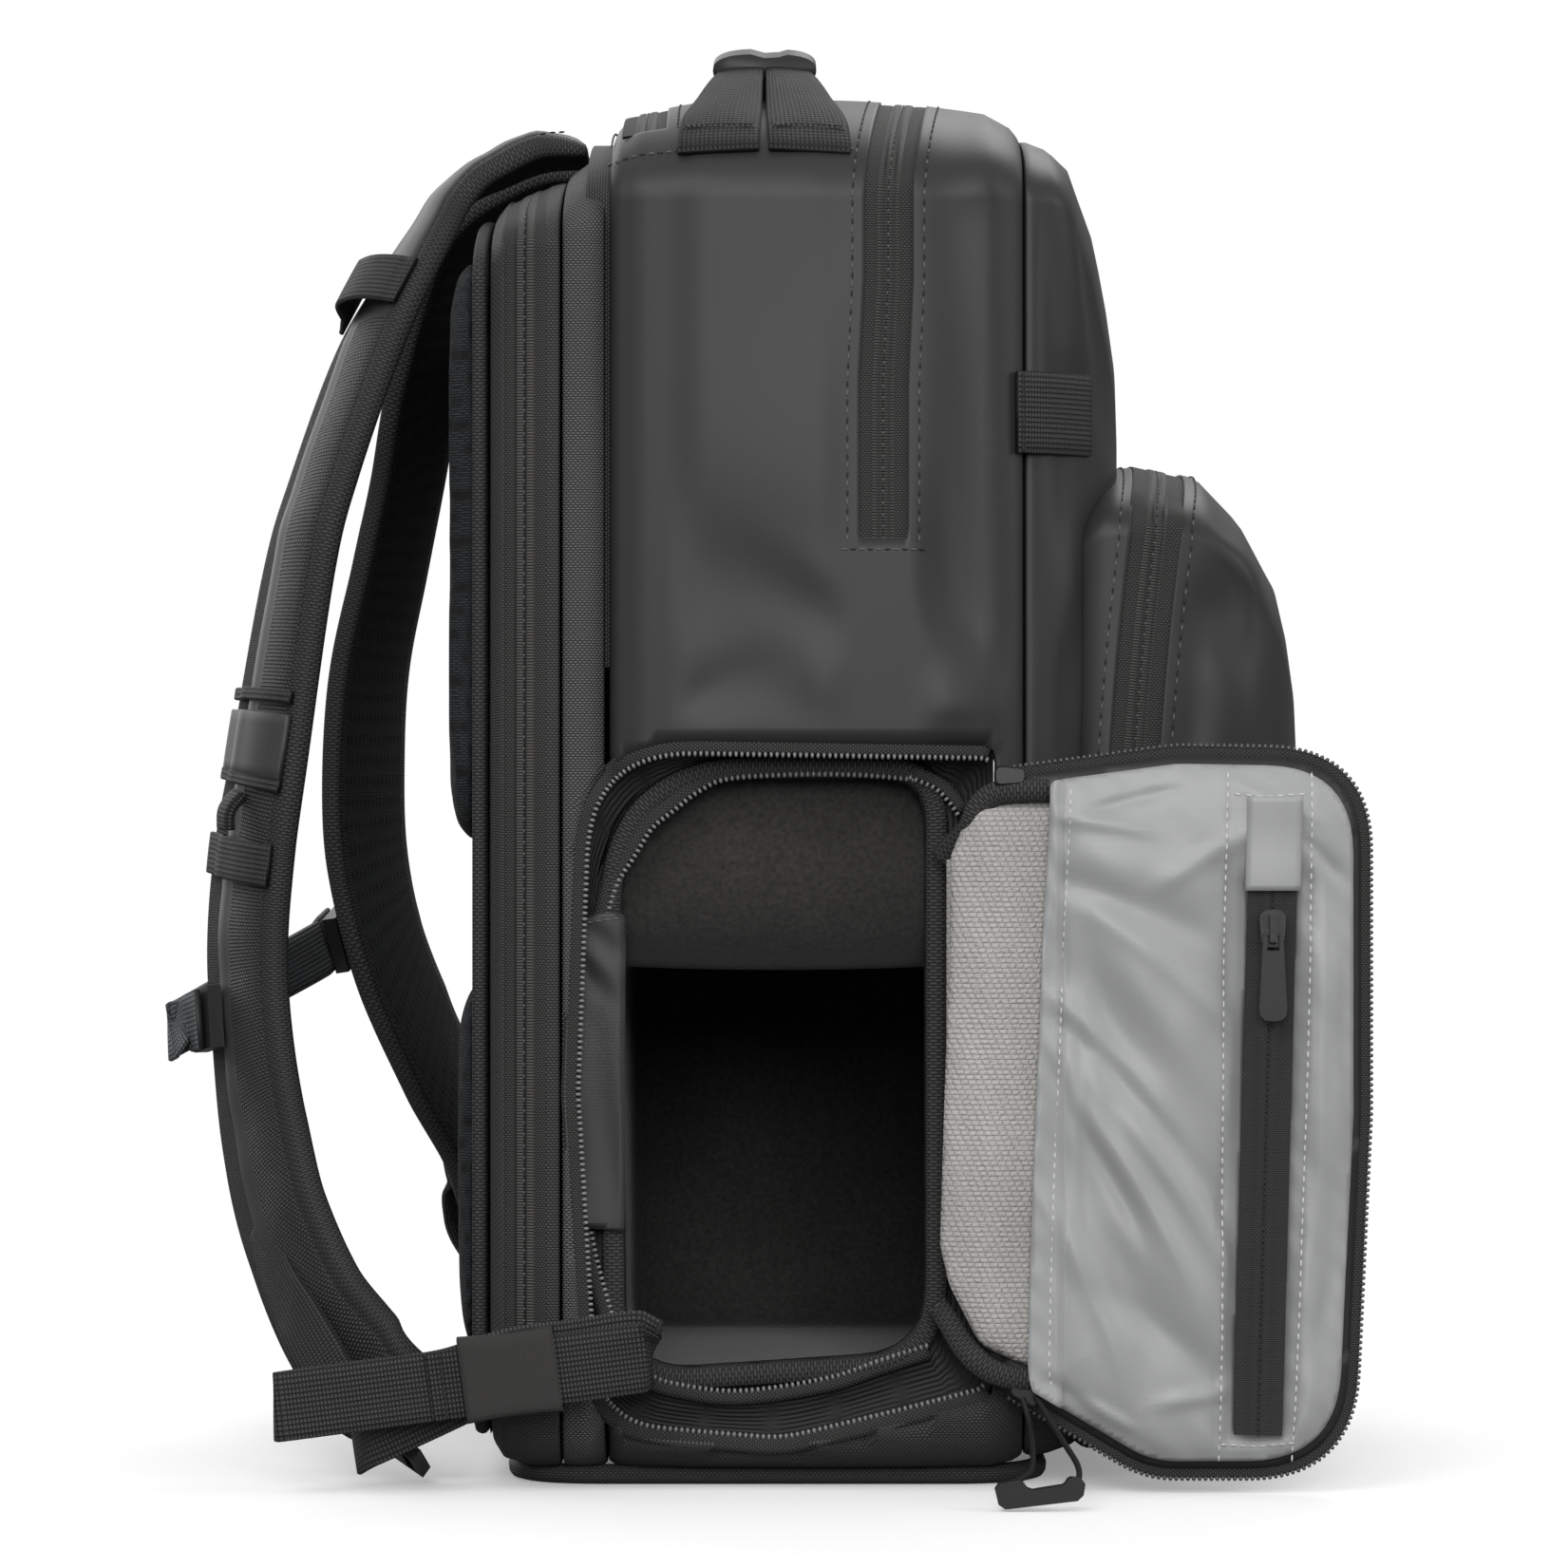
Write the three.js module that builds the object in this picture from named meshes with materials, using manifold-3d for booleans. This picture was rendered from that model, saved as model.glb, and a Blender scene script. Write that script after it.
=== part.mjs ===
// A camera backpack of about 25 litres, standing on its base with its side camera door folded open.
// Millimetres. +Z is up, +X points to the bag's outer front, away from the wearer,
// and -Y is the "near" side, which has the camera door. The origin is the middle of the base's flat face.
import * as THREE from 'three';
import { mergeVertices } from 'three/addons/utils/BufferGeometryUtils.js';
import Module from 'manifold-3d';

const wasm = await Module();
wasm.setup();

// Driving sizes of the whole bag
const BAG_HALF_WIDTH = 140;
const BAG_HEIGHT = 426;
const SHOULDER_DROP = 42;
const SHOULDER_HEIGHT = BAG_HEIGHT - SHOULDER_DROP;
const BASE_THICKNESS = 5;
const CLEARANCE = 0.3;

// Depths of the compartments, counted along X from the seam between gusset and main compartment
const SEAM_X = -53;
const MAIN_DEPTH = 125;
const GUSSET_DEPTH = 13;
const LAPTOP_DEPTH = 22;
const FRONT_DEPTH = 32;
const POCKET_DEPTH = 72;
const POCKET_LAP = 16;

// Walls and cloths
const COATED_WALL = 2.5;
const GUSSET_WALL = 2.5;
const LAPTOP_WALL = 3;
const PANEL_THICKNESS = 3;
const WEBBING_THICKNESS = 1.8;
const SATIN_THICKNESS = 1.2;

// Zips
const ZIP_SLOT_WIDTH = 16;
const ZIP_TAPE_THICKNESS = 1.2;
const ZIP_RECESS = 0.9;
const ZIP_GAP = 0.7;
const COIL_WIDTH = 3.6;
const COIL_HEIGHT = 0.8;
const PIPING_RADIUS = 2.2;

// Resolution of the faceted rings
const CORNER_STEPS = 3;
const SIDE_STEPS = 3;
const TOP_STEPS = 12;

const floorZ = BASE_THICKNESS + CLEARANCE;
const mainFrontX = SEAM_X + MAIN_DEPTH;
const frontFaceX = mainFrontX + CLEARANCE + FRONT_DEPTH;
const pocketBackX = frontFaceX - POCKET_LAP;
const gussetBackX = SEAM_X - CLEARANCE - GUSSET_DEPTH;
const laptopBackX = gussetBackX - CLEARANCE - LAPTOP_DEPTH;
const panelBackX = laptopBackX - CLEARANCE - PANEL_THICKNESS;

const FABRICS = {
  coated: { color: 0x454544, roughness: 0.55 },
  woven: { color: 0x3a3a39, roughness: 0.85 },
  mesh: { color: 0x1d1f20, roughness: 0.95 },
  webbing: { color: 0x303031, roughness: 0.8 },
  zip: { color: 0x33332e, roughness: 0.8 },
  binding: { color: 0x22231f, roughness: 0.85 },
  fleece: { color: 0x2f2c2a, roughness: 1.0 },
  pale_fleece: { color: 0xaaa5a1, roughness: 1.0 },
  satin: { color: 0xa3a7a8, roughness: 0.4 },
  dark_satin: { color: 0x3b3c3d, roughness: 0.45 },
  plastic: { color: 0x1c1c1c, roughness: 0.45 },
  metal: { color: 0x2b2b2b, roughness: 0.35, metalness: 0.6 },
};

const backpack = new THREE.Group();

function add(name, fabric, shape) {
  const geometry = shape.isBufferGeometry ? shape : geometryOf(shape);
  const material = new THREE.MeshStandardMaterial({ metalness: 0, ...FABRICS[fabric] });
  const mesh = new THREE.Mesh(geometry, material);
  mesh.name = name;
  backpack.add(mesh);
  return mesh;
}

// Solids and meshes

function solidOf(geometry) {
  const bare = geometry.clone();
  const split = Boolean(bare.attributes.normal);
  bare.deleteAttribute('normal');
  bare.deleteAttribute('uv');
  const merged = split ? mergeVertices(bare, 1e-4) : bare;
  return new wasm.Manifold(new wasm.Mesh({
    numProp: 3,
    vertProperties: new Float32Array(merged.attributes.position.array),
    triVerts: new Uint32Array(merged.index.array),
  }));
}

function geometryOf(solid) {
  const mesh = solid.getMesh();
  const geometry = new THREE.BufferGeometry();
  geometry.setAttribute('position', new THREE.BufferAttribute(new Float32Array(mesh.vertProperties), 3));
  geometry.setIndex(Array.from(mesh.triVerts));
  return geometry;
}

function newellNormal(ring) {
  const normal = new THREE.Vector3();
  ring.forEach((a, i) => {
    const b = ring[(i + 1) % ring.length];
    normal.x += (a.y - b.y) * (a.z + b.z);
    normal.y += (a.z - b.z) * (a.x + b.x);
    normal.z += (a.x - b.x) * (a.y + b.y);
  });
  return normal.normalize();
}

function middleOf(ring) {
  const middle = new THREE.Vector3();
  ring.forEach((p) => middle.add(p));
  return middle.multiplyScalar(1 / ring.length);
}

// Triangles that close a ring, facing along the given direction
function capTriangles(ring, facing) {
  const normal = newellNormal(ring);
  const across = new THREE.Vector3().subVectors(ring[1], ring[0]).normalize();
  const up = new THREE.Vector3().crossVectors(normal, across);
  const flat = ring.map((p) => new THREE.Vector2(p.dot(across), p.dot(up)));
  const triangles = THREE.ShapeUtils.triangulateShape(flat, []);
  const [a, b, c] = triangles[0].map((i) => ring[i]);
  const side = new THREE.Vector3().subVectors(b, a).cross(new THREE.Vector3().subVectors(c, a));
  return side.dot(facing) > 0 ? triangles : triangles.map(([i, j, k]) => [i, k, j]);
}

// One closed body through rings of equally many points, with flat ends unless the rings form a loop
function loft(rings, loop = false) {
  const count = rings[0].length;
  const forward = new THREE.Vector3().subVectors(middleOf(rings[1]), middleOf(rings[0]));
  const turned = newellNormal(rings[0]).dot(forward) < 0;
  const ordered = turned ? rings.map((ring) => [...ring].reverse()) : rings;
  const positions = ordered.flat().flatMap((p) => [p.x, p.y, p.z]);
  const index = [];
  const spans = loop ? rings.length : rings.length - 1;
  for (let i = 0; i < spans; i += 1) {
    const from = i * count;
    const to = ((i + 1) % rings.length) * count;
    for (let j = 0; j < count; j += 1) {
      const next = (j + 1) % count;
      index.push(from + j, from + next, to + next, from + j, to + next, to + j);
    }
  }
  if (!loop) {
    const last = rings.length - 1;
    const onward = new THREE.Vector3().subVectors(middleOf(ordered[last]), middleOf(ordered[last - 1]));
    capTriangles(ordered[0], forward.clone().negate()).forEach((t) => index.push(...t));
    capTriangles(ordered[last], onward).forEach((t) => index.push(...t.map((i) => i + last * count)));
  }
  const geometry = new THREE.BufferGeometry();
  geometry.setAttribute('position', new THREE.Float32BufferAttribute(positions, 3));
  geometry.setIndex(index);
  return geometry;
}

// A profile of [across, outward] points carried along frames {point, across, outward}
function sweep(frames, profile, loop = false) {
  const rings = frames.map((frame, i) => {
    const points = typeof profile === 'function' ? profile(i / (frames.length - 1)) : profile;
    return points.map(([u, n]) => frame.point.clone()
      .addScaledVector(frame.across, u)
      .addScaledVector(frame.outward, n));
  });
  return loft(rings, loop);
}

// Frames along a line of points, each with the outward direction that is given for it
function framesAlong(points, outwards, loop = false) {
  const count = points.length;
  return points.map((point, i) => {
    const before = points[loop ? (i + count - 1) % count : Math.max(i - 1, 0)];
    const after = points[loop ? (i + 1) % count : Math.min(i + 1, count - 1)];
    const tangent = new THREE.Vector3().subVectors(after, before).normalize();
    const outward = outwards[i].clone().addScaledVector(tangent, -outwards[i].dot(tangent)).normalize();
    return { point, outward, across: new THREE.Vector3().crossVectors(tangent, outward) };
  });
}

function stripProfile(width, low, high) {
  return [[-width / 2, low], [width / 2, low], [width / 2, high], [-width / 2, high]];
}

// A flat strip with round edges, such as a padded strap
function padProfile(width, low, high, edge) {
  const half = width / 2;
  return [
    [-half + edge, low], [half - edge, low], [half, low + edge], [half, high - edge],
    [half - edge, high], [-half + edge, high], [-half, high - edge], [-half, low + edge],
  ];
}

// A many-sided section for cords and piping
function roundProfile(radius, sides) {
  return Array.from({ length: sides }, (_, i) => {
    const angle = (2 * Math.PI * i) / sides;
    return [radius * Math.cos(angle), radius * Math.sin(angle)];
  });
}

// Tape and raised coil of a zip that lies in a slot of its wall
function zipProfile(slotWidth = ZIP_SLOT_WIDTH, recess = ZIP_RECESS) {
  const half = slotWidth / 2 - ZIP_GAP;
  const coil = COIL_WIDTH / 2;
  const top = -recess;
  const low = top - ZIP_TAPE_THICKNESS;
  return [
    [-half, low], [half, low], [half, top],
    [coil, top + COIL_HEIGHT], [-coil, top + COIL_HEIGHT], [-half, top],
  ];
}

function slotProfile(width = ZIP_SLOT_WIDTH, depth = 7) {
  return stripProfile(width, -depth, depth);
}

// A polygon of corners {x, z, r} with rounded corners, as points in the XZ plane.
// The outline keeps its corners, so that it can be drawn again further in.
function roundedOutline(corners, steps = 4) {
  const outline = corners.flatMap((corner, i) => {
    const before = corners[(i + corners.length - 1) % corners.length];
    const after = corners[(i + 1) % corners.length];
    const at = new THREE.Vector2(corner.x, corner.z);
    const a = new THREE.Vector2(before.x, before.z).sub(at);
    const b = new THREE.Vector2(after.x, after.z).sub(at);
    const half = Math.acos(THREE.MathUtils.clamp(a.dot(b) / a.length() / b.length(), -1, 1)) / 2;
    const reach = Math.min(corner.r / Math.tan(half), a.length() * 0.49, b.length() * 0.49);
    const start = at.clone().add(a.setLength(reach));
    const end = at.clone().add(b.setLength(reach));
    return new THREE.QuadraticBezierCurve(start, at, end).getPoints(steps);
  });
  return Object.assign(outline, { corners, steps });
}

// The same outline moved inwards by a distance, with its corner radii shortened as much
function insetOutline(outline, distance) {
  const { corners, steps } = outline;
  const turn = THREE.ShapeUtils.area(outline) > 0 ? 1 : -1;
  const moved = corners.map((corner, i) => {
    const before = corners[(i + corners.length - 1) % corners.length];
    const after = corners[(i + 1) % corners.length];
    const a = new THREE.Vector2(corner.x - before.x, corner.z - before.z).normalize();
    const b = new THREE.Vector2(after.x - corner.x, after.z - corner.z).normalize();
    const shift = (distance * turn) / (1 + a.dot(b));
    return {
      x: corner.x - (a.y + b.y) * shift,
      z: corner.z + (a.x + b.x) * shift,
      r: Math.max(0.3, corner.r - distance),
    };
  });
  return roundedOutline(moved, steps);
}

// A body between outlines that lie at given Y
function stackOutlines(layers) {
  return loft(layers.map(({ outline, y }) => outline.map((p) => new THREE.Vector3(p.x, y, p.y))));
}

function prism(outline, fromY, toY) {
  return stackOutlines([{ outline, y: fromY }, { outline, y: toY }]);
}

function box(fromX, toX, fromY, toY, fromZ, toZ) {
  const shape = new THREE.BoxGeometry(toX - fromX, toY - fromY, toZ - fromZ);
  return shape.translate((fromX + toX) / 2, (fromY + toY) / 2, (fromZ + toZ) / 2);
}

// Compartments: rounded rings in YZ planes, lofted along X.
// Each row says, as shares, where it lies along the compartment's depth, how wide it is against the
// bag's half width, how high against the bag's height, and how far its floor is raised.
const MAIN_SECTIONS = [
  { along: 0, width: 0.95, top: 0.97, floor: 0 },
  { along: 0.03, width: 0.968, top: 0.98, floor: 0 },
  { along: 0.08, width: 0.985, top: 0.99, floor: 0 },
  { along: 0.22, width: 1, top: 0.998, floor: 0 },
  { along: 0.5, width: 1.01, top: 1, floor: 0 },
  { along: 0.75, width: 1, top: 0.996, floor: 0 },
  { along: 0.92, width: 0.98, top: 0.988, floor: 0 },
  { along: 1, width: 0.94, top: 0.975, floor: 0.004 },
];
const GUSSET_SECTIONS = [
  { along: 0, width: 0.972, top: 0.94, floor: 0 },
  { along: 0.6, width: 0.978, top: 0.955, floor: 0 },
  { along: 1, width: 0.95, top: 0.965, floor: 0 },
];
const LAPTOP_SECTIONS = [
  { along: 0, width: 0.92, top: 0.91, floor: 0.02 },
  { along: 0.2, width: 0.955, top: 0.922, floor: 0.005 },
  { along: 0.6, width: 0.972, top: 0.932, floor: 0 },
  { along: 1, width: 0.972, top: 0.938, floor: 0 },
];
const FRONT_SECTIONS = [
  { along: 0, width: 0.925, top: 0.97, floor: 0.004 },
  { along: 0.22, width: 0.9, top: 0.962, floor: 0.006 },
  { along: 0.45, width: 0.845, top: 0.95, floor: 0.01 },
  { along: 0.7, width: 0.77, top: 0.9, floor: 0.02 },
  { along: 0.88, width: 0.69, top: 0.838, floor: 0.03 },
  { along: 1, width: 0.52, top: 0.76, floor: 0.045 },
];
const POCKET_SECTIONS = [
  { along: 0, width: 0.846, top: 0.716, floor: 0.008 },
  { along: 0.12, width: 0.858, top: 0.727, floor: 0.008 },
  { along: 0.34, width: 0.857, top: 0.73, floor: 0.012 },
  { along: 0.55, width: 0.843, top: 0.722, floor: 0.02 },
  { along: 0.72, width: 0.807, top: 0.692, floor: 0.032 },
  { along: 0.88, width: 0.743, top: 0.646, floor: 0.06 },
  { along: 1, width: 0.58, top: 0.54, floor: 0.11 },
];
const CORNER_RADIUS = 20;
const TOP_POWER = 2.2;
const SIDE_BULGE = 0.018;

function compartment({ backX, depth, sections, shoulder }) {
  const at = (x) => {
    const share = THREE.MathUtils.clamp((x - backX) / depth, 0, 1);
    const k = Math.max(1, sections.findIndex((row) => row.along >= share));
    const [a, b] = [sections[k - 1], sections[k]];
    const mix = (share - a.along) / (b.along - a.along);
    const between = (key) => a[key] + (b[key] - a[key]) * mix;
    return {
      half: between('width') * BAG_HALF_WIDTH,
      top: between('top') * BAG_HEIGHT,
      floor: floorZ + between('floor') * BAG_HEIGHT,
    };
  };
  // Where the side wall starts to round over: lower than the crown by a fixed drop
  const shoulderAt = (x) => Math.min(shoulder, at(x).top - SHOULDER_DROP * 0.6);
  const sideY = (x, z, inset = 0) => {
    const { half, floor } = at(x);
    const share = THREE.MathUtils.clamp((z - floor) / (shoulderAt(x) - floor), 0, 1);
    const bulged = half * (1 + SIDE_BULGE * Math.sin(Math.PI * share)) - inset;
    const drop = Math.max(0, CORNER_RADIUS - (z - floor));
    return bulged - (CORNER_RADIUS - Math.sqrt(Math.max(0, CORNER_RADIUS ** 2 - drop ** 2)));
  };
  // Near side from the floor to the shoulder
  const nearSide = (x, inset) => {
    const low = at(x).floor + CORNER_RADIUS;
    return Array.from({ length: SIDE_STEPS }, (_, i) => {
      const z = low + (shoulderAt(x) - low) * (i / SIDE_STEPS);
      return new THREE.Vector3(x, -sideY(x, z, inset), z);
    });
  };
  // Over the top, from the near shoulder to the far one
  const topArch = (x, inset) => Array.from({ length: TOP_STEPS + 1 }, (_, i) => {
    const angle = Math.PI * (1 - i / TOP_STEPS);
    const { half, top } = at(x);
    const [c, s] = [Math.cos(angle), Math.max(0, Math.sin(angle))];
    const y = (half - inset) * Math.sign(c) * Math.abs(c) ** (2 / TOP_POWER);
    const rise = (top - inset - shoulderAt(x)) * s ** (2 / TOP_POWER);
    return new THREE.Vector3(x, Math.abs(c) < 1e-9 ? 0 : y, shoulderAt(x) + rise);
  });
  const corner = (x, inset) => {
    const { half, floor } = at(x);
    const radius = CORNER_RADIUS - inset;
    return Array.from({ length: CORNER_STEPS }, (_, i) => {
      const angle = (Math.PI / 2) * (i / CORNER_STEPS);
      return new THREE.Vector3(
        x,
        -(half - inset - radius + radius * Math.sin(angle)),
        floor + inset + radius - radius * Math.cos(angle),
      );
    });
  };
  const mirrored = (points) => [...points].reverse().map((p) => new THREE.Vector3(p.x, -p.y, p.z));
  const ring = (x, inset = 0) => {
    const near = [...corner(x, inset), ...nearSide(x, inset)];
    return [...near, ...topArch(x, inset), ...mirrored(near)];
  };
  const topZ = (x, y) => {
    const { half, top } = at(x);
    const rise = (1 - Math.min(1, Math.abs(y) / half) ** TOP_POWER) ** (1 / TOP_POWER);
    return shoulderAt(x) + (top - shoulderAt(x)) * rise;
  };
  const stations = sections.map((row) => backX + depth * row.along);
  const solid = (inset = 0, backCut = 0, frontCut = 0) => {
    const first = backX + backCut;
    const last = backX + depth - frontCut;
    const kept = inset ? stations.filter((_, i) => i % 2 === 0) : stations;
    const inner = kept.filter((x) => x > first + 0.5 && x < last - 0.5);
    return solidOf(loft([first, ...inner, last].map((x) => ring(x, inset))));
  };
  // A line over the near side, the top and the far side, where xAt gives X for a height on the side
  const overTop = (xAt, xTop, fromZ) => {
    const rise = shoulderAt(xAt(fromZ)) - fromZ;
    const near = Array.from({ length: SIDE_STEPS + 2 }, (_, i) => {
      const z = fromZ + rise * (i / (SIDE_STEPS + 2));
      return new THREE.Vector3(xAt(z), -sideY(xAt(z), z), z);
    });
    const shoulderX = xAt(SHOULDER_HEIGHT);
    const over = Array.from({ length: TOP_STEPS + 1 }, (_, i) => {
      const share = Math.sin(Math.PI * (i / TOP_STEPS)) ** 0.5;
      return topArch(shoulderX + (xTop - shoulderX) * share, 0)[i];
    });
    return [...near, ...over, ...mirrored(near)];
  };
  const outwardAt = (point) => {
    const step = 1.5;
    const onTop = point.z > shoulderAt(point.x);
    const { half, top } = at(point.x);
    const slope = (key) => (at(point.x + step)[key] - at(point.x - step)[key]) / (2 * step);
    if (!onTop) {
      return new THREE.Vector3(-slope('half'), Math.sign(point.y), 0).normalize();
    }
    const rise = Math.max(1, top - shoulderAt(point.x));
    const u = Math.min(1, Math.abs(point.y) / half) ** (TOP_POWER - 1);
    const v = Math.min(1, (point.z - shoulderAt(point.x)) / rise) ** (TOP_POWER - 1);
    const normal = new THREE.Vector3(0, (Math.sign(point.y) * u) / half, v / rise).normalize();
    normal.x = -slope('top') * normal.z - slope('half') * Math.abs(normal.y);
    return normal.normalize();
  };
  return { ring, solid, sideY, topZ, overTop, outwardAt };
}

const main = compartment({
  backX: SEAM_X, depth: MAIN_DEPTH, sections: MAIN_SECTIONS, shoulder: SHOULDER_HEIGHT,
});
const gusset = compartment({
  backX: gussetBackX, depth: GUSSET_DEPTH, sections: GUSSET_SECTIONS, shoulder: SHOULDER_HEIGHT - 10,
});
const laptop = compartment({
  backX: laptopBackX, depth: LAPTOP_DEPTH, sections: LAPTOP_SECTIONS, shoulder: SHOULDER_HEIGHT - 14,
});
const front = compartment({
  backX: mainFrontX + CLEARANCE, depth: FRONT_DEPTH, sections: FRONT_SECTIONS, shoulder: SHOULDER_HEIGHT,
});
const pocket = compartment({
  backX: pocketBackX, depth: POCKET_DEPTH, sections: POCKET_SECTIONS, shoulder: SHOULDER_HEIGHT,
});

function zipFrames(form, line) {
  return framesAlong(line, line.map((p) => form.outwardAt(p)));
}

// The side opening of the camera bay and the outline of its door
const OPENING = { left: SEAM_X - 12.2, right: mainFrontX - 8.4, top: 224, bottom: floorZ + 7.2 };
const openingOutline = roundedOutline([
  { x: OPENING.right, z: OPENING.top - 2, r: 5 },
  { x: OPENING.left + 4, z: OPENING.top, r: 36 },
  { x: OPENING.left, z: (OPENING.top + OPENING.bottom) / 2, r: 30 },
  { x: OPENING.left + 6, z: OPENING.bottom + 4, r: 27 },
  { x: (OPENING.left + OPENING.right) / 2, z: OPENING.bottom - 1, r: 40 },
  { x: OPENING.right, z: OPENING.bottom + 15, r: 8 },
]);
const openingCutter = solidOf(prism(openingOutline, -BAG_HALF_WIDTH * 1.3, -BAG_HALF_WIDTH * 0.82));

// Main compartment with its two zip slots
const MAIN_ZIP = { x: mainFrontX - 42.5, topX: mainFrontX - 34, endZ: 283.5, lean: 1.5, leanFrom: 30 };
const TOP_ZIP = { x: SEAM_X + 11, slot: 13, reach: 0.86 };
const mainZipX = (z) => MAIN_ZIP.x + (z > SHOULDER_HEIGHT - MAIN_ZIP.leanFrom ? MAIN_ZIP.lean : 0);
const mainZipLine = main.overTop(mainZipX, MAIN_ZIP.topX, MAIN_ZIP.endZ);
const mainZipFrames = zipFrames(main, mainZipLine);
const topZipLine = main.overTop(() => TOP_ZIP.x, TOP_ZIP.x, SHOULDER_HEIGHT)
  .filter((p) => p.z > SHOULDER_HEIGHT && Math.abs(p.y) < BAG_HALF_WIDTH * TOP_ZIP.reach);
const topZipFrames = zipFrames(main, topZipLine);

function extendEnds(frames, length) {
  const longer = frames.map((frame) => ({ ...frame, point: frame.point.clone() }));
  const last = longer.length - 1;
  const pull = (i, j) => {
    const way = new THREE.Vector3().subVectors(longer[i].point, longer[j].point).setLength(length);
    longer[i].point.add(way);
  };
  pull(0, 1);
  pull(last, last - 1);
  return longer;
}

// The largest body of a solid, without the slivers that a cut can leave
function mainBody(solid) {
  return solid.decompose().reduce((best, part) => (part.volume() > best.volume() ? part : best));
}

function cutSlot(solid, frames, width = ZIP_SLOT_WIDTH) {
  return solid.subtract(solidOf(sweep(extendEnds(frames, CLEARANCE), slotProfile(width))));
}

let mainShell = main.solid().subtract(main.solid(COATED_WALL, -1, COATED_WALL));
mainShell = mainShell.subtract(openingCutter);
mainShell = cutSlot(mainShell, mainZipFrames);
mainShell = cutSlot(mainShell, topZipFrames, TOP_ZIP.slot);
add('main_shell', 'coated', mainShell);
add('main_zip', 'zip', sweep(mainZipFrames, zipProfile()));
add('top_zip', 'zip', sweep(topZipFrames, zipProfile(TOP_ZIP.slot)));

// Woven gusset between the main compartment and the laptop sleeve
const gussetRing = gusset.solid().subtract(gusset.solid(GUSSET_WALL, -1, -1)).subtract(openingCutter);
add('rear_gusset', 'woven', gussetRing);

// Laptop sleeve with the zip that runs up one side, over the top and down the other
const LAPTOP_ZIP = { slot: 12, endZ: 26, share: 0.5 };
const laptopZipX = laptopBackX + LAPTOP_DEPTH * LAPTOP_ZIP.share;
const laptopZipFrames = zipFrames(laptop, laptop.overTop(() => laptopZipX, laptopZipX, LAPTOP_ZIP.endZ));
let laptopSleeve = laptop.solid().subtract(laptop.solid(LAPTOP_WALL, LAPTOP_WALL, LAPTOP_WALL));
laptopSleeve = cutSlot(laptopSleeve, laptopZipFrames, LAPTOP_ZIP.slot);
add('laptop_sleeve', 'woven', laptopSleeve);
add('laptop_zip', 'zip', sweep(laptopZipFrames, zipProfile(LAPTOP_ZIP.slot - 2 * CLEARANCE)));

// Back panel, its four mesh pads and the piping round its edge
const PANEL_INSET = 10;
const panelRing = (x, inset) => laptop.ring(laptopBackX, inset).map((p) => new THREE.Vector3(x, p.y, p.z));
add('back_panel', 'mesh', loft([
  panelRing(laptopBackX - CLEARANCE, PANEL_INSET - 1),
  panelRing(panelBackX + 1, PANEL_INSET - 1),
  panelRing(panelBackX, PANEL_INSET),
]));
const pipingX = laptopBackX - CLEARANCE - PIPING_RADIUS;
const PIPING_INSET = 0.6;
const pipingLine = panelRing(pipingX, PIPING_RADIUS + PIPING_INSET)
  .filter((_, i, all) => i % 2 === 0 || i === all.length - 1);
const PIPING_SIDES = 6;
const backwards = new THREE.Vector3(-1, 0, 0);
add('back_piping', 'binding', sweep(
  framesAlong(pipingLine, pipingLine.map(() => backwards), true),
  roundProfile(PIPING_RADIUS, PIPING_SIDES),
  true,
));

const PAD_INNER_Y = 16;
const PAD_OUTER_Y = BAG_HALF_WIDTH * 0.85;
const PAD_ROWS = [
  { name: 'upper', bottom: SHOULDER_HEIGHT / 2, top: SHOULDER_HEIGHT - 13, radius: 30, thickness: 9.3 },
  { name: 'lower', bottom: 38, top: 150, radius: 26, thickness: 6.6 },
];
const PAD_SWELL = [
  { rise: 0, inset: 0 },
  { rise: 0.45, inset: 0.5 },
  { rise: 0.8, inset: 3 },
  { rise: 1, inset: 8 },
];
for (const { name, bottom, top, radius, thickness } of PAD_ROWS) {
  for (const [side, sign] of [['near', -1], ['far', 1]]) {
    const outline = roundedOutline([
      { x: PAD_INNER_Y, z: bottom, r: radius }, { x: PAD_OUTER_Y, z: bottom, r: radius },
      { x: PAD_OUTER_Y, z: top, r: radius }, { x: PAD_INNER_Y, z: top, r: radius },
    ], 3);
    add(`back_pad_${name}_${side}`, 'mesh', loft(PAD_SWELL.map(({ rise, inset }) => {
      const x = panelBackX - CLEARANCE - thickness * rise;
      return insetOutline(outline, inset).map((p) => new THREE.Vector3(x, sign * p.x, p.y));
    })));
  }
}

// Front compartment and the lower front pocket, both open at the back against what carries them
const frontShell = front.solid().subtract(front.solid(COATED_WALL, -1, COATED_WALL));
add('front_compartment', 'coated', frontShell);

const POCKET_ZIP = { x: pocketBackX + 14.7, topX: pocketBackX + 28.7, slot: 15, endZ: 60 };
const pocketZipX = (z) => POCKET_ZIP.x + (POCKET_ZIP.topX - POCKET_ZIP.x - 3) * THREE.MathUtils.clamp(
  (z - 150) / (SHOULDER_HEIGHT * 0.78 - 150), 0, 1,
) ** 2;
const pocketZipFrames = zipFrames(pocket, pocket.overTop(pocketZipX, POCKET_ZIP.topX, POCKET_ZIP.endZ));
const frontClearance = solidOf(loft(FRONT_SECTIONS.map((row) => front.ring(
  mainFrontX + CLEARANCE + FRONT_DEPTH * row.along,
  -CLEARANCE,
).map((p) => new THREE.Vector3(p.x + (row.along === 1 ? CLEARANCE : 0), p.y, p.z)))));
let pocketShell = pocket.solid().subtract(pocket.solid(COATED_WALL, -1, COATED_WALL));
pocketShell = pocketShell.subtract(frontClearance);
pocketShell = cutSlot(pocketShell, pocketZipFrames, POCKET_ZIP.slot);
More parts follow.
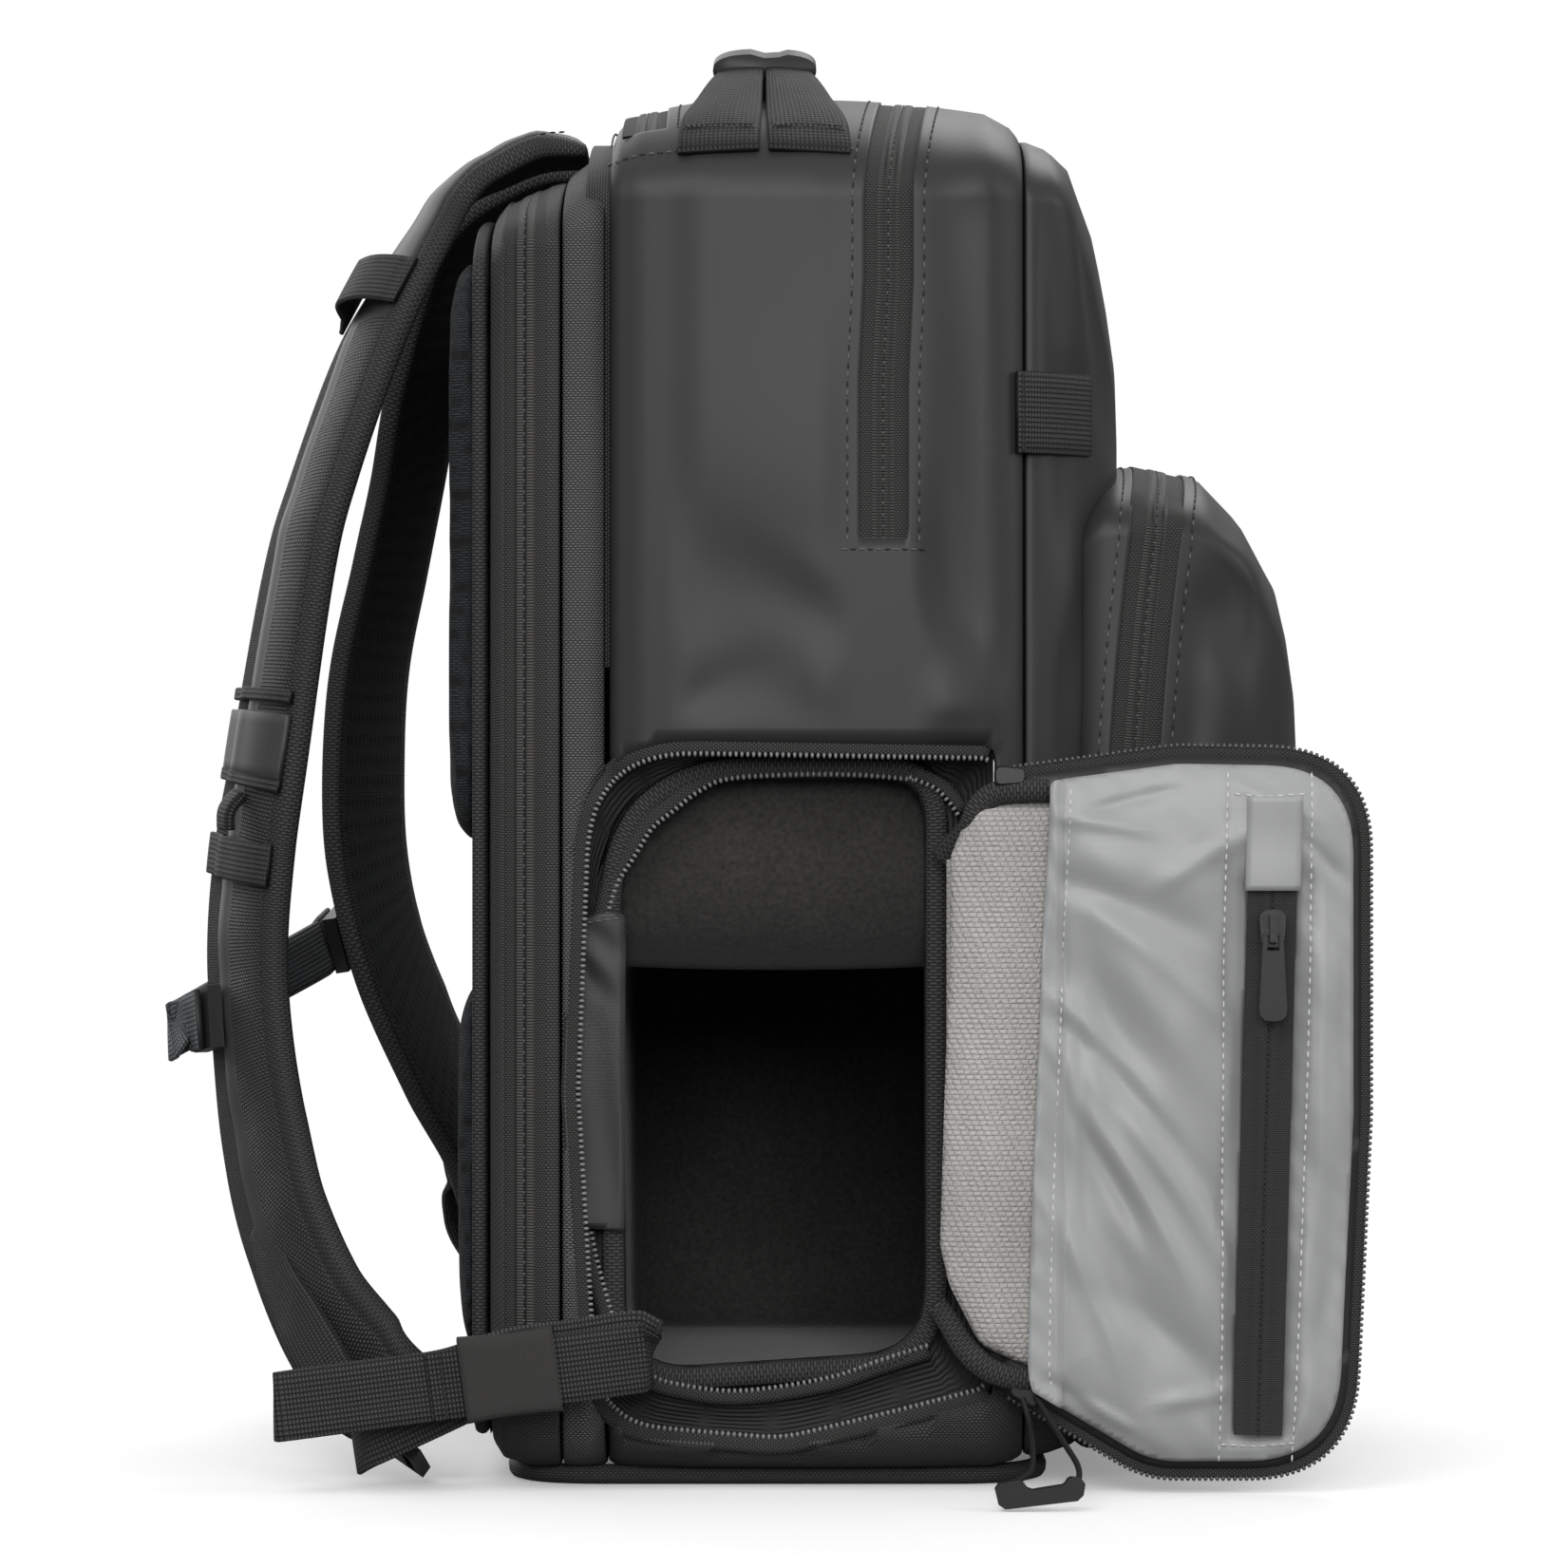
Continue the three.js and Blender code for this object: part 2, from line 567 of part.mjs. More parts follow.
add('front_pocket', 'coated', mainBody(pocketShell));
add('front_pocket_zip', 'zip', sweep(pocketZipFrames, zipProfile(POCKET_ZIP.slot)));

// Flat base that the bag stands on
const BASE = {
  back: laptopBackX + 4.6, front: mainFrontX + 8, halfWidth: BAG_HALF_WIDTH - 18, radius: 30, edge: 2,
};
const baseRing = (z, inset) => roundedOutline([
  { x: BASE.back + inset, z: -BASE.halfWidth + inset, r: BASE.radius },
  { x: BASE.front - inset, z: -BASE.halfWidth + inset, r: BASE.radius },
  { x: BASE.front - inset, z: BASE.halfWidth - inset, r: BASE.radius },
  { x: BASE.back + inset, z: BASE.halfWidth - inset, r: BASE.radius },
]).map((p) => new THREE.Vector3(p.x, p.y, z));
add('base_panel', 'woven', loft([
  baseRing(0, BASE.edge), baseRing(BASE.edge, 0), baseRing(BASE_THICKNESS, 0),
]));

// Camera cube: a padded box with an opening behind the side opening of the bag
const CUBE = {
  left: SEAM_X - 7, right: mainFrontX - 12, near: 11 - BAG_HALF_WIDTH, far: BAG_HALF_WIDTH - 16,
  bottom: floorZ + 13.7, top: OPENING.top - 3, wall: 8, front: 5, radius: 18,
};
const CUBE_OPENING = {
  left: CUBE.left + 10, right: CUBE.right - 14, bottom: CUBE.bottom + 17, top: CUBE.top - 8,
};
const cubeOutline = roundedOutline([
  { x: CUBE.left, z: CUBE.bottom, r: CUBE.radius }, { x: CUBE.right, z: CUBE.bottom, r: CUBE.radius },
  { x: CUBE.right, z: CUBE.top, r: CUBE.radius }, { x: CUBE.left, z: CUBE.top, r: CUBE.radius },
]);
const cubeOpeningOutline = roundedOutline([
  { x: CUBE_OPENING.left + 2, z: CUBE_OPENING.bottom - 2, r: 20 },
  { x: CUBE_OPENING.right, z: CUBE_OPENING.bottom + 4, r: 22 },
  { x: CUBE_OPENING.right, z: CUBE_OPENING.top, r: 14 },
  { x: CUBE_OPENING.left, z: CUBE_OPENING.top, r: 42 },
], 3);
const cubeInner = insetOutline(cubeOutline, CUBE.wall);
const cube = solidOf(prism(cubeOutline, CUBE.near, CUBE.far))
  .subtract(solidOf(prism(cubeInner, CUBE.near + CUBE.front, CUBE.far - CUBE.wall)))
  .subtract(solidOf(prism(cubeOpeningOutline, CUBE.near - 5, CUBE.near + CUBE.front + 1)));
add('camera_cube', 'fleece', cube);

// A band sewn round the cube's opening
const BINDING = { width: 5, thickness: 1.6 };
const bindingLine = insetOutline(cubeOpeningOutline, -BINDING.width / 2 - 0.2)
  .map((p) => new THREE.Vector3(p.x, CUBE.near - CLEARANCE, p.y));
const towardsNear = new THREE.Vector3(0, -1, 0);
add('cube_binding', 'binding', sweep(
  framesAlong(bindingLine, bindingLine.map(() => towardsNear), true),
  padProfile(BINDING.width, 0, BINDING.thickness, 0.5),
  true,
));

// Bent divider that closes off the top of the cube
const DIVIDER = { thickness: 9, frontY: CUBE.near + 17, shelfZ: CUBE.top - 54, bend: 20 };
const innerTop = CUBE.top - CUBE.wall - CLEARANCE;
const innerFar = CUBE.far - CUBE.wall - CLEARANCE;
const dividerHalf = (CUBE.right - CUBE.left) / 2 - CUBE.wall - CLEARANCE;
const dividerLine = [
  new THREE.Vector3(0, DIVIDER.frontY, innerTop),
  ...new THREE.QuadraticBezierCurve3(
    new THREE.Vector3(0, DIVIDER.frontY, DIVIDER.shelfZ + DIVIDER.bend),
    new THREE.Vector3(0, DIVIDER.frontY, DIVIDER.shelfZ),
    new THREE.Vector3(0, DIVIDER.frontY + DIVIDER.bend, DIVIDER.shelfZ),
  ).getPoints(5),
  new THREE.Vector3(0, innerFar, DIVIDER.shelfZ),
];
const sideways = new THREE.Vector3(1, 0, 0);
const dividerFrames = dividerLine.map((point, i) => {
  const before = dividerLine[Math.max(i - 1, 0)];
  const after = dividerLine[Math.min(i + 1, dividerLine.length - 1)];
  const tangent = new THREE.Vector3().subVectors(after, before).normalize();
  return { point, across: sideways, outward: new THREE.Vector3().crossVectors(tangent, sideways) };
});
const dividerMiddleX = (CUBE.left + CUBE.right) / 2;
const dividerBlank = sweep(
  dividerFrames,
  stripProfile(2 * dividerHalf, -DIVIDER.thickness / 2, DIVIDER.thickness / 2),
);
const dividerRoom = solidOf(prism(insetOutline(cubeInner, CLEARANCE), CUBE.near, innerFar));
add('cube_divider', 'fleece', solidOf(dividerBlank.translate(dividerMiddleX, 0, 0)).intersect(dividerRoom));

// Satin flap beside the cube's opening
const FLAP = {
  left: CUBE.left - 2.5, right: CUBE_OPENING.left + 2, bottom: CUBE.bottom + 58, top: CUBE.top - 50,
};
const flapY = CUBE.near - CLEARANCE - BINDING.thickness - CLEARANCE;
add('inner_flap', 'dark_satin', box(
  FLAP.left, FLAP.right, flapY - SATIN_THICKNESS, flapY, FLAP.bottom, FLAP.top,
));

// Zip halves of the side opening: one on the bag, one on the door, each with its coil at the free edge
function edgeZipProfile(tape, coil) {
  return [
    [0, 0], [tape, 0], [tape + coil, 0.3], [tape + coil, coil], [tape + coil * 0.3, coil * 1.3], [0, 1],
  ];
}

const nearWall = (x, z) => -(x < SEAM_X ? gusset : main).sideY(x, z);
const EDGE_ZIP = { tape: 2.6, coil: 2.4, recess: 2 };
const HINGE_POINTS = { first: 3, last: 2 };
const openingZipLine = insetOutline(openingOutline, CLEARANCE)
  .slice(HINGE_POINTS.first, -HINGE_POINTS.last)
  .map((p) => new THREE.Vector3(p.x, nearWall(p.x, p.y) + EDGE_ZIP.recess, p.y));
const openingZipFrames = framesAlong(openingZipLine, openingZipLine.map(() => towardsNear)).map((frame) => ({
  ...frame, across: frame.across.clone().negate(),
}));
add('opening_zip', 'zip', sweep(openingZipFrames, edgeZipProfile(EDGE_ZIP.tape, EDGE_ZIP.coil)));

// Door, folded back flat beside the opening
const DOOR = {
  y: -BAG_HALF_WIDTH - 2.2, thickness: 5, left: OPENING.right + 0.4, right: OPENING.right + 107.4,
  top: OPENING.top - 6, bottom: OPENING.bottom - 4.9,
};
const doorOutline = roundedOutline([
  { x: DOOR.left, z: DOOR.top - 6, r: 4 },
  { x: DOOR.left, z: DOOR.bottom + 26, r: 4 },
  { x: DOOR.left + 44, z: DOOR.bottom, r: 30 },
  { x: DOOR.right - 5, z: DOOR.bottom, r: 62 },
  { x: DOOR.right, z: (DOOR.top + DOOR.bottom) / 2, r: 30 },
  { x: DOOR.right, z: DOOR.top, r: 56 },
  { x: DOOR.left + 52, z: DOOR.top + 1, r: 30 },
], 3);
const doorFaceY = DOOR.y - DOOR.thickness;
const doorSlab = solidOf(stackOutlines([
  { outline: insetOutline(doorOutline, 1.5), y: DOOR.y },
  { outline: doorOutline, y: DOOR.y - 1.5 },
  { outline: doorOutline, y: doorFaceY + 1 },
  { outline: insetOutline(doorOutline, 1), y: doorFaceY },
]));
// The fold of the door reaches round to the cut edge of the side wall
const doorFold = solidOf(box(
  OPENING.right - CLEARANCE - 2.6, OPENING.right - CLEARANCE,
  doorFaceY + 0.4, -BAG_HALF_WIDTH * 0.985 + 2, DOOR.bottom + 32, DOOR.top - 10,
)).add(solidOf(box(
  OPENING.right - CLEARANCE - 2.6, DOOR.left + 4,
  doorFaceY + 0.4, DOOR.y - 0.4, DOOR.bottom + 32, DOOR.top - 10,
)));
add('door_panel', 'coated', doorSlab.add(doorFold));

const DOOR_HINGE_POINTS = { from: 2, to: 6 };
const doorZipEdge = insetOutline(doorOutline, -CLEARANCE);
const doorZipEdges = [
  ...doorZipEdge.slice(DOOR_HINGE_POINTS.to), ...doorZipEdge.slice(0, DOOR_HINGE_POINTS.from),
];
const doorZipLine = doorZipEdges
  .map((p) => new THREE.Vector3(p.x, DOOR.y - DOOR.thickness / 2, p.y));
const doorZipFrames = framesAlong(doorZipLine, doorZipLine.map(() => towardsNear));
add('door_zip', 'zip', sweep(doorZipFrames, edgeZipProfile(1.6, EDGE_ZIP.coil)));

// Pale fleece door of the cube, tucked under the satin sleeve of the bag's door
const CUBE_DOOR = {
  left: CUBE_OPENING.right + 4, right: DOOR.right - 19,
  bottom: DOOR.bottom + 30.4, top: DOOR.top - 14, thickness: 4.4,
};
const cubeDoorY = doorFaceY - CLEARANCE;
const cubeDoorOutline = roundedOutline([
  { x: CUBE_DOOR.left, z: CUBE_DOOR.top - 2, r: 14 },
  { x: CUBE_DOOR.left - 2, z: CUBE_DOOR.bottom + 30, r: 10 },
  { x: CUBE_DOOR.left + 18, z: CUBE_DOOR.bottom, r: 12 },
  { x: CUBE_DOOR.right, z: CUBE_DOOR.bottom, r: 18 },
  { x: CUBE_DOOR.right, z: CUBE_DOOR.top, r: 18 },
]);
const cubeDoorSlab = solidOf(stackOutlines([
  { outline: insetOutline(cubeDoorOutline, 1), y: cubeDoorY },
  { outline: cubeDoorOutline, y: cubeDoorY - 1 },
  { outline: cubeDoorOutline, y: cubeDoorY - CUBE_DOOR.thickness + 1.4 },
  { outline: insetOutline(cubeDoorOutline, 1.4), y: cubeDoorY - CUBE_DOOR.thickness },
]));
// Its fold reaches back to the cube's band, just outside the cube's opening
const foldRight = OPENING.right - CLEARANCE - 2.6 - CLEARANCE;
const bandY = CUBE.near - CLEARANCE - BINDING.thickness - CLEARANCE;
const cubeDoorFold = solidOf(box(
  CUBE_OPENING.right + 1.5, foldRight, cubeDoorY - 2.6, bandY, CUBE_DOOR.bottom + 34, CUBE_DOOR.top - 14,
));
const cubeDoorRoll = solidOf(box(
  CUBE_OPENING.right + 4.5, foldRight + 1, cubeDoorY, bandY + 5, CUBE_DOOR.bottom + 30, CUBE_DOOR.top - 10,
));
add('cube_door', 'pale_fleece', cubeDoorSlab.add(cubeDoorFold.subtract(cubeDoorRoll)));

// Satin sleeve with its zip, sewn round the door and open towards the hinge
const SLEEVE = { left: DOOR.left + 14, edge: 4, depth: 8.4 };
const POCKET_SLOT = {
  x: DOOR.right - 29, width: 14, bottom: DOOR.bottom + 10.4, top: DOOR.top - 38, lean: 4.4,
};
const slotX = (z) => {
  const share = (z - POCKET_SLOT.bottom) / (POCKET_SLOT.top - POCKET_SLOT.bottom);
  return POCKET_SLOT.x + POCKET_SLOT.lean * (share - 0.5);
};
const sleeveOutline = insetOutline(doorOutline, SLEEVE.edge);
const sleeveLayers = (shrink) => [
  { outline: insetOutline(sleeveOutline, shrink), y: doorFaceY - CLEARANCE + (shrink ? 1 : 0) },
  { outline: insetOutline(sleeveOutline, 1.5 + shrink), y: doorFaceY - SLEEVE.depth * 0.5 },
  { outline: insetOutline(sleeveOutline, 5 + shrink), y: doorFaceY - SLEEVE.depth * 0.85 + shrink },
  { outline: insetOutline(sleeveOutline, 12 + shrink), y: doorFaceY - SLEEVE.depth + shrink },
];
const sleeveFaceY = doorFaceY - SLEEVE.depth;
const slotCorners = [
  [-1, POCKET_SLOT.bottom], [1, POCKET_SLOT.bottom], [1, POCKET_SLOT.top], [-1, POCKET_SLOT.top],
];
const slotOutline = slotCorners
  .map(([side, z]) => new THREE.Vector2(slotX(z) + (side * POCKET_SLOT.width) / 2, z));
const sleeveSolid = solidOf(stackOutlines(sleeveLayers(0)))
  .subtract(solidOf(stackOutlines(sleeveLayers(SATIN_THICKNESS))))
  .subtract(solidOf(box(DOOR.left - 20, SLEEVE.left, sleeveFaceY - 20, doorFaceY + 20, -5, DOOR.top + 20)))
  .subtract(solidOf(prism(slotOutline, sleeveFaceY - 5, sleeveFaceY + 4)));
add('door_sleeve', 'satin', sleeveSolid);

const pocketZipY = sleeveFaceY + SATIN_THICKNESS;
const pocketSlotLine = [POCKET_SLOT.bottom + CLEARANCE, POCKET_SLOT.top - CLEARANCE]
  .map((z) => new THREE.Vector3(slotX(z), pocketZipY, z));
add('sleeve_zip', 'binding', sweep(
  framesAlong(pocketSlotLine, pocketSlotLine.map(() => towardsNear)),
  zipProfile(POCKET_SLOT.width, -ZIP_TAPE_THICKNESS),
));

// Slider of the sleeve's zip and its hinged pull
const SLIDER = { width: 8.4, length: 11, thickness: 2.6, z: POCKET_SLOT.top - 12 };
const sliderX = slotX(SLIDER.z);
const BAIL = { width: 2.2, height: 3.4, length: 8, thickness: 1.3 };
const sliderY = pocketZipY - ZIP_TAPE_THICKNESS - COIL_HEIGHT - CLEARANCE;
const sliderOutline = roundedOutline([
  { x: sliderX - SLIDER.width / 2, z: SLIDER.z + SLIDER.length / 2, r: 3 },
  { x: sliderX - SLIDER.width / 2 + 1, z: SLIDER.z - SLIDER.length / 2, r: 2 },
  { x: sliderX + SLIDER.width / 2 - 1, z: SLIDER.z - SLIDER.length / 2, r: 2 },
  { x: sliderX + SLIDER.width / 2, z: SLIDER.z + SLIDER.length / 2, r: 3 },
], 3);
const sliderTopY = sliderY - SLIDER.thickness;
const bailBlock = (grow, from, to) => solidOf(box(
  sliderX - BAIL.width / 2 - grow, sliderX + BAIL.width / 2 + grow,
  from, to, SLIDER.z - BAIL.length / 2, SLIDER.z + BAIL.length / 2,
));
const bailWindow = solidOf(box(
  sliderX - BAIL.width, sliderX + BAIL.width, sliderTopY - BAIL.height + BAIL.thickness, sliderTopY,
  SLIDER.z - BAIL.length / 2 + BAIL.thickness, SLIDER.z + BAIL.length / 2 - BAIL.thickness,
));
add('sleeve_slider', 'metal', solidOf(prism(sliderOutline, sliderY, sliderTopY))
  .add(bailBlock(0, sliderTopY - BAIL.height, sliderTopY + 0.5).subtract(bailWindow)));

const PULL = { length: 26, width: 8.6, thickness: 1.5, bar: 0.7, window: 5.2, windowWidth: 3.6 };
const pullAxis = {
  y: sliderTopY - (BAIL.height - BAIL.thickness) / 2,
  z: SLIDER.z - BAIL.length / 2 + BAIL.thickness + 2 * PULL.bar,
};
const pullOutline = roundedOutline([
  { x: sliderX - PULL.width / 2 + 1.4, z: pullAxis.z + PULL.bar, r: 1.5 },
  { x: sliderX - PULL.width / 2, z: pullAxis.z - PULL.length, r: 3.6 },
  { x: sliderX + PULL.width / 2, z: pullAxis.z - PULL.length, r: 3.6 },
  { x: sliderX + PULL.width / 2 - 1.4, z: pullAxis.z + PULL.bar, r: 1.5 },
], 3);
const pullPlate = solidOf(prism(
  pullOutline, pullAxis.y - PULL.thickness / 2, pullAxis.y + PULL.thickness / 2,
));
const pullWindow = solidOf(box(
  sliderX - PULL.windowWidth / 2, sliderX + PULL.windowWidth / 2,
  pullAxis.y - 2, pullAxis.y + 2, pullAxis.z - PULL.window, pullAxis.z - PULL.bar,
));
add('sleeve_pull', 'plastic', pullPlate.subtract(pullWindow));

// Sliders at both ends of the side opening's zip
function plainSlider(x, y, z, tilt) {
  const outline = roundedOutline([
    { x: -4.5, z: 3.2, r: 2 }, { x: -4.5, z: -3.2, r: 2 }, { x: 5, z: -2.4, r: 2 }, { x: 5, z: 2.4, r: 2 },
  ], 2);
  const body = stackOutlines([
    { outline: insetOutline(outline, 0.6), y: 0 }, { outline, y: -0.8 },
    { outline, y: -3.2 }, { outline: insetOutline(outline, 0.6), y: -4 },
  ]);
  return body.rotateY(tilt).translate(x, y, z);
}
const upperSlider = { x: OPENING.right + 3, y: doorFaceY - 3 * CLEARANCE, z: DOOR.top - 5 };
add('door_slider_upper', 'metal', plainSlider(upperSlider.x, upperSlider.y, upperSlider.z, 0));
const lowerSlider = { x: DOOR.left + 7.4, y: doorFaceY - CLEARANCE, z: DOOR.bottom + 23 };
const LOWER_TILT = 0.6;
add('door_slider_lower', 'metal', plainSlider(lowerSlider.x, lowerSlider.y, lowerSlider.z, LOWER_TILT));

// Cord pull of the lower slider: one cord that runs through a moulded grip
const PULL_CORD = { radius: 0.9, sides: 6, steps: 22 };
const GRIP = { y: -190, thickness: 5 };
const CORD_LINE = [
  [70.5, -152.4, 29], [72.5, -158, 21], [72, -180, 11], [65, -189, 7.6], [64, GRIP.y, 4.6], [70, GRIP.y, 3.6],
  [80, GRIP.y, 5.2], [84.5, -189, 7.6], [85.5, -182, 12], [81, -166, 19], [74.4, -152.4, 29.5],
];
const cordCurve = new THREE.CatmullRomCurve3(CORD_LINE.map((p) => new THREE.Vector3(...p)));
const cordPath = cordCurve.getPoints(PULL_CORD.steps);
const cordFrames = framesAlong(cordPath, cordPath.map(() => towardsNear));
add('pull_cord', 'binding', sweep(cordFrames, roundProfile(PULL_CORD.radius, PULL_CORD.sides)));
const gripOutline = roundedOutline([
  { x: 60.6, z: 8, r: 1.5 }, { x: 62.4, z: 0.6, r: 1.8 }, { x: 86.4, z: 3.4, r: 2 },
  { x: 87.4, z: 9.6, r: 1.5 }, { x: 82.4, z: 10, r: 1 }, { x: 81, z: 7.8, r: 1 },
  { x: 71, z: 6.2, r: 1.5 }, { x: 68.4, z: 9.4, r: 1 },
], 1);
const cordBore = solidOf(sweep(cordFrames, roundProfile(PULL_CORD.radius + CLEARANCE, PULL_CORD.sides)));
const gripBlock = solidOf(prism(gripOutline, GRIP.y - GRIP.thickness / 2, GRIP.y + GRIP.thickness / 2));
add('pull_grip', 'plastic', gripBlock.subtract(cordBore));

// Shoulder straps: each row gives the middle of the pad, its turn about Z and its width share.
// reach and across are shares of the bag's half width, height is a share of the bag's height.
const STRAP = { width: 62, thickness: 11, edge: 3 };
const NEAR_STRAP = [
  { reach: -0.44, across: -0.3, height: 0.9625, turn: 0, width: 0.8 },
  { reach: -0.541, across: -0.3, height: 0.96, turn: 1, width: 0.85 },
  { reach: -0.629, across: -0.31, height: 0.948, turn: 4, width: 0.9 },
  { reach: -0.72, across: -0.32, height: 0.93, turn: 9, width: 0.93 },
  { reach: -0.8, across: -0.336, height: 0.8946, turn: 13, width: 0.96 },
  { reach: -0.916, across: -0.4, height: 0.823, turn: 18, width: 1 },
  { reach: -1.026, across: -0.47, height: 0.718, turn: 19, width: 1 },
  { reach: -1.08, across: -0.5, height: 0.6486, turn: 20, width: 1 },
  { reach: -1.146, across: -0.514, height: 0.511, turn: 22, width: 1 },
  { reach: -1.178, across: -0.507, height: 0.443, turn: 23, width: 1 },
  { reach: -1.193, across: -0.507, height: 0.375, turn: 23, width: 1 },
  { reach: -1.18, across: -0.529, height: 0.308, turn: 23, width: 1 },
  { reach: -1.15, across: -0.571, height: 0.241, turn: 25, width: 1 },
  { reach: -1.094, across: -0.643, height: 0.174, turn: 25, width: 0.98 },
  { reach: -1, across: -0.729, height: 0.108, turn: 25, width: 0.94 },
  { reach: -0.89, across: -0.793, height: 0.065, turn: 23, width: 0.86 },
  { reach: -0.706, across: -0.836, height: 0.031, turn: 18, width: 0.7 },
];
const FAR_STRAP = [
  { reach: -0.44, across: 0.3, height: 0.9625, turn: 0, width: 0.8 },
  { reach: -0.541, across: 0.3, height: 0.96, turn: -1, width: 0.85 },
  { reach: -0.629, across: 0.305, height: 0.947, turn: -4, width: 0.9 },
  { reach: -0.72, across: 0.32, height: 0.925, turn: -8, width: 0.93 },
  { reach: -0.785, across: 0.345, height: 0.89, turn: -11, width: 0.96 },
  { reach: -0.854, across: 0.4, height: 0.805, turn: -13, width: 1 },
  { reach: -0.895, across: 0.471, height: 0.733, turn: -14, width: 1 },
  { reach: -0.942, across: 0.5, height: 0.66, turn: -15, width: 1 },
  { reach: -0.989, across: 0.514, height: 0.586, turn: -16, width: 1 },
  { reach: -1.005, across: 0.521, height: 0.513, turn: -17, width: 1 },
  { reach: -0.998, across: 0.529, height: 0.4385, turn: -17, width: 1 },
  { reach: -0.95, across: 0.571, height: 0.3636, turn: -16, width: 1 },
  { reach: -0.865, across: 0.7, height: 0.2885, turn: -14, width: 1 },
  { reach: -0.785, across: 0.86, height: 0.228, turn: -11, width: 0.98 },
  { reach: -0.737, across: 1.01, height: 0.178, turn: -9, width: 0.94 },
  { reach: -0.685, across: 1.11, height: 0.127, turn: -9, width: 0.86 },
  { reach: -0.63, across: 1.12, height: 0.075, turn: -12, width: 0.72 },
];

function bagPoint({ reach, across, height }) {
  return new THREE.Vector3(reach * BAG_HALF_WIDTH, across * BAG_HALF_WIDTH, height * BAG_HEIGHT);
}

function strapStations(rows) {
  return rows.map((row) => {
    const turn = THREE.MathUtils.degToRad(row.turn);
    return {
      point: bagPoint(row),
      widthWay: new THREE.Vector3(-Math.sin(turn), Math.cos(turn), 0),
      width: row.width * STRAP.width,
    };
  });
}

// Frames whose outward side faces away from the bag
function strapFrames(stations) {
  return stations.map(({ point, widthWay }, i) => {
    const before = stations[Math.max(i - 1, 0)].point;
    const after = stations[Math.min(i + 1, stations.length - 1)].point;
    const tangent = new THREE.Vector3().subVectors(after, before).normalize();
    const across = widthWay.clone().addScaledVector(tangent, -widthWay.dot(tangent)).normalize();
    return { point, across, outward: new THREE.Vector3().crossVectors(across, tangent).normalize() };
  });
}

function strapPad(stations) {
  const rings = strapFrames(stations).map((frame, i) => padProfile(
    stations[i].width, -STRAP.thickness / 2, STRAP.thickness / 2, STRAP.edge,
  ).map(([u, n]) => frame.point.clone().addScaledVector(frame.across, u).addScaledVector(frame.outward, n)));
  return loft(rings);
}

// A point and frame part of the way along a strap, where at runs from 0 to 1 over its rows
function alongStrap(stations, at) {
  const place = at * (stations.length - 1);
  const k = Math.min(Math.floor(place), stations.length - 2);
  const mix = place - k;
  const frames = strapFrames(stations);
  return {
    point: stations[k].point.clone().lerp(stations[k + 1].point, mix),
    across: frames[k].across.clone().lerp(frames[k + 1].across, mix).normalize(),
    outward: frames[k].outward.clone().lerp(frames[k + 1].outward, mix).normalize(),
    width: THREE.MathUtils.lerp(stations[k].width, stations[k + 1].width, mix),
    along: new THREE.Vector3().subVectors(stations[k + 1].point, stations[k].point).normalize(),
  };
}

// A band sewn across the outer face of a strap, bulging out by loft in its middle
function strapBand(stations, at, width, rise, cover = 0.96) {
  const place = alongStrap(stations, at);
  const half = (place.width * cover) / 2;
  const seat = STRAP.thickness / 2 + CLEARANCE;
  const STEPS = 8;
  const frames = Array.from({ length: STEPS + 1 }, (_, i) => {
    const share = i / STEPS;
    const lift = seat + rise * Math.sin(Math.PI * share);
    return place.point.clone()
      .addScaledVector(place.across, -half + 2 * half * share)
      .addScaledVector(place.outward, lift);
  });
  return sweep(
    framesAlong(frames, frames.map(() => place.outward)),
    stripProfile(width, 0, WEBBING_THICKNESS),
  );
}

const straps = { near: strapStations(NEAR_STRAP), far: strapStations(FAR_STRAP) };
const STRAP_TRIM = [
  { name: 'strap_loop_near', on: straps.near, at: 0.295, width: 16, rise: 7, fabric: 'webbing' },
  { name: 'strap_loop_far', on: straps.far, at: 0.295, width: 16, rise: 7, fabric: 'webbing' },
  { name: 'strap_patch', on: straps.near, at: 0.494, width: 20, rise: 1.5, fabric: 'coated' },
  { name: 'strap_keeper', on: straps.near, at: 0.566, width: 13, rise: 1.5, fabric: 'webbing' },
];
add('shoulder_strap_near', 'woven', strapPad(straps.near));
add('shoulder_strap_far', 'woven', strapPad(straps.far));
for (const { name, on, at, width, rise, fabric } of STRAP_TRIM) {
  add(name, fabric, strapBand(on, at, width, rise));
}

// Webbing that runs along a list of points, with its width across the given direction
function webbing(points, outwards, width) {
  return sweep(
    framesAlong(points, outwards),
    stripProfile(width, -WEBBING_THICKNESS / 2, WEBBING_THICKNESS / 2),
  );
}

// Strips that follow a strap: rows of [place along the strap, height over its outer face]
function onStrap(stations, rows, shift = 0) {
  return rows.map(([at, lift]) => {
    const place = alongStrap(stations, at);
    return {
      across: place.across,
      outward: place.outward,
      point: place.point.clone()
        .addScaledVector(place.across, shift)
        .addScaledVector(place.outward, STRAP.thickness / 2 + lift),
    };
  });
}

function blockAt(place, along, size) {
  const shape = new THREE.BoxGeometry(size.width, size.length, size.thickness);
  const basis = new THREE.Matrix4().makeBasis(place.across, along, place.outward).setPosition(place.point);
  return shape.applyMatrix4(basis);
}

const STRAP_WEBBING = 20;
const TAB = { width: 9, thickness: 3.4, rows: [[0.5185, 2.3], [0.525, 5.2], [0.533, 7], [0.545, 6.6]] };
add('strap_tab', 'webbing', sweep(
  onStrap(straps.near, TAB.rows),
  padProfile(TAB.width, -TAB.thickness / 2, TAB.thickness / 2, 0.8),
));

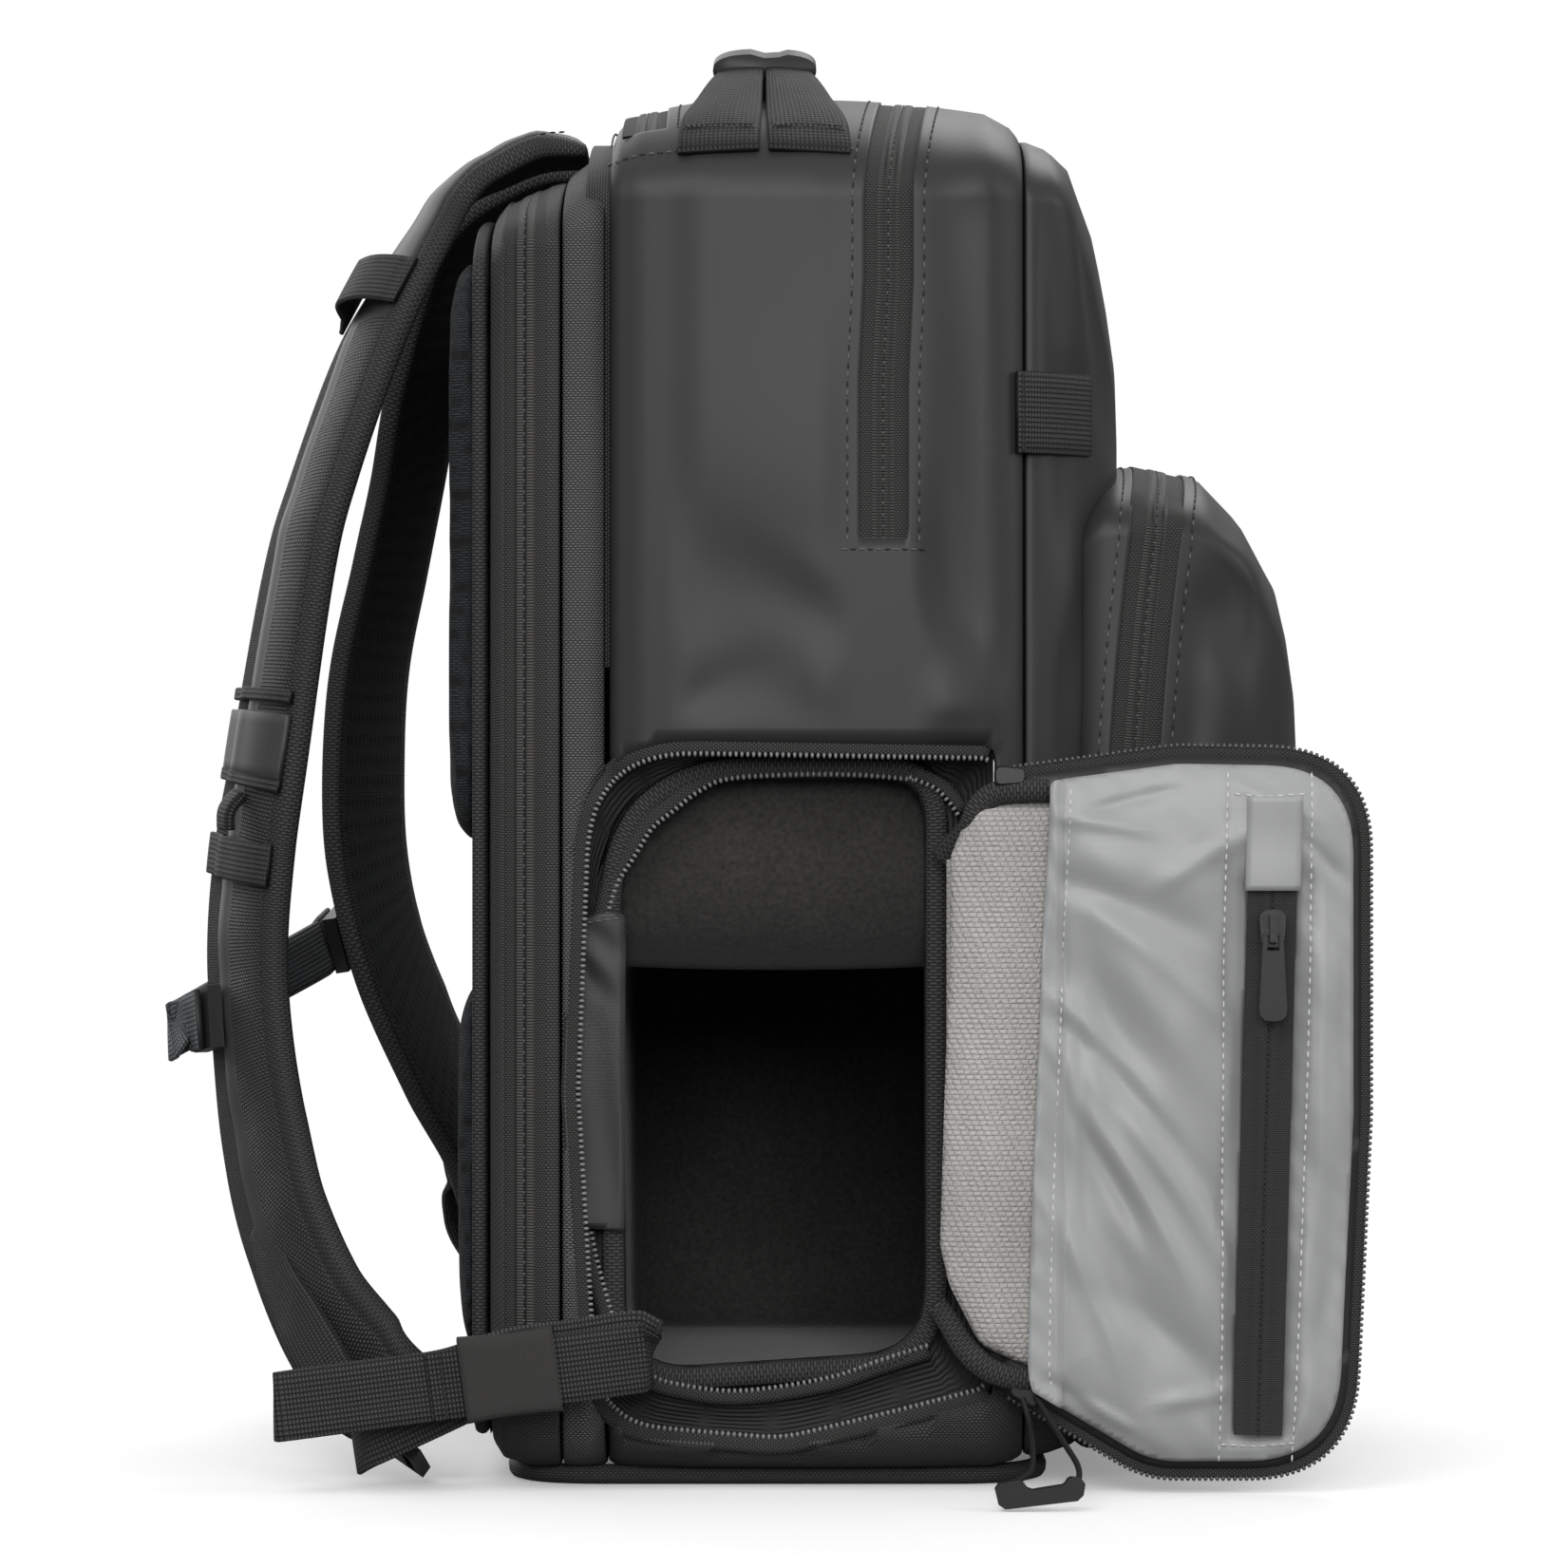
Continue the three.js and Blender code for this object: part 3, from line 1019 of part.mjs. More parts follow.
// Webbing from each strap's end through a ladder lock to the bag's lower rear corner.
// Its rows are shares as the straps' are, with the direction that the webbing's face looks to.
const ANCHOR_ROWS = [[0.84, 1.2], [0.87, 3.4], [0.9, 6], [0.925, 6.8]];
const LOCK = { at: 0.975, lift: 5.5, width: 26, length: 16, thickness: 4, slot: 3, bar: 2.2 };
const LOWER_WEBBING = {
  near: [
    { reach: -0.4929, across: -0.9829, height: 0.0946, facing: [0.85, -0.5, 0] },
    { reach: -0.5107, across: -1.0179, height: 0.0939, facing: [0.8, -0.75, 0] },
    { reach: -0.5571, across: -1.0414, height: 0.0915, facing: [0.1, -1, 0] },
    { reach: -0.63, across: -1.0425, height: 0.083, facing: [0, -1, 0] },
    { reach: -0.7, across: -1.04, height: 0.0702, facing: [0, -1, 0] },
    { reach: -0.8429, across: -1.0464, height: 0.0484, facing: [-0.2, -1, 0] },
    { reach: -0.8893, across: -1.025, height: 0.0404, facing: [-0.75, -0.8, 0] },
    { reach: -0.9107, across: -0.9857, height: 0.0341, facing: [-1, -0.45, 0] },
  ],
  far: [
    { reach: -0.3857, across: 0.9707, height: 0.0962, facing: [0.87, 0.5, 0] },
    { reach: -0.4214, across: 1.0357, height: 0.0915, facing: [0.75, 0.7, 0] },
    { reach: -0.5, across: 1.1214, height: 0.0728, facing: [0.3, 0.95, -0.2] },
    { reach: -0.6, across: 1.15, height: 0.054, facing: [0, 0.8, -0.7] },
    { reach: -0.6714, across: 1.1536, height: 0.0516, facing: [-0.6, 0.4, -0.8] },
    { reach: -0.7021, across: 1.1429, height: 0.0641, facing: [-0.94, 0.18, -0.3] },
  ],
};
for (const [side, stations] of Object.entries(straps)) {
  const lastSpan = stations.at(-1).point.distanceTo(stations.at(-2).point) * (stations.length - 1);
  const lockTop = LOCK.at - (LOCK.length / 2 + 3 * CLEARANCE) / lastSpan;
  add(`anchor_webbing_${side}`, 'webbing', sweep(
    onStrap(stations, [...ANCHOR_ROWS, [lockTop, LOCK.lift]]),
    stripProfile(STRAP_WEBBING, -WEBBING_THICKNESS / 2, WEBBING_THICKNESS / 2),
  ));
  const [place] = onStrap(stations, [[LOCK.at, LOCK.lift]]);
  const along = new THREE.Vector3().crossVectors(place.outward, place.across).normalize();
  const squared = { ...place, across: new THREE.Vector3().crossVectors(along, place.outward).normalize() };
  const slotOffset = LOCK.length / 2 - LOCK.bar - LOCK.slot / 2;
  const slotAt = (offset) => solidOf(blockAt(
    { ...squared, point: place.point.clone().addScaledVector(along, offset) },
    along,
    { width: LOCK.width - 2 * LOCK.bar, length: LOCK.slot, thickness: LOCK.thickness * 2 },
  ));
  add(`ladder_lock_${side}`, 'plastic', solidOf(blockAt(squared, along, LOCK))
    .subtract(slotAt(slotOffset)).subtract(slotAt(-slotOffset)));
  const rows = LOWER_WEBBING[side];
  add(`lower_webbing_${side}`, 'webbing', webbing(
    rows.map((row) => bagPoint(row)),
    rows.map(({ facing: [x, y, z] }) => new THREE.Vector3(x, y, z)),
    STRAP_WEBBING,
  ));
}

// Folded spare webbing in front of the near strap's end, with the elastic sleeve that holds it
const TAIL = {
  left: SEAM_X - 96.6, right: SEAM_X + 13, leftZ: 26.7, rightZ: 41.5, fold: 2,
  frontY: -BAG_HALF_WIDTH - 16.4, backY: -BAG_HALF_WIDTH - 12.8, width: 20.5,
};
const tailZ = (x) => TAIL.leftZ + ((TAIL.rightZ - TAIL.leftZ) * (x - TAIL.left)) / (TAIL.right - TAIL.left);
// One loop of webbing: along the front, round the right fold, back behind and round the left fold
const tailMiddleY = (TAIL.frontY + TAIL.backY) / 2;
const tailRun = [0, 0.24, 0.49, 0.77, 1]
  .map((share) => TAIL.left + TAIL.fold + (TAIL.right - TAIL.left - 2 * TAIL.fold) * share);
const tailRows = [
  ...tailRun.map((x, i) => ({ x, y: TAIL.frontY, facing: [i === 0 ? -1 : Number(i === 4), -1] })),
  { x: TAIL.right, y: tailMiddleY, facing: [1, 0] },
  ...[...tailRun].reverse().map((x, i) => ({
    x, y: TAIL.backY, facing: [i === 4 ? -1 : Number(i === 0), 1],
  })),
  { x: TAIL.left, y: tailMiddleY, facing: [-1, 0] },
];
add('webbing_tail', 'webbing', sweep(
  framesAlong(
    tailRows.map(({ x, y }) => new THREE.Vector3(x, y, tailZ(x))),
    tailRows.map(({ facing: [x, y] }) => new THREE.Vector3(x, y, 0)),
    true,
  ),
  stripProfile(TAIL.width, -WEBBING_THICKNESS / 2, WEBBING_THICKNESS / 2),
  true,
));
const KEEPER = {
  left: TAIL.left + 54.6, right: TAIL.left + 83.1, height: 26, wall: 1.2, lift: 0.6,
  nearY: TAIL.frontY - 2.6, farY: TAIL.backY + 5.4,
};
const keeperBlock = (wall, longer) => {
  const slope = Math.atan2(TAIL.rightZ - TAIL.leftZ, TAIL.right - TAIL.left);
  const shape = box(
    -(KEEPER.right - KEEPER.left) / 2 - longer, (KEEPER.right - KEEPER.left) / 2 + longer,
    KEEPER.nearY + wall, KEEPER.farY - wall, -KEEPER.height / 2 + wall, KEEPER.height / 2 - wall,
  );
  const middleX = (KEEPER.left + KEEPER.right) / 2;
  return solidOf(shape.rotateY(-slope).translate(middleX, 0, tailZ(middleX) + KEEPER.lift));
};
add('webbing_keeper', 'binding', keeperBlock(0, 0).subtract(keeperBlock(KEEPER.wall, 5)));

// Sternum strap between the two shoulder straps, buckled in the middle
const STERNUM = {
  atNear: 0.669, atFar: 0.668, width: 19, seat: 0.9, shift: 12,
  slider: { width: 17, length: 19, thickness: 4.5 },
};
const sternumLines = {};
for (const [side, stations, at, way] of [
  ['near', straps.near, STERNUM.atNear, 1], ['far', straps.far, STERNUM.atFar, -1],
]) {
  const [place] = onStrap(stations, [[at, STERNUM.slider.thickness / 2 + STERNUM.seat]], way * STERNUM.shift);
  const along = new THREE.Vector3().crossVectors(place.outward, place.across).normalize();
  const across = new THREE.Vector3().crossVectors(along, place.outward).normalize();
  add(`sternum_slider_${side}`, 'plastic', blockAt({ ...place, across }, along, STERNUM.slider));
  const over = (STERNUM.slider.thickness + WEBBING_THICKNESS) / 2 + STERNUM.seat;
  sternumLines[side] = [-4, 8, 18].map((reach) => ({
    outward: place.outward,
    point: place.point.clone().addScaledVector(across, way * reach).addScaledVector(place.outward, over),
  }));
}
const sternumPlaces = [...sternumLines.near, ...sternumLines.far.reverse()];
const sternumCurve = new THREE.CatmullRomCurve3(sternumPlaces.map(({ point }) => point));
const sternumLine = sternumCurve.getPoints(14);
const sternumOutward = (share) => sternumPlaces[0].outward.clone().lerp(sternumPlaces[5].outward, share);
add('sternum_strap', 'webbing', webbing(
  sternumLine,
  sternumLine.map((_, i) => sternumOutward(i / (sternumLine.length - 1))),
  STERNUM.width,
));

// Carrying handle: two webbings from side to side, gathered in a coated grip over the middle
const HANDLE_ROWS = [
  { across: 0.945, lift: 1.6, spread: 1, width: 24.5 },
  { across: 0.86, lift: 2.2, spread: 0.95, width: 24 },
  { across: 0.74, lift: 3.6, spread: 0.82, width: 21 },
  { across: 0.6, lift: 6.5, spread: 0.66, width: 16.5 },
  { across: 0.46, lift: 9, spread: 0.52, width: 13 },
  { across: 0.3, lift: 11, spread: 0.5, width: 12.4 },
  { across: 0, lift: 12, spread: 0.5, width: 12.4 },
];
const HANDLE = {
  middleX: SEAM_X + 47, spread: 13.6, gripReach: 0.47, gripWidth: 31, gripThickness: 8, gripWall: 1.8,
  gripEdge: 2.2,
};
const handleSpan = [...HANDLE_ROWS.map((row) => ({ ...row, side: -1 })),
  ...HANDLE_ROWS.slice(0, -1).reverse().map((row) => ({ ...row, side: 1 }))];
const handlePoint = (row, way) => new THREE.Vector3(
  HANDLE.middleX + way * HANDLE.spread * row.spread,
  row.side * row.across * BAG_HALF_WIDTH,
  main.topZ(SEAM_X + MAIN_DEPTH / 2, row.across * BAG_HALF_WIDTH) + row.lift,
);
const upwards = new THREE.Vector3(0, 0, 1);
const handleOutward = (row) => new THREE.Vector3(0, row.side * row.across * 1.2, 1).normalize();
for (const [name, way] of [['rear', -1], ['front', 1]]) {
  const line = handleSpan.map((row) => handlePoint(row, way));
  const frames = framesAlong(line, handleSpan.map(handleOutward));
  const rings = frames.map((frame, i) => stripProfile(
    handleSpan[i].width, -WEBBING_THICKNESS / 2, WEBBING_THICKNESS / 2,
  ).map(([u, n]) => frame.point.clone().addScaledVector(frame.across, u).addScaledVector(frame.outward, n)));
  add(`handle_webbing_${name}`, 'webbing', loft(rings));
}
const gripRows = handleSpan.filter((row) => row.across < HANDLE.gripReach);
const gripLine = gripRows.map((row) => handlePoint({ ...row, spread: 0 }, 1));
const gripFrames = framesAlong(gripLine, gripRows.map(() => upwards));
const gripTube = (wall) => {
  const half = HANDLE.gripThickness / 2 - wall;
  const section = padProfile(HANDLE.gripWidth - 2 * wall, -half, half, HANDLE.gripEdge - wall / 2);
  return solidOf(sweep(wall ? extendEnds(gripFrames, 4) : gripFrames, section));
};
add('handle_grip', 'coated', gripTube(0).subtract(gripTube(HANDLE.gripWall)));

// Lash loops at the seam between the main and the front compartment
const LASH = { fromX: mainFrontX - 2.6, toX: mainFrontX + 20, z: 321.5, width: 24.5, rise: 3, steps: 8 };
for (const [side, sign] of [['near', -1], ['far', 1]]) {
  const line = Array.from({ length: LASH.steps + 1 }, (_, i) => {
    const share = i / LASH.steps;
    const x = LASH.fromX + (LASH.toX - LASH.fromX) * share;
    const from = main.sideY(LASH.fromX, LASH.z);
    const to = front.sideY(LASH.toX, LASH.z);
    const seat = from + (to - from) * share + CLEARANCE + WEBBING_THICKNESS / 2 + 0.4;
    return new THREE.Vector3(x, sign * (seat + LASH.rise * Math.sin(Math.PI * share)), LASH.z);
  });
  add(`lash_loop_${side}`, 'webbing', sweep(
    framesAlong(line, line.map(() => new THREE.Vector3(0, sign, 0))),
    stripProfile(LASH.width, -WEBBING_THICKNESS / 2, WEBBING_THICKNESS / 2),
  ));
}

// Sliders of the four closed zips, parked on the far side with their pulls lying flat
const PARKED = { length: 12, width: 9, pull: 24, pullWidth: 7, thickness: 3 };
const parkedOutline = roundedOutline([
  { x: -PARKED.width / 2, z: PARKED.length / 2, r: 3 }, { x: -PARKED.width / 2, z: -PARKED.length / 2, r: 2 },
  { x: -PARKED.pullWidth / 2 + 1.5, z: -PARKED.length / 2 - 2, r: 1 },
  { x: -PARKED.pullWidth / 2, z: -PARKED.length / 2 - PARKED.pull, r: 3 },
  { x: PARKED.pullWidth / 2, z: -PARKED.length / 2 - PARKED.pull, r: 3 },
  { x: PARKED.pullWidth / 2 - 1.5, z: -PARKED.length / 2 - 2, r: 1 },
  { x: PARKED.width / 2, z: -PARKED.length / 2, r: 2 }, { x: PARKED.width / 2, z: PARKED.length / 2, r: 3 },
], 1);
function parkedSlider(frame, lift) {
  const tangent = new THREE.Vector3().crossVectors(frame.outward, frame.across).normalize();
  const ringAt = (height, inset) => insetOutline(parkedOutline, inset).map((p) => frame.point.clone()
    .addScaledVector(frame.across, p.x)
    .addScaledVector(tangent, p.y)
    .addScaledVector(frame.outward, height));
  return loft([ringAt(lift, 0.4), ringAt(lift + 0.8, 0), ringAt(lift + PARKED.thickness, 0.5)]);
}
for (const [name, frames, back, lift] of [
  ['main_slider', mainZipFrames, 2, 0.6], ['laptop_slider', laptopZipFrames, 3, 0.6],
  ['pocket_slider', pocketZipFrames, 3, 0.6], ['top_slider', topZipFrames, 1, 0.6],
]) {
  add(name, 'metal', parkedSlider(frames[frames.length - 1 - back], lift));
}

export default backpack;
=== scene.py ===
# %% [markdown]
# # A camera backpack, rebuilt in Blender
# The bag stands on its base with its side camera door folded open. Its plain solids were made in
# another program and give every place and size. Here each soft solid is replaced by a finer piece
# of cloth, mesh, webbing or zip, so that the folds, stitches and weaves of the real bag can be seen.
# Helpers work in millimetres, as a pattern maker would, and turn into metres when a mesh is made.

# %% Load the frame that everything is placed in
import math
import bpy
import numpy as np
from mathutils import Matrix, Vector


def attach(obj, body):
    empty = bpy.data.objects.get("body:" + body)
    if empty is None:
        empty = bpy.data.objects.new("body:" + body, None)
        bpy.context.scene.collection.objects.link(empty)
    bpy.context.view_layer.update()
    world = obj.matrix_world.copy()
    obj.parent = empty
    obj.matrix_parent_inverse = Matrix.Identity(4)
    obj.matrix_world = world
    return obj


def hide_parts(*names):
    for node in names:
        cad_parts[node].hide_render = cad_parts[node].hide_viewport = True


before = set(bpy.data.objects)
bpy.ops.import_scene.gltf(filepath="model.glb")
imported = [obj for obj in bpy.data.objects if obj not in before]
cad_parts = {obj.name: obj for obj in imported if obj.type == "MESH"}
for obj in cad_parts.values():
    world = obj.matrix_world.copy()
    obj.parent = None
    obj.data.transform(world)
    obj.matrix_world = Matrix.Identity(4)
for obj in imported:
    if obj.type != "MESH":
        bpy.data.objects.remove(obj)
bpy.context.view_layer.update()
MM = 0.001
FLAT_BOTTOM = 5.3
NEAR_SIDE = np.array([0, -1.0, 0])
print("nodes in the frame:", len(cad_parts))

# %% [markdown]
# The photograph looks straight at the near side from about two metres, level with the middle of
# the bag. A long lens at that distance keeps the far strap and the near door at their true places.

# %% Camera
CAMERA_REACH, EYE_HEIGHT = 2000.0, 210.5
camera = bpy.data.objects.new("camera", bpy.data.cameras.new("camera"))
camera.location = (0, -CAMERA_REACH * MM, EYE_HEIGHT * MM)
camera.rotation_euler = (math.radians(90), 0, 0)
camera.data.sensor_width = 36
camera.data.lens = 143.6
bpy.context.collection.objects.link(camera)
bpy.context.scene.camera = camera
print("camera lens", camera.data.lens)

# %% [markdown]
# Nearly every piece of a bag is a strip or a panel, so one helper turns a grid of points into a
# mesh. It also lays a UV map that is measured in millimetres along the cloth, which lets every
# weave have its real thread size wherever the cloth turns.

# %% Helpers that make meshes
def object_from(name, points, faces, materials, uvs=None, slots=None, smooth=True):
    mesh = bpy.data.meshes.new(name)
    corners = [tuple(p) for p in np.asarray(points, float) * MM]
    mesh.from_pydata(corners, [], [list(map(int, f)) for f in faces])
    for material in materials:
        mesh.materials.append(material)
    if slots is not None:
        mesh.polygons.foreach_set("material_index", np.asarray(slots, np.int32))
    mesh.polygons.foreach_set("use_smooth", np.full(len(mesh.polygons), smooth))
    if uvs is not None:
        layer = mesh.uv_layers.new(name="cloth")
        loops = np.zeros(len(mesh.loops), np.int32)
        mesh.loops.foreach_get("vertex_index", loops)
        flat = uvs if len(uvs) == len(loops) and len(uvs) != len(points) else np.asarray(uvs)[loops]
        layer.data.foreach_set("uv", (np.asarray(flat, float)).ravel())
    mesh.update()
    piece = bpy.data.objects.new(name, mesh)
    bpy.context.collection.objects.link(piece)
    return piece


def settle(piece, nodes, body="bag"):
    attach(piece, body)
    if nodes:
        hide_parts(*nodes)
    print(piece.name, "faces", len(piece.data.polygons))
    return piece


def unit(v):
    v = np.asarray(v, float)
    return v / np.maximum(np.linalg.norm(v, axis=-1, keepdims=True), 1e-9)


def grid_faces(rows, columns, loop_rows=False, loop_columns=False, start=0):
    i = np.arange(rows if loop_rows else rows - 1)
    j = np.arange(columns if loop_columns else columns - 1)
    i, j = [a.ravel() for a in np.meshgrid(i, j, indexing="ij")]
    up, right = (i + 1) % rows, (j + 1) % columns
    return np.stack([i * columns + j, i * columns + right, up * columns + right, up * columns + j], 1) + start


def arc_lengths(points, axis):
    steps = np.linalg.norm(np.diff(points, axis=axis), axis=-1)
    zero = np.zeros_like(np.take(steps, [0], axis=axis))
    return np.concatenate([zero, np.cumsum(steps, axis=axis)], axis=axis)


def grid_uv(points, closed=False):
    """U along the rows and V along the columns, in millimetres, a pair for each face corner."""
    rows, columns = points.shape[:2]
    ring = np.concatenate([points, points[:, :1]], 1) if closed else points
    u = arc_lengths(ring, 1).mean(0)
    v = arc_lengths(points, 0).mean(1)
    cells = np.meshgrid(np.arange(rows - 1), np.arange(ring.shape[1] - 1), indexing="ij")
    i, j = [a.ravel() for a in cells]
    corner = [(i, j), (i, j + 1), (i + 1, j + 1), (i + 1, j)]
    return np.stack([np.stack([u[b], v[a]], 1) for a, b in corner], 1).reshape(-1, 2)


def grid_piece(name, points, materials, closed=False, slots=None, keep=None):
    rows, columns = points.shape[:2]
    faces = grid_faces(rows, columns, loop_columns=closed)
    uvs = grid_uv(points, closed).reshape(len(faces), 4, 2)
    keep = np.ones(len(faces), bool) if keep is None else keep
    slots = None if slots is None else np.asarray(slots)[keep]
    used, back = np.unique(faces[keep], return_inverse=True)
    return object_from(name, points.reshape(-1, 3)[used], back.reshape(-1, 4), materials,
                       uvs[keep].reshape(-1, 2), slots)


def facing_out(piece, centre):
    """Turns every face of an open sheet away from a point inside the bag."""
    vote = 0
    for polygon in piece.data.polygons:
        way = np.array(polygon.center) - np.asarray(centre) * MM
        vote += 1 if np.dot(way, np.array(polygon.normal)) > 0 else -1
    if vote < 0:
        piece.data.flip_normals()
    return piece


def thicken(piece, thickness, offset=-1):
    wall = piece.modifiers.new("thickness", "SOLIDIFY")
    wall.thickness = thickness * MM
    wall.offset = offset
    wall.use_even_offset = False
    return piece


def smooth_line(points, step, closed=False):
    """A Catmull-Rom curve through the points, resampled at an even step."""
    p = np.asarray(points, float)
    ends = [p[-1:], p, p[:2]] if closed else [2 * p[:1] - p[1:2], p, 2 * p[-1:] - p[-2:-1]]
    q = np.concatenate(ends)
    t = np.linspace(0, 1, 13)[:-1, None]
    spans = len(p) if closed else len(p) - 1
    fine = []
    for k in range(spans):
        a, b, c, d = q[k:k + 4]
        fine.append(0.5 * (2 * b + (c - a) * t + (2 * a - 5 * b + 4 * c - d) * t ** 2
                           + (3 * b - a - 3 * c + d) * t ** 3))
    fine.append(p[:1] if closed else p[-1:])
    return even(np.concatenate(fine), step)


def even(line, step):
    line = np.asarray(line, float)
    at = arc_lengths(line[:, :3], 0)
    count = max(2, int(round(at[-1] / step)) + 1)
    to = np.linspace(0, at[-1], count)
    return np.stack([np.interp(to, at, line[:, k]) for k in range(line.shape[1])], 1)


def frames_on(line, outwards, closed=False):
    """Across and outward directions along a line, square to its run."""
    if closed:
        run = unit(np.roll(line, -1, 0) - np.roll(line, 1, 0))
    else:
        run = unit(np.gradient(line, axis=0))
    outwards = np.broadcast_to(np.asarray(outwards, float), line.shape)
    out = unit(outwards - (outwards * run).sum(-1, keepdims=True) * run)
    return run, np.cross(run, out), out


def swept(line, across, out, profile):
    """Rows of points: the profile's (across, outward) pairs carried along the line."""
    profile = np.asarray(profile, float)
    if profile.ndim == 2:
        profile = np.broadcast_to(profile, (len(line), *profile.shape))
    return (line[:, None] + across[:, None] * profile[..., :1] + out[:, None] * profile[..., 1:2])


def closed_sweep(name, line, across, out, profile, materials, loop=False, slots=None):
    grid = swept(line, across, out, profile)
    rows, columns = grid.shape[:2]
    points = grid.reshape(-1, 3)
    if loop:
        grid = np.concatenate([grid, grid[:1]])
        points = grid[:-1].reshape(-1, 3)
        faces = grid_faces(rows, columns, loop_rows=True, loop_columns=True)
        return object_from(name, points, faces, materials, grid_uv(grid, True), slots)
    faces = grid_faces(rows, columns, loop_columns=True)
    uvs = list(grid_uv(grid, True))
    ends = [list(range(columns))[::-1], list(range((rows - 1) * columns, rows * columns))]
    uvs += [(0.3 * k, 0) for k in range(2 * columns)]
    if slots is not None:
        slots = [*slots, slots[0], slots[-1]]
    return object_from(name, points, [*faces, *ends], materials, uvs, slots)


def strip_profile(width, thickness, edge=0.35, crown=0.0, count=7):
    """A woven strip's section, closed, with round edges and a face that may be crowned."""
    half, t = width / 2, thickness / 2
    top = [(u, t + crown * (1 - (u / half) ** 2)) for u in np.linspace(half - edge, -half + edge, count)]
    low = [(u, -t) for u in np.linspace(-half + edge, half - edge, count)]
    return np.array([*top, (-half, t * 0.4), (-half, -t * 0.4), *low, (half, -t * 0.4), (half, t * 0.4)])


def copies(name, shape, places, run, across, out, materials, slot_list=None):
    """Copies of one small body (points, faces) at each place, turned to its own directions."""
    points, faces = shape
    moved = (places[:, None] + run[:, None] * points[None, :, :1] + across[:, None] * points[None, :, 1:2]
             + out[:, None] * points[None, :, 2:3])
    count = moved.shape[1]
    all_faces = []
    slots = []
    for k in range(len(places)):
        all_faces.extend([[v + k * count for v in f] for f in faces])
        slots.extend([0 if slot_list is None else slot_list[k % len(slot_list)]] * len(faces))
    return object_from(name, moved.reshape(-1, 3), all_faces, materials, slots=slots)


def row_of(name, shape, line, out, pitch, lift, materials, order=None, upright=False):
    """Small bodies at an even pitch along a line, laid along it or, when upright, across it."""
    fine = even(np.concatenate([line, np.broadcast_to(out, line.shape)], 1), pitch)
    run, across, out = frames_on(fine[:, :3], fine[:, 3:])
    if upright:
        run, across = across, run
    return copies(name, shape, fine[:, :3] + out * lift, run, across, out, materials, order)


def rounded_bar(length, width, height, rings=4, sides=6):
    """A grain-shaped body along X, as one thread of a stitch or one tooth of a coil."""
    rows = []
    for share in np.linspace(0.08, 0.92, rings):
        swell = math.sin(math.pi * share) ** 0.5
        x = (share - 0.5) * length
        for k in range(sides):
            a = 2 * math.pi * k / sides
            rows.append((x, 0.5 * width * swell * math.cos(a), 0.5 * height * swell * math.sin(a)))
    faces = grid_faces(rings, sides, loop_columns=True).tolist()
    faces += [list(range(sides))[::-1], list(range((rings - 1) * sides, rings * sides))]
    return np.array(rows), faces


def join_into(piece, others):
    """Adds other meshes to a piece, keeping their own materials."""
    bpy.ops.object.select_all(action="DESELECT")
    for other in [piece, *others]:
        other.select_set(True)
    bpy.context.view_layer.objects.active = piece
    bpy.ops.object.join()
    piece.select_set(False)
    return piece


print("helpers are ready")

# %% [markdown]
# Shader trees are long when every node is written out. A small wiring helper places a node, sets
# or links its inputs and hands back the output, so that each finish reads like a sum.

# %% Wiring helper for shader trees
class Wiring:
    def __init__(self, tree):
        self.tree = tree

    def put(self, socket, value):
        if isinstance(value, bpy.types.NodeSocket):
            self.tree.links.new(value, socket)
        elif value is not None:
            socket.default_value = value

    def node(self, kind, inputs=(), out=0, **settings):
        node = self.tree.nodes.new(kind)
        for key, value in settings.items():
            setattr(node, key, value)
        for key, value in dict(inputs).items():
            self.put(node.inputs[key], value)
        return node.outputs[out] if out is not None else node

    def math(self, operation, a, b=None, c=None):
        inputs = {k: v for k, v in enumerate((a, b, c)) if v is not None}
        return self.node("ShaderNodeMath", inputs, operation=operation)

    def mix(self, share, a, b):
        return self.node("ShaderNodeMix", {0: share, 6: a, 7: b}, out=2, data_type="RGBA")

    def group(self, tree, inputs):
        node = self.tree.nodes.new("ShaderNodeGroup")
        node.node_tree = tree
        for key, value in inputs.items():
            self.put(node.inputs[key], value)
        return node


def new_group(name, inputs, outputs):
    tree = bpy.data.node_groups.new(name, "ShaderNodeTree")
    for label, kind, value in inputs:
        socket = tree.interface.new_socket(label, in_out="INPUT", socket_type=kind)
        if value is not None:
            socket.default_value = value
    for label, kind in outputs:
        tree.interface.new_socket(label, in_out="OUTPUT", socket_type=kind)
    entry = tree.nodes.new("NodeGroupInput")
    leave = tree.nodes.new("NodeGroupOutput")
    return tree, Wiring(tree), entry.outputs, leave.inputs


FLOAT, VECTOR = "NodeSocketFloat", "NodeSocketVector"

# %% [markdown]
# Woven and knitted cloths differ mostly in the size and the stagger of their stitches. One group
# draws rows of small rounded stitches, each row shifted against the last, from the UV map in
# millimetres. Webbing, honeycomb, dotted gusset cloth and zip tape all use it with their own pitch.

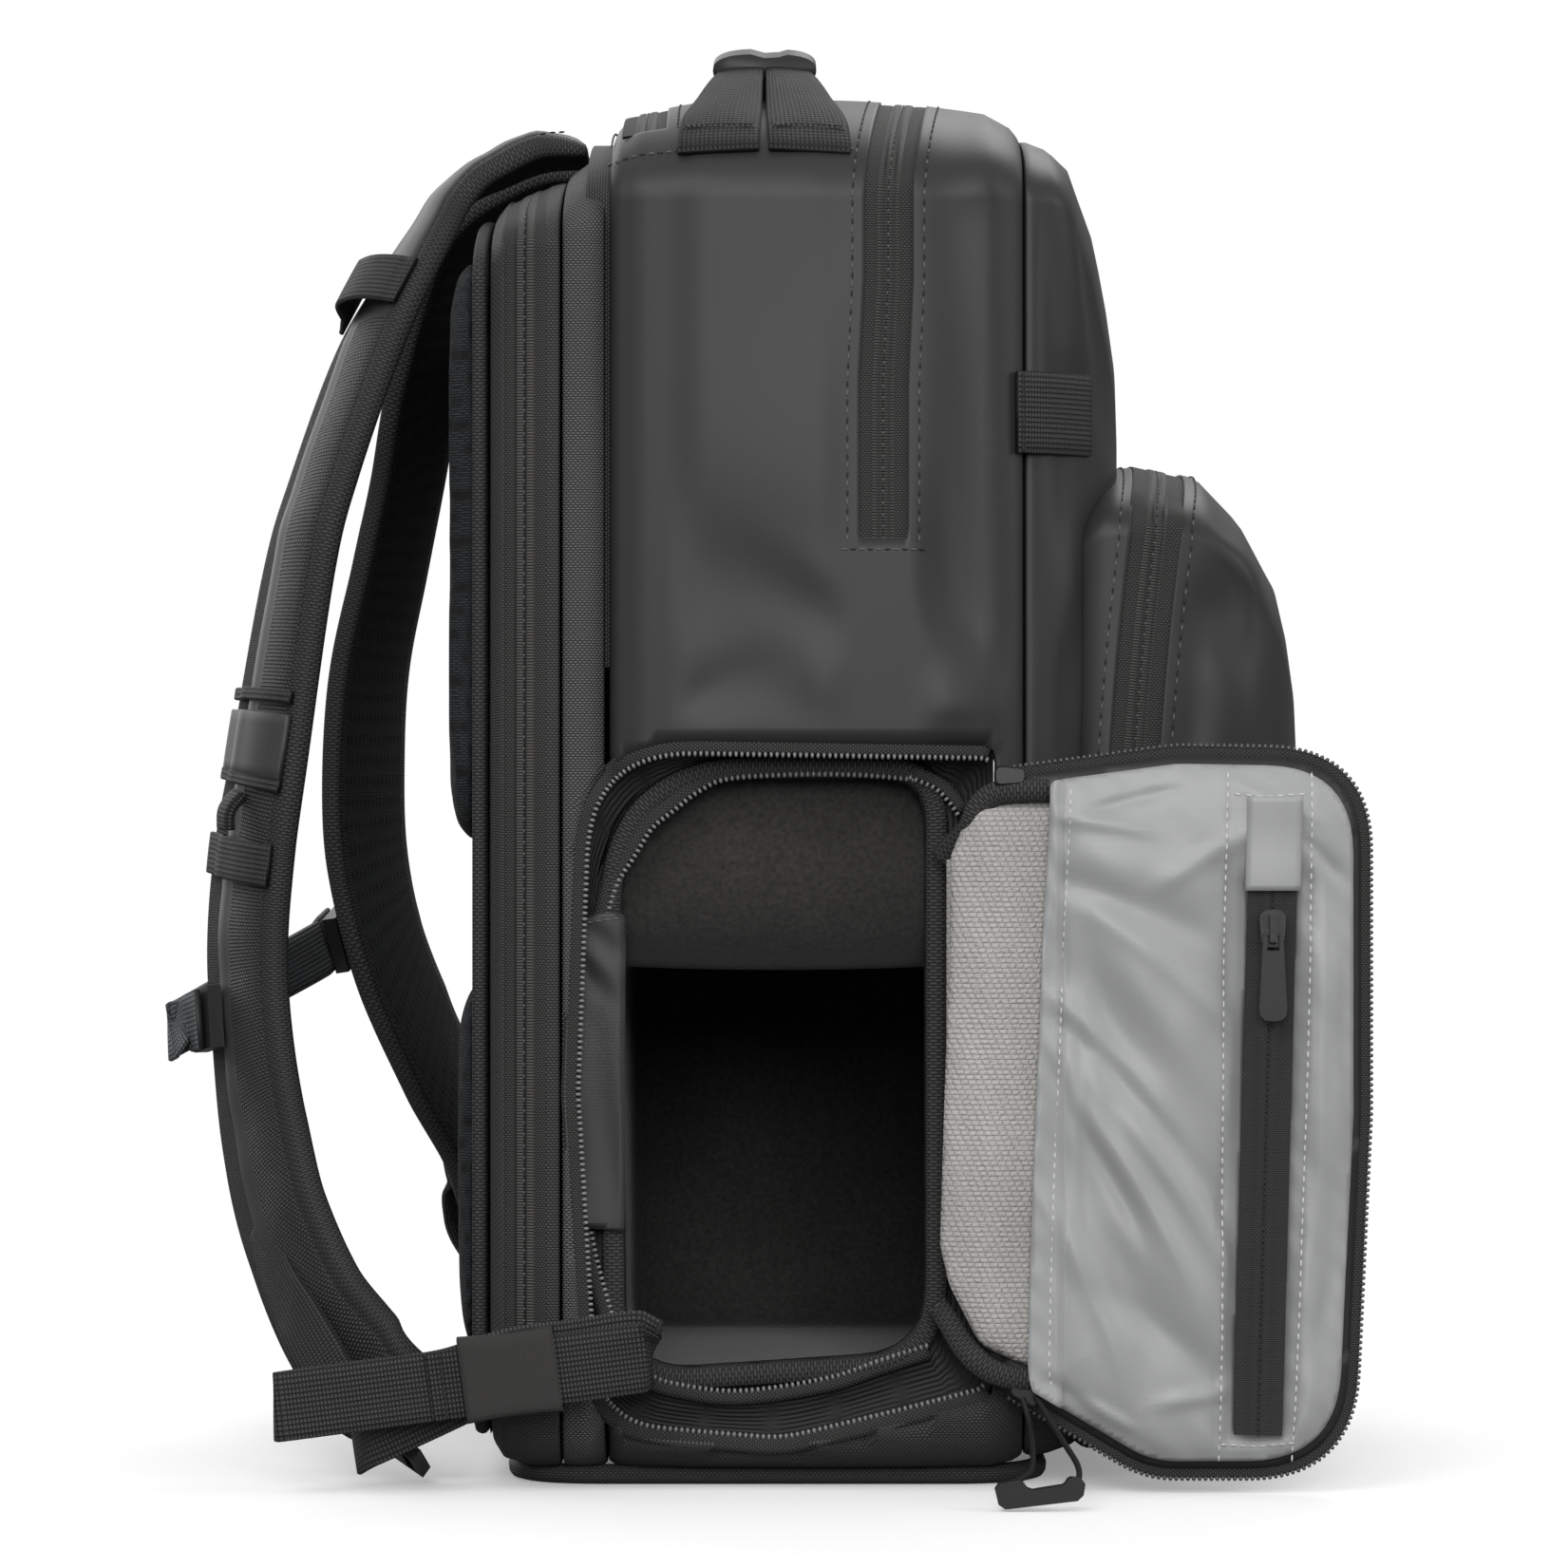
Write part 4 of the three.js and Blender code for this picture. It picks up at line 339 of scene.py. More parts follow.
# %% Group: staggered stitches
stitch_rows, w, into, out_of = new_group(
    "staggered stitches",
    [("Lay", VECTOR, None), ("Pitch across", FLOAT, 1.5), ("Pitch along", FLOAT, 0.8),
     ("Stagger", FLOAT, 0.5), ("Fullness", FLOAT, 1.0)],
    [("Height", FLOAT)],
)
lay = w.node("ShaderNodeSeparateXYZ", {0: into["Lay"]}, out=None)
along = w.math("DIVIDE", lay.outputs[1], into["Pitch along"])
shifted = w.math("MULTIPLY", w.math("FLOOR", along), into["Stagger"])
across = w.math("ADD", w.math("DIVIDE", lay.outputs[0], into["Pitch across"]), shifted)
humps = []
for line in (across, along):
    centred = w.math("SUBTRACT", w.math("FRACT", line), 0.5)
    doubled = w.math("MULTIPLY", centred, 2.0)
    humps.append(w.math("SUBTRACT", 1.0, w.math("POWER", w.math("ABSOLUTE", doubled), 2.4)))
hump = w.math("MAXIMUM", w.math("MULTIPLY", humps[0], humps[1]), 0.0)
w.put(out_of["Height"], w.math("POWER", hump, into["Fullness"]))
print(stitch_rows.name, "nodes", len(stitch_rows.nodes))

# %% [markdown]
# No cloth is perfectly even: its dye, its surface and its roughness drift a little over several
# centimetres, and fine fibres break up the light. A second group gives one slow and one fine noise
# in the object's own space, so that neighbouring panels are never exactly alike.

# %% Group: uneven cloth
uneven, w, into, out_of = new_group(
    "uneven cloth",
    [("Slow size", FLOAT, 14.0), ("Fine size", FLOAT, 1400.0), ("Contrast", FLOAT, 1.0)],
    [("Drift", FLOAT), ("Fibre", FLOAT)],
)
place = w.node("ShaderNodeTexCoord", out=3)
slow = w.node("ShaderNodeTexNoise", {"Vector": place, "Scale": into["Slow size"], "Detail": 3.0})
fine = w.node("ShaderNodeTexNoise", {"Vector": place, "Scale": into["Fine size"], "Detail": 2.0})
w.put(out_of["Drift"], w.math("MULTIPLY", w.math("SUBTRACT", slow, 0.5), into["Contrast"]))
w.put(out_of["Fibre"], fine)
print(uneven.name, "nodes", len(uneven.nodes))


# %% [markdown]
# Every fabric finish follows one recipe: a deep colour in the gaps, a lighter one on the raised
# threads, slow drift over both, and a bump whose depth is the thread's real height. A table of
# pitches and colours then gives each cloth its own look.

# %% Recipe for cloth finishes
def grey(value, warmth=0.0, blue=0.0):
    return (value * (1 + warmth), value, value * (1 - warmth + blue), 1)


def cloth(name, deep, raised, rough, pitch=None, stagger=0.5, depth=0.2, fuzz=0.05, fullness=1.0,
          drift=0.35, fine=1400.0, sheen=0.0, second=None, gloss=0.5):
    material = bpy.data.materials.new(name)
    material.use_nodes = True
    tree = material.node_tree
    shader = tree.nodes["Principled BSDF"]
    w = Wiring(tree)
    wave = w.group(uneven, {"Slow size": 16.0, "Fine size": fine, "Contrast": drift})
    height = wave.outputs["Fibre"]
    if pitch:
        lay = w.node("ShaderNodeUVMap", out=0, uv_map="cloth")
        rows = w.group(stitch_rows, {"Lay": lay, "Pitch across": pitch[0], "Pitch along": pitch[1],
                                     "Stagger": stagger, "Fullness": fullness})
        raised_share = rows.outputs["Height"]
        if second:
            other = w.group(stitch_rows, {"Lay": lay, "Pitch across": second[0], "Pitch along": second[1],
                                          "Stagger": 0.5, "Fullness": 3.5})
            not_hole = w.math("SUBTRACT", 1.0, other.outputs["Height"])
            raised_share = w.math("MULTIPLY", raised_share, not_hole)
        fibre = w.math("MULTIPLY", wave.outputs["Fibre"], fuzz / max(depth, 0.01))
        height = w.math("ADD", raised_share, fibre)
    else:
        raised_share = wave.outputs["Fibre"]
    toned = w.mix(raised_share, deep, raised)
    lift = w.math("ADD", 1.0, wave.outputs["Drift"])
    w.put(shader.inputs["Base Color"], w.node(
        "ShaderNodeVectorMath", {0: toned, 1: w.node("ShaderNodeCombineXYZ", {0: lift, 1: lift, 2: lift})},
        operation="MULTIPLY"))
    w.put(shader.inputs["Roughness"], w.math("ADD", rough, w.math("MULTIPLY", wave.outputs["Drift"], 0.25)))
    bump = w.node("ShaderNodeBump", {"Height": height, "Distance": (depth if pitch else fuzz) * MM,
                                     "Strength": 1.0}, out=0)
    w.put(shader.inputs["Normal"], bump)
    shader.inputs["Sheen Weight"].default_value = sheen
    shader.inputs["Sheen Roughness"].default_value = 0.5
    shader.inputs["Specular IOR Level"].default_value = gloss
    return material


# %% [markdown]
# The table of finishes. Pitches are in millimetres, after the photograph: the gusset's dots lie
# 1.45 mm apart, the webbing's stitches 1.5 by 1.1 mm, and the ribs over a coil 0.87 mm. Colours are
# linear and were matched to the photograph's greys under the light of this scene.

# %% Finishes of the fabrics
coated = cloth("coated_fabric", grey(0.026, 0.02), grey(0.032, 0.02), 0.48, drift=0.14, fuzz=0.012,
               fine=2600.0, gloss=0.4)
dotted = cloth("dotted_gusset_cloth", grey(0.01), grey(0.16), 0.62, (1.45, 0.75), depth=0.25,
               fullness=1.8, drift=0.3)
boot_cloth = cloth("boot_cloth", grey(0.005), grey(0.062, 0.02), 0.6, (1.3, 0.8), depth=0.25, drift=0.3)
strap_cloth = cloth("strap_honeycomb_cloth", grey(0.003), grey(0.065), 0.55, (1.9, 1.15), depth=0.4,
                    fullness=1.3, drift=0.3)
webbing_cloth = cloth("webbing_weave", grey(0.002), grey(0.05), 0.6, (1.5, 1.1), depth=0.36, stagger=0.0)
handle_cloth = cloth("handle_webbing_ribs", grey(0.001), grey(0.026), 0.65, (0.9, 1.7), depth=0.5,
                     stagger=0.0, fullness=1.3)
chest_cloth = cloth("chest_webbing", grey(0.02, -0.06), grey(0.2, -0.06), 0.6, (1.5, 0.9), depth=0.3,
                    stagger=0.0)
tape_cloth = cloth("zip_tape_knit", grey(0.004, 0.04), grey(0.06, 0.04), 0.7, (1.1, 0.7), depth=0.2,
                   fullness=1.3)
tape_ribs = cloth("zip_coil_ribs", grey(0.001, 0.04), grey(0.08, 0.05), 0.6, (3.2, 0.87), depth=0.3,
                  stagger=0.0, fullness=1.3)
binding_cloth = cloth("binding_tape", grey(0.003, 0.03), grey(0.05, 0.03), 0.7, (2.6, 0.95), depth=0.26)
elastic_cloth = cloth("elastic_keeper", grey(0.02, 0.04), grey(0.05, 0.05), 0.75, (0.8, 0.5), depth=0.12)
spacer_mesh = cloth("spacer_mesh", grey(0.0004, -0.2, 0.2), grey(0.036, -0.14, 0.04), 0.85, (1.1, 0.8),
                    depth=0.5, second=(3.4, 7.0), drift=0.5, fullness=0.8)
lining_ribs = cloth("ribbed_lining", grey(0.002, -0.05, 0.1), grey(0.02, -0.06, 0.03), 0.7, (20.0, 1.5),
                    depth=0.4, stagger=0.0, fullness=1.0)
dark_fleece = cloth("dark_fleece", grey(0.014, 0.05), grey(0.06, 0.04), 0.95, drift=1.2, fuzz=0.45,
                    fine=620.0, sheen=0.25, gloss=0.2)
pale_fleece = cloth("pale_fleece", grey(0.36, 0.04), grey(0.52, 0.035), 0.95, (2.3, 1.5), depth=0.3,
                    stagger=0.3, fullness=0.6, fuzz=0.8, fine=900.0, drift=0.5, sheen=0.2, gloss=0.2)
satin = cloth("grey_satin", grey(0.31, -0.01), grey(0.42, -0.01), 0.34, (0.5, 0.32), depth=0.03,
              fullness=0.6, drift=0.2, sheen=0.1, gloss=0.7)
dark_satin = cloth("dark_satin", grey(0.018), grey(0.036), 0.36, (0.6, 0.4), depth=0.04, drift=0.3)
print("cloth finishes:", len(bpy.data.materials))

# %% [markdown]
# Small hard parts and threads need no weave. Moulded nylon has a faint grain and soft highlights,
# the coils are glossier, and the threads are matte with a slight change of tone along them. The
# coil round the opening and the camera bay gets a pale colour as a painted highlight.

# %% Finishes of plastic, metal and thread
def moulded(name, low, high, rough, grain=0.02, size=900.0, metal=0.0, coat=0.0):
    material = cloth(name, low, high, rough, fuzz=grain, fine=size, drift=0.2)
    shader = material.node_tree.nodes["Principled BSDF"]
    shader.inputs["Metallic"].default_value = metal
    shader.inputs["Coat Weight"].default_value = coat
    return material


black_nylon = moulded("moulded_nylon", grey(0.009), grey(0.016), 0.42)
door_coil_nylon = moulded("door_coil_nylon", grey(0.05), grey(0.1), 0.25, grain=0.004, coat=0.5)
# Painted highlight: the same dark grey coil as the door's, given a pale colour so that its beads look lit.
painted_glint_coil = moulded("painted_glint_coil", grey(0.16), grey(0.3), 0.25, grain=0.004, coat=0.3)
dark_metal = moulded("dark_metal", grey(0.03), grey(0.055), 0.34, grain=0.006, metal=0.6)
grey_thread = moulded("grey_thread", grey(0.08), grey(0.16), 0.8, grain=0.05, size=1600.0)
dark_thread = moulded("dark_thread", grey(0.012), grey(0.035), 0.8, grain=0.05, size=1600.0)
white_thread = moulded("white_thread", grey(0.6), grey(0.8), 0.8, grain=0.05, size=1600.0)
print("finishes in all:", len(bpy.data.materials))

# %% [markdown]
# The lower slider is pulled by one limp cord, 1.8 mm thick, that runs through a moulded grip and
# back. It leaves the slider, hangs in front of the bag and turns back just above the floor. A curve
# with its own round section is the plainest way to keep the cord's true length.

# %% Pull cord and its grip
CORD_LINE = [
    (70.5, -152.4, 29), (72.5, -158, 21), (72, -180, 11), (65, -189, 7.6), (64, -190, 4.6), (70, -190, 3.6),
    (80, -190, 5.2), (84.5, -189, 7.6), (85.5, -182, 12), (81, -166, 19), (74.4, -152.4, 29.5),
]
CORD_RADIUS = 0.9
cord_line = smooth_line(CORD_LINE, 1.6)
cord_curve = bpy.data.curves.new("pull_cord_line", "CURVE")
cord_curve.dimensions = "3D"
cord_curve.bevel_depth = CORD_RADIUS * MM
cord_curve.bevel_resolution = 3
cord_curve.use_fill_caps = True
spline = cord_curve.splines.new("POLY")
spline.points.add(len(cord_line) - 1)
for point, at in zip(spline.points, cord_line):
    point.co = (*(at * MM), 1)
cord_curve.materials.append(binding_cloth)
cord = bpy.data.objects.new("pull_cord_line", cord_curve)
bpy.context.collection.objects.link(cord)
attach(cord, "bag")
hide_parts("pull_cord")

# %% [markdown]
# The bag's body is a row of compartments. Each is a rounded ring that changes its width and height
# along the depth, like slices of a loaf. The tables hold those slices as shares of the bag's half
# width and height. A fine grid over them gives sides without the flat steps of the plain solids.

# %% Slices of the compartments
HALF_WIDTH, HEIGHT, SHOULDER = 140.0, 426.0, 384.0
CORNER, TOP_POWER, SIDE_BULGE, TOP_RISE = 20.0, 2.2, 0.018, 25.2
FOOT_SHARE, UNDER_SHARE = 0.12, 0.3
SLICES = {  # columns: along the depth, width, top, floor
    "main": (-53.0, 125.0, SHOULDER, [
        (0, 0.95, 0.97, 0), (0.03, 0.968, 0.98, 0), (0.08, 0.985, 0.99, 0), (0.22, 1, 0.998, 0),
        (0.5, 1.01, 1, 0), (0.75, 1, 0.996, 0), (0.92, 0.98, 0.988, 0), (1, 0.94, 0.975, 0.004)]),
    "gusset": (-66.3, 13.0, 374.0, [(0, 0.972, 0.94, 0), (0.6, 0.978, 0.955, 0), (1, 0.95, 0.965, 0)]),
    "laptop": (-88.6, 22.0, 370.0, [
        (0, 0.92, 0.91, 0.02), (0.2, 0.955, 0.922, 0.005), (0.6, 0.972, 0.932, 0), (1, 0.972, 0.938, 0)]),
    "front": (72.3, 32.0, SHOULDER, [
        (0, 0.925, 0.97, 0.004), (0.22, 0.9, 0.962, 0.006), (0.45, 0.845, 0.95, 0.01),
        (0.7, 0.77, 0.9, 0.02), (0.88, 0.69, 0.838, 0.03), (1, 0.52, 0.76, 0.045)]),
    "pocket": (88.3, 72.0, SHOULDER, [
        (0, 0.846, 0.716, 0.008), (0.12, 0.858, 0.727, 0.008), (0.34, 0.857, 0.73, 0.012),
        (0.55, 0.843, 0.722, 0.02), (0.72, 0.807, 0.692, 0.032), (0.88, 0.743, 0.646, 0.06),
        (1, 0.58, 0.54, 0.11)]),
}


class Compartment:
    def __init__(self, back, depth, shoulder, rows):
        self.back, self.depth, self.shoulder = back, depth, shoulder
        self.rows = np.array(rows, float)

    def at(self, x):
        share = np.clip((np.asarray(x, float) - self.back) / self.depth, 0, 1)
        width, top, floor = [np.interp(share, self.rows[:, 0], self.rows[:, k]) for k in (1, 2, 3)]
        return width * HALF_WIDTH, top * HEIGHT, FLAT_BOTTOM + floor * HEIGHT

    def shoulder_at(self, x):
        return np.minimum(self.shoulder, self.at(x)[1] - TOP_RISE)

    def side(self, x, z):
        half, _, floor = self.at(x)
        share = np.clip((z - floor) / (self.shoulder_at(x) - floor), 0, 1)
        drop = np.clip(CORNER - (z - floor), 0, CORNER)
        full = half * (1 + SIDE_BULGE * np.sin(np.pi * share) ** 1.6)
        return full - CORNER + np.sqrt(CORNER ** 2 - drop ** 2)

    def top(self, x, y):
        half, top, _ = self.at(x)
        rise = (1 - np.minimum(1, np.abs(y) / half) ** TOP_POWER) ** (1 / TOP_POWER)
        return self.shoulder_at(x) + (top - self.shoulder_at(x)) * rise

    def point(self, x, t):
        """t runs 0..1 up the near side, 1..2 over the top and 2..3 down again. Past both ends it
        turns in under the floor."""
        x, t = np.broadcast_arrays(np.asarray(x, float), np.asarray(t, float))
        half, top, floor = self.at(x)
        shoulder = self.shoulder_at(x)
        low = np.clip(np.where(t <= 1, t, 3 - t), 0, 1)
        under = 1 - np.clip(np.maximum(-t, t - 3) / UNDER_SHARE, 0, 1)
        bend = np.clip(low / FOOT_SHARE, 0, 1) * np.pi / 2
        rise = np.clip((low - FOOT_SHARE) / (1 - FOOT_SHARE), 0, 1)
        z_low = floor + CORNER * (1 - np.cos(bend)) + (shoulder - floor - CORNER) * rise
        y_low = np.where(low < FOOT_SHARE, half - CORNER + CORNER * np.sin(bend), self.side(x, z_low)) * under
        angle = np.pi * (2 - np.clip(t, 1, 2))
        c, s = np.cos(angle), np.clip(np.sin(angle), 0, 1)
        y_top = half * np.sign(c) * np.abs(c) ** (2 / TOP_POWER)
        z_top = shoulder + (top - shoulder) * s ** (2 / TOP_POWER)
        on_top = (t > 1) & (t < 2)
        y = np.where(on_top, y_top, np.where(t <= 1, -y_low, y_low))
        return np.stack([x, y, np.where(on_top, z_top, z_low)], -1)

    def outward(self, x, t):
        e = 1e-3
        along = self.point(np.asarray(x) + 0.5, t) - self.point(np.asarray(x) - 0.5, t)
        round_it = self.point(x, np.minimum(t + e, 3.29)) - self.point(x, np.maximum(t - e, -0.29))
        return unit(np.cross(round_it, along)) * -1

    def t_of(self, z):
        """Place on the near side for a height, measured at the middle of the depth."""
        x = self.back + self.depth / 2
        floor, shoulder = self.at(x)[2], self.shoulder_at(x)
        rise = (np.asarray(z, float) - floor - CORNER) / (shoulder - floor - CORNER)
        return FOOT_SHARE + (1 - FOOT_SHARE) * rise


parts = {name: Compartment(back, depth, shoulder, rows)
         for name, (back, depth, shoulder, rows) in SLICES.items()}
main, gusset, laptop, front, pocket = (parts[k] for k in ("main", "gusset", "laptop", "front", "pocket"))
t_even = np.unique(np.round(np.concatenate([
    np.linspace(-0.3, 0, 6), np.linspace(0, 0.12, 7), np.linspace(0.12, 1, 104),
    1 + (1 - np.cos(np.linspace(0, np.pi, 91))) / 2, np.linspace(2, 2.88, 104), np.linspace(2.88, 3, 7),
    np.linspace(3, 3.3, 6)]), 5))
print("points round each ring:", len(t_even), "main outward at the middle", main.outward(0.0, 0.5).round(2))

# %% [markdown]
# Coated fabric never lies flat. It is filled out from inside, dips between its seams and shows long,
# soft folds near corners. A few broad dents with given centres follow the photograph, and a
# slow wave adds the rest. The seams hold the cloth, so every dent fades out towards them.

# %% Dents and folds of the coated fabric
DENTS = {  # columns: x, z, run along x, run along z, turn in degrees, depth
    "main": [(-6, 262, 44, 22, -24, -2.6), (22, 240, 40, 12, -30, 2.2), (-34, 320, 40, 60, 14, 0.8),
             (30, 262, 30, 7, -32, 1.4), (50, 268, 12, 34, 24, -2.0), (56, 330, 9, 70, 4, -1.0),
             (54, 236, 14, 12, -40, 1.8), (-44, 240, 12, 22, -16, 1.4), (-26, 236, 24, 8, 24, -1.6),
             (62, 395, 14, 8, 30, 1.6), (-45, 378, 8, 30, 6, -0.8)],
    "front": [(86, 372, 4, 34, 10, 2.2), (94, 350, 4, 46, 12, -2.0), (80, 356, 3, 40, 4, -1.4),
              (90, 240, 5, 40, 8, 1.8), (84, 270, 5, 30, -12, 1.8), (90, 330, 9, 7, -35, -1.5)],
    "pocket": [(126, 288, 14, 5, -50, -2.6), (133, 281, 12, 4, -48, 2.6), (128, 262, 16, 12, -12, -2.4),
               (136, 236, 10, 20, 12, 2.0), (122, 225, 7, 30, -8, -1.8), (142, 262, 5, 20, 10, 1.8),
               (100, 260, 4, 50, 2, 0.8), (110, 120, 22, 30, 20, -2.5), (130, 80, 16, 26, -18, 2.0)],
}


def dented(name, points, ways, hold):
    """Moves points along their outward ways by the dents of the table and a slow wave."""
    x, z = points[..., 0], points[..., 2]
    lift = 0.5 * np.sin(x / 17 + 1.3 * np.sin(z / 39)) * np.sin(z / 31 + 0.7 + points[..., 1] / 61)
    flip = np.where(points[..., 1] > 0, 1.0, 0.0)
    for cx, cz, rx, rz, turn, depth in DENTS.get(name, []):
        a = math.radians(turn)
        dx, dz = x - cx - 4 * flip, z - cz + 11 * flip
        u, v = dx * math.cos(a) + dz * math.sin(a), -dx * math.sin(a) + dz * math.cos(a)
        lift = lift + depth * np.exp(-(u / rx) ** 2 - (v / rz) ** 2)
    return points + ways * (lift * hold)[..., None]


print("dents:", {name: len(rows) for name, rows in DENTS.items()})

# %% [markdown]
# Four zips are sewn into slots that run up one side, over the top and down the other. The slot's
# edges should be crisp, so the grid of the panel is bent until two of its lines lie exactly along
# them, and the faces between those lines are left out. A knot table says where each zip runs.

# %% Where the zips run
ZIPS = {
    "main_zip": dict(part=main, slot=14.4, end=283.5, top_x=38.0,
                     x=lambda z: 29.5 + 1.5 * np.clip((z - 330) / 30, 0, 1)),
    "top_zip": dict(part=main, slot=13.0, end=None, x=lambda z: -42.0 + 0 * z, top_x=-42.0),
    "laptop_zip": dict(part=laptop, slot=12.0, end=26.0, x=lambda z: -77.6 + 0 * z, top_x=-77.6),
    "front_pocket_zip": dict(part=pocket, slot=15.0, end=60.0, top_x=117.0,
                             x=lambda z: 103 + 11 * np.clip((z - 150) / 149.5, 0, 1) ** 2),
}


def zip_x(row, t):
    """The zip's X for a place round the ring."""
    t = np.asarray(t, float)
    part = row["part"]
    z = part.point(np.full_like(t, part.back + part.depth / 2), t)[..., 2]
    side_x = row["x"](np.minimum(z, SHOULDER))
    shoulder_x = row["x"](min(SHOULDER, float(part.shoulder_at(part.back + part.depth / 2))))
    share = np.clip(np.sin(np.pi * np.clip(t - 1, 0, 1)), 0, 1) ** 1.5
    return np.where((t > 1) & (t < 2), shoulder_x + (row["top_x"] - shoulder_x) * share, side_x)


def zip_ends(row):
    if row["end"] is None:
        return 1.2, 1.8
    t = float(row["part"].t_of(row["end"]))
    return t, 3 - t


for name, row in ZIPS.items():
    print(name, "from", round(zip_ends(row)[0], 3), "to", round(zip_ends(row)[1], 3))

# %% [markdown]
# The side opening and its door have soft, uneven corners, so their outlines are polygons whose
# corners are rounded by short curves. The same outline can be drawn again further in or out.

# %% Rounded outlines
def rounded(corners, steps=10):
    c = np.array([(x, z) for x, z, _ in corners], float)
    out = []
    for i, (_, _, r) in enumerate(corners):
        a, b = c[i - 1] - c[i], c[(i + 1) % len(c)] - c[i]
        la, lb = np.linalg.norm(a), np.linalg.norm(b)
        half = math.acos(np.clip(a @ b / la / lb, -1, 1)) / 2
        reach = min(r / math.tan(half), la * 0.49, lb * 0.49)
        p, q = c[i] + a / la * reach, c[i] + b / lb * reach
        t = np.linspace(0, 1, steps + 1)[:, None]
        out.append((1 - t) ** 2 * p + 2 * t * (1 - t) * c[i] + t ** 2 * q)
    return np.concatenate(out)


def inset(corners, distance):
    c = np.array([(x, z) for x, z, _ in corners], float)
    n = len(c)
    area = sum(c[i][0] * c[(i + 1) % n][1] - c[(i + 1) % n][0] * c[i][1] for i in range(n))
    turn = 1 if area > 0 else -1
    moved = []
    for i, (x, z, r) in enumerate(corners):
        a, b = unit(c[i] - c[i - 1]), unit(c[(i + 1) % n] - c[i])
        shift = distance * turn / (1 + a @ b)
        moved.append((x - (a[1] + b[1]) * shift, z + (a[0] + b[0]) * shift, max(0.3, r - distance)))
    return moved


OPENING_CORNERS = [(63.6, 222, 5), (-61.2, 224, 36), (-65.2, 118.25, 30), (-59.2, 16.5, 27),
                   (-0.8, 11.5, 40), (63.6, 27.5, 8)]
opening_outline = rounded(OPENING_CORNERS)
print("opening outline points:", len(opening_outline))


def inside(outline, x, z):
    """Whether points of the XZ plane lie inside a closed outline."""
    hit = np.zeros(np.shape(x), bool)
    for (ax, az), (bx, bz) in zip(outline, np.roll(outline, -1, 0)):
        crosses = (az > z) != (bz > z)
        with np.errstate(divide="ignore", invalid="ignore"):
            at = ax + (z - az) * (bx - ax) / (bz - az if bz != az else 1)
        hit ^= crosses & (x < at)
    return hit


def nearest_on(outline, x, z):
    """The nearest point of a closed outline for each point of the plane, with its distance."""
    p = np.stack([np.ravel(x), np.ravel(z)], 1)
    best, where = np.full(len(p), 1e9), np.zeros_like(p)
    for a, b in zip(outline, np.roll(outline, -1, 0)):
        run = b - a
        share = np.clip(((p - a) @ run) / max(run @ run, 1e-9), 0, 1)
        q = a + share[:, None] * run
        d = np.linalg.norm(p - q, axis=1)
        closer = d < best
        best[closer], where[closer] = d[closer], q[closer]
    return where.reshape(*np.shape(x), 2), best.reshape(np.shape(x))


# %% [markdown]
# A panel is cut at the side opening in the same spirit as with scissors: faces whose middle lies in
# the opening are dropped, and the points left along the cut move onto the outline, so the edge is
# smooth although the grid is square. A dark strip under the main seam keeps light out of the groove.

# %% Panels with slots and the side opening
def knots_for(part, x_low, x_high, rows, t):
    """Grid X for each ring place: even columns, bent so that each zip has a line at both edges."""
    knots = [np.full_like(t, x_low)]
    for row in rows:
        middle = zip_x(row, t)
        knots += [middle - row["slot"] / 2, middle + row["slot"] / 2]
    knots.append(np.full_like(t, x_high))
    return knots


def columns_between(knots, step):
    """Shares of the columns between knots, with tight columns beside each knot for a crisp edge."""
    columns, slots = [], []
    for k, (a, b) in enumerate(zip(knots[:-1], knots[1:])):
        count = max(2, int(np.ceil(np.mean(b - a) / step)))
        shares = np.linspace(0, 1, count + 1)
        tight = 0.8 / max(np.mean(b - a), 2)
        shares = np.unique(np.concatenate([shares, [tight, 1 - tight]]))
        if k < len(knots) - 2:
            shares = shares[:-1]
        columns += [a + (b - a) * s for s in shares]
        slots += [k] * len(shares)
    return np.stack(columns, 1), np.array(slots)


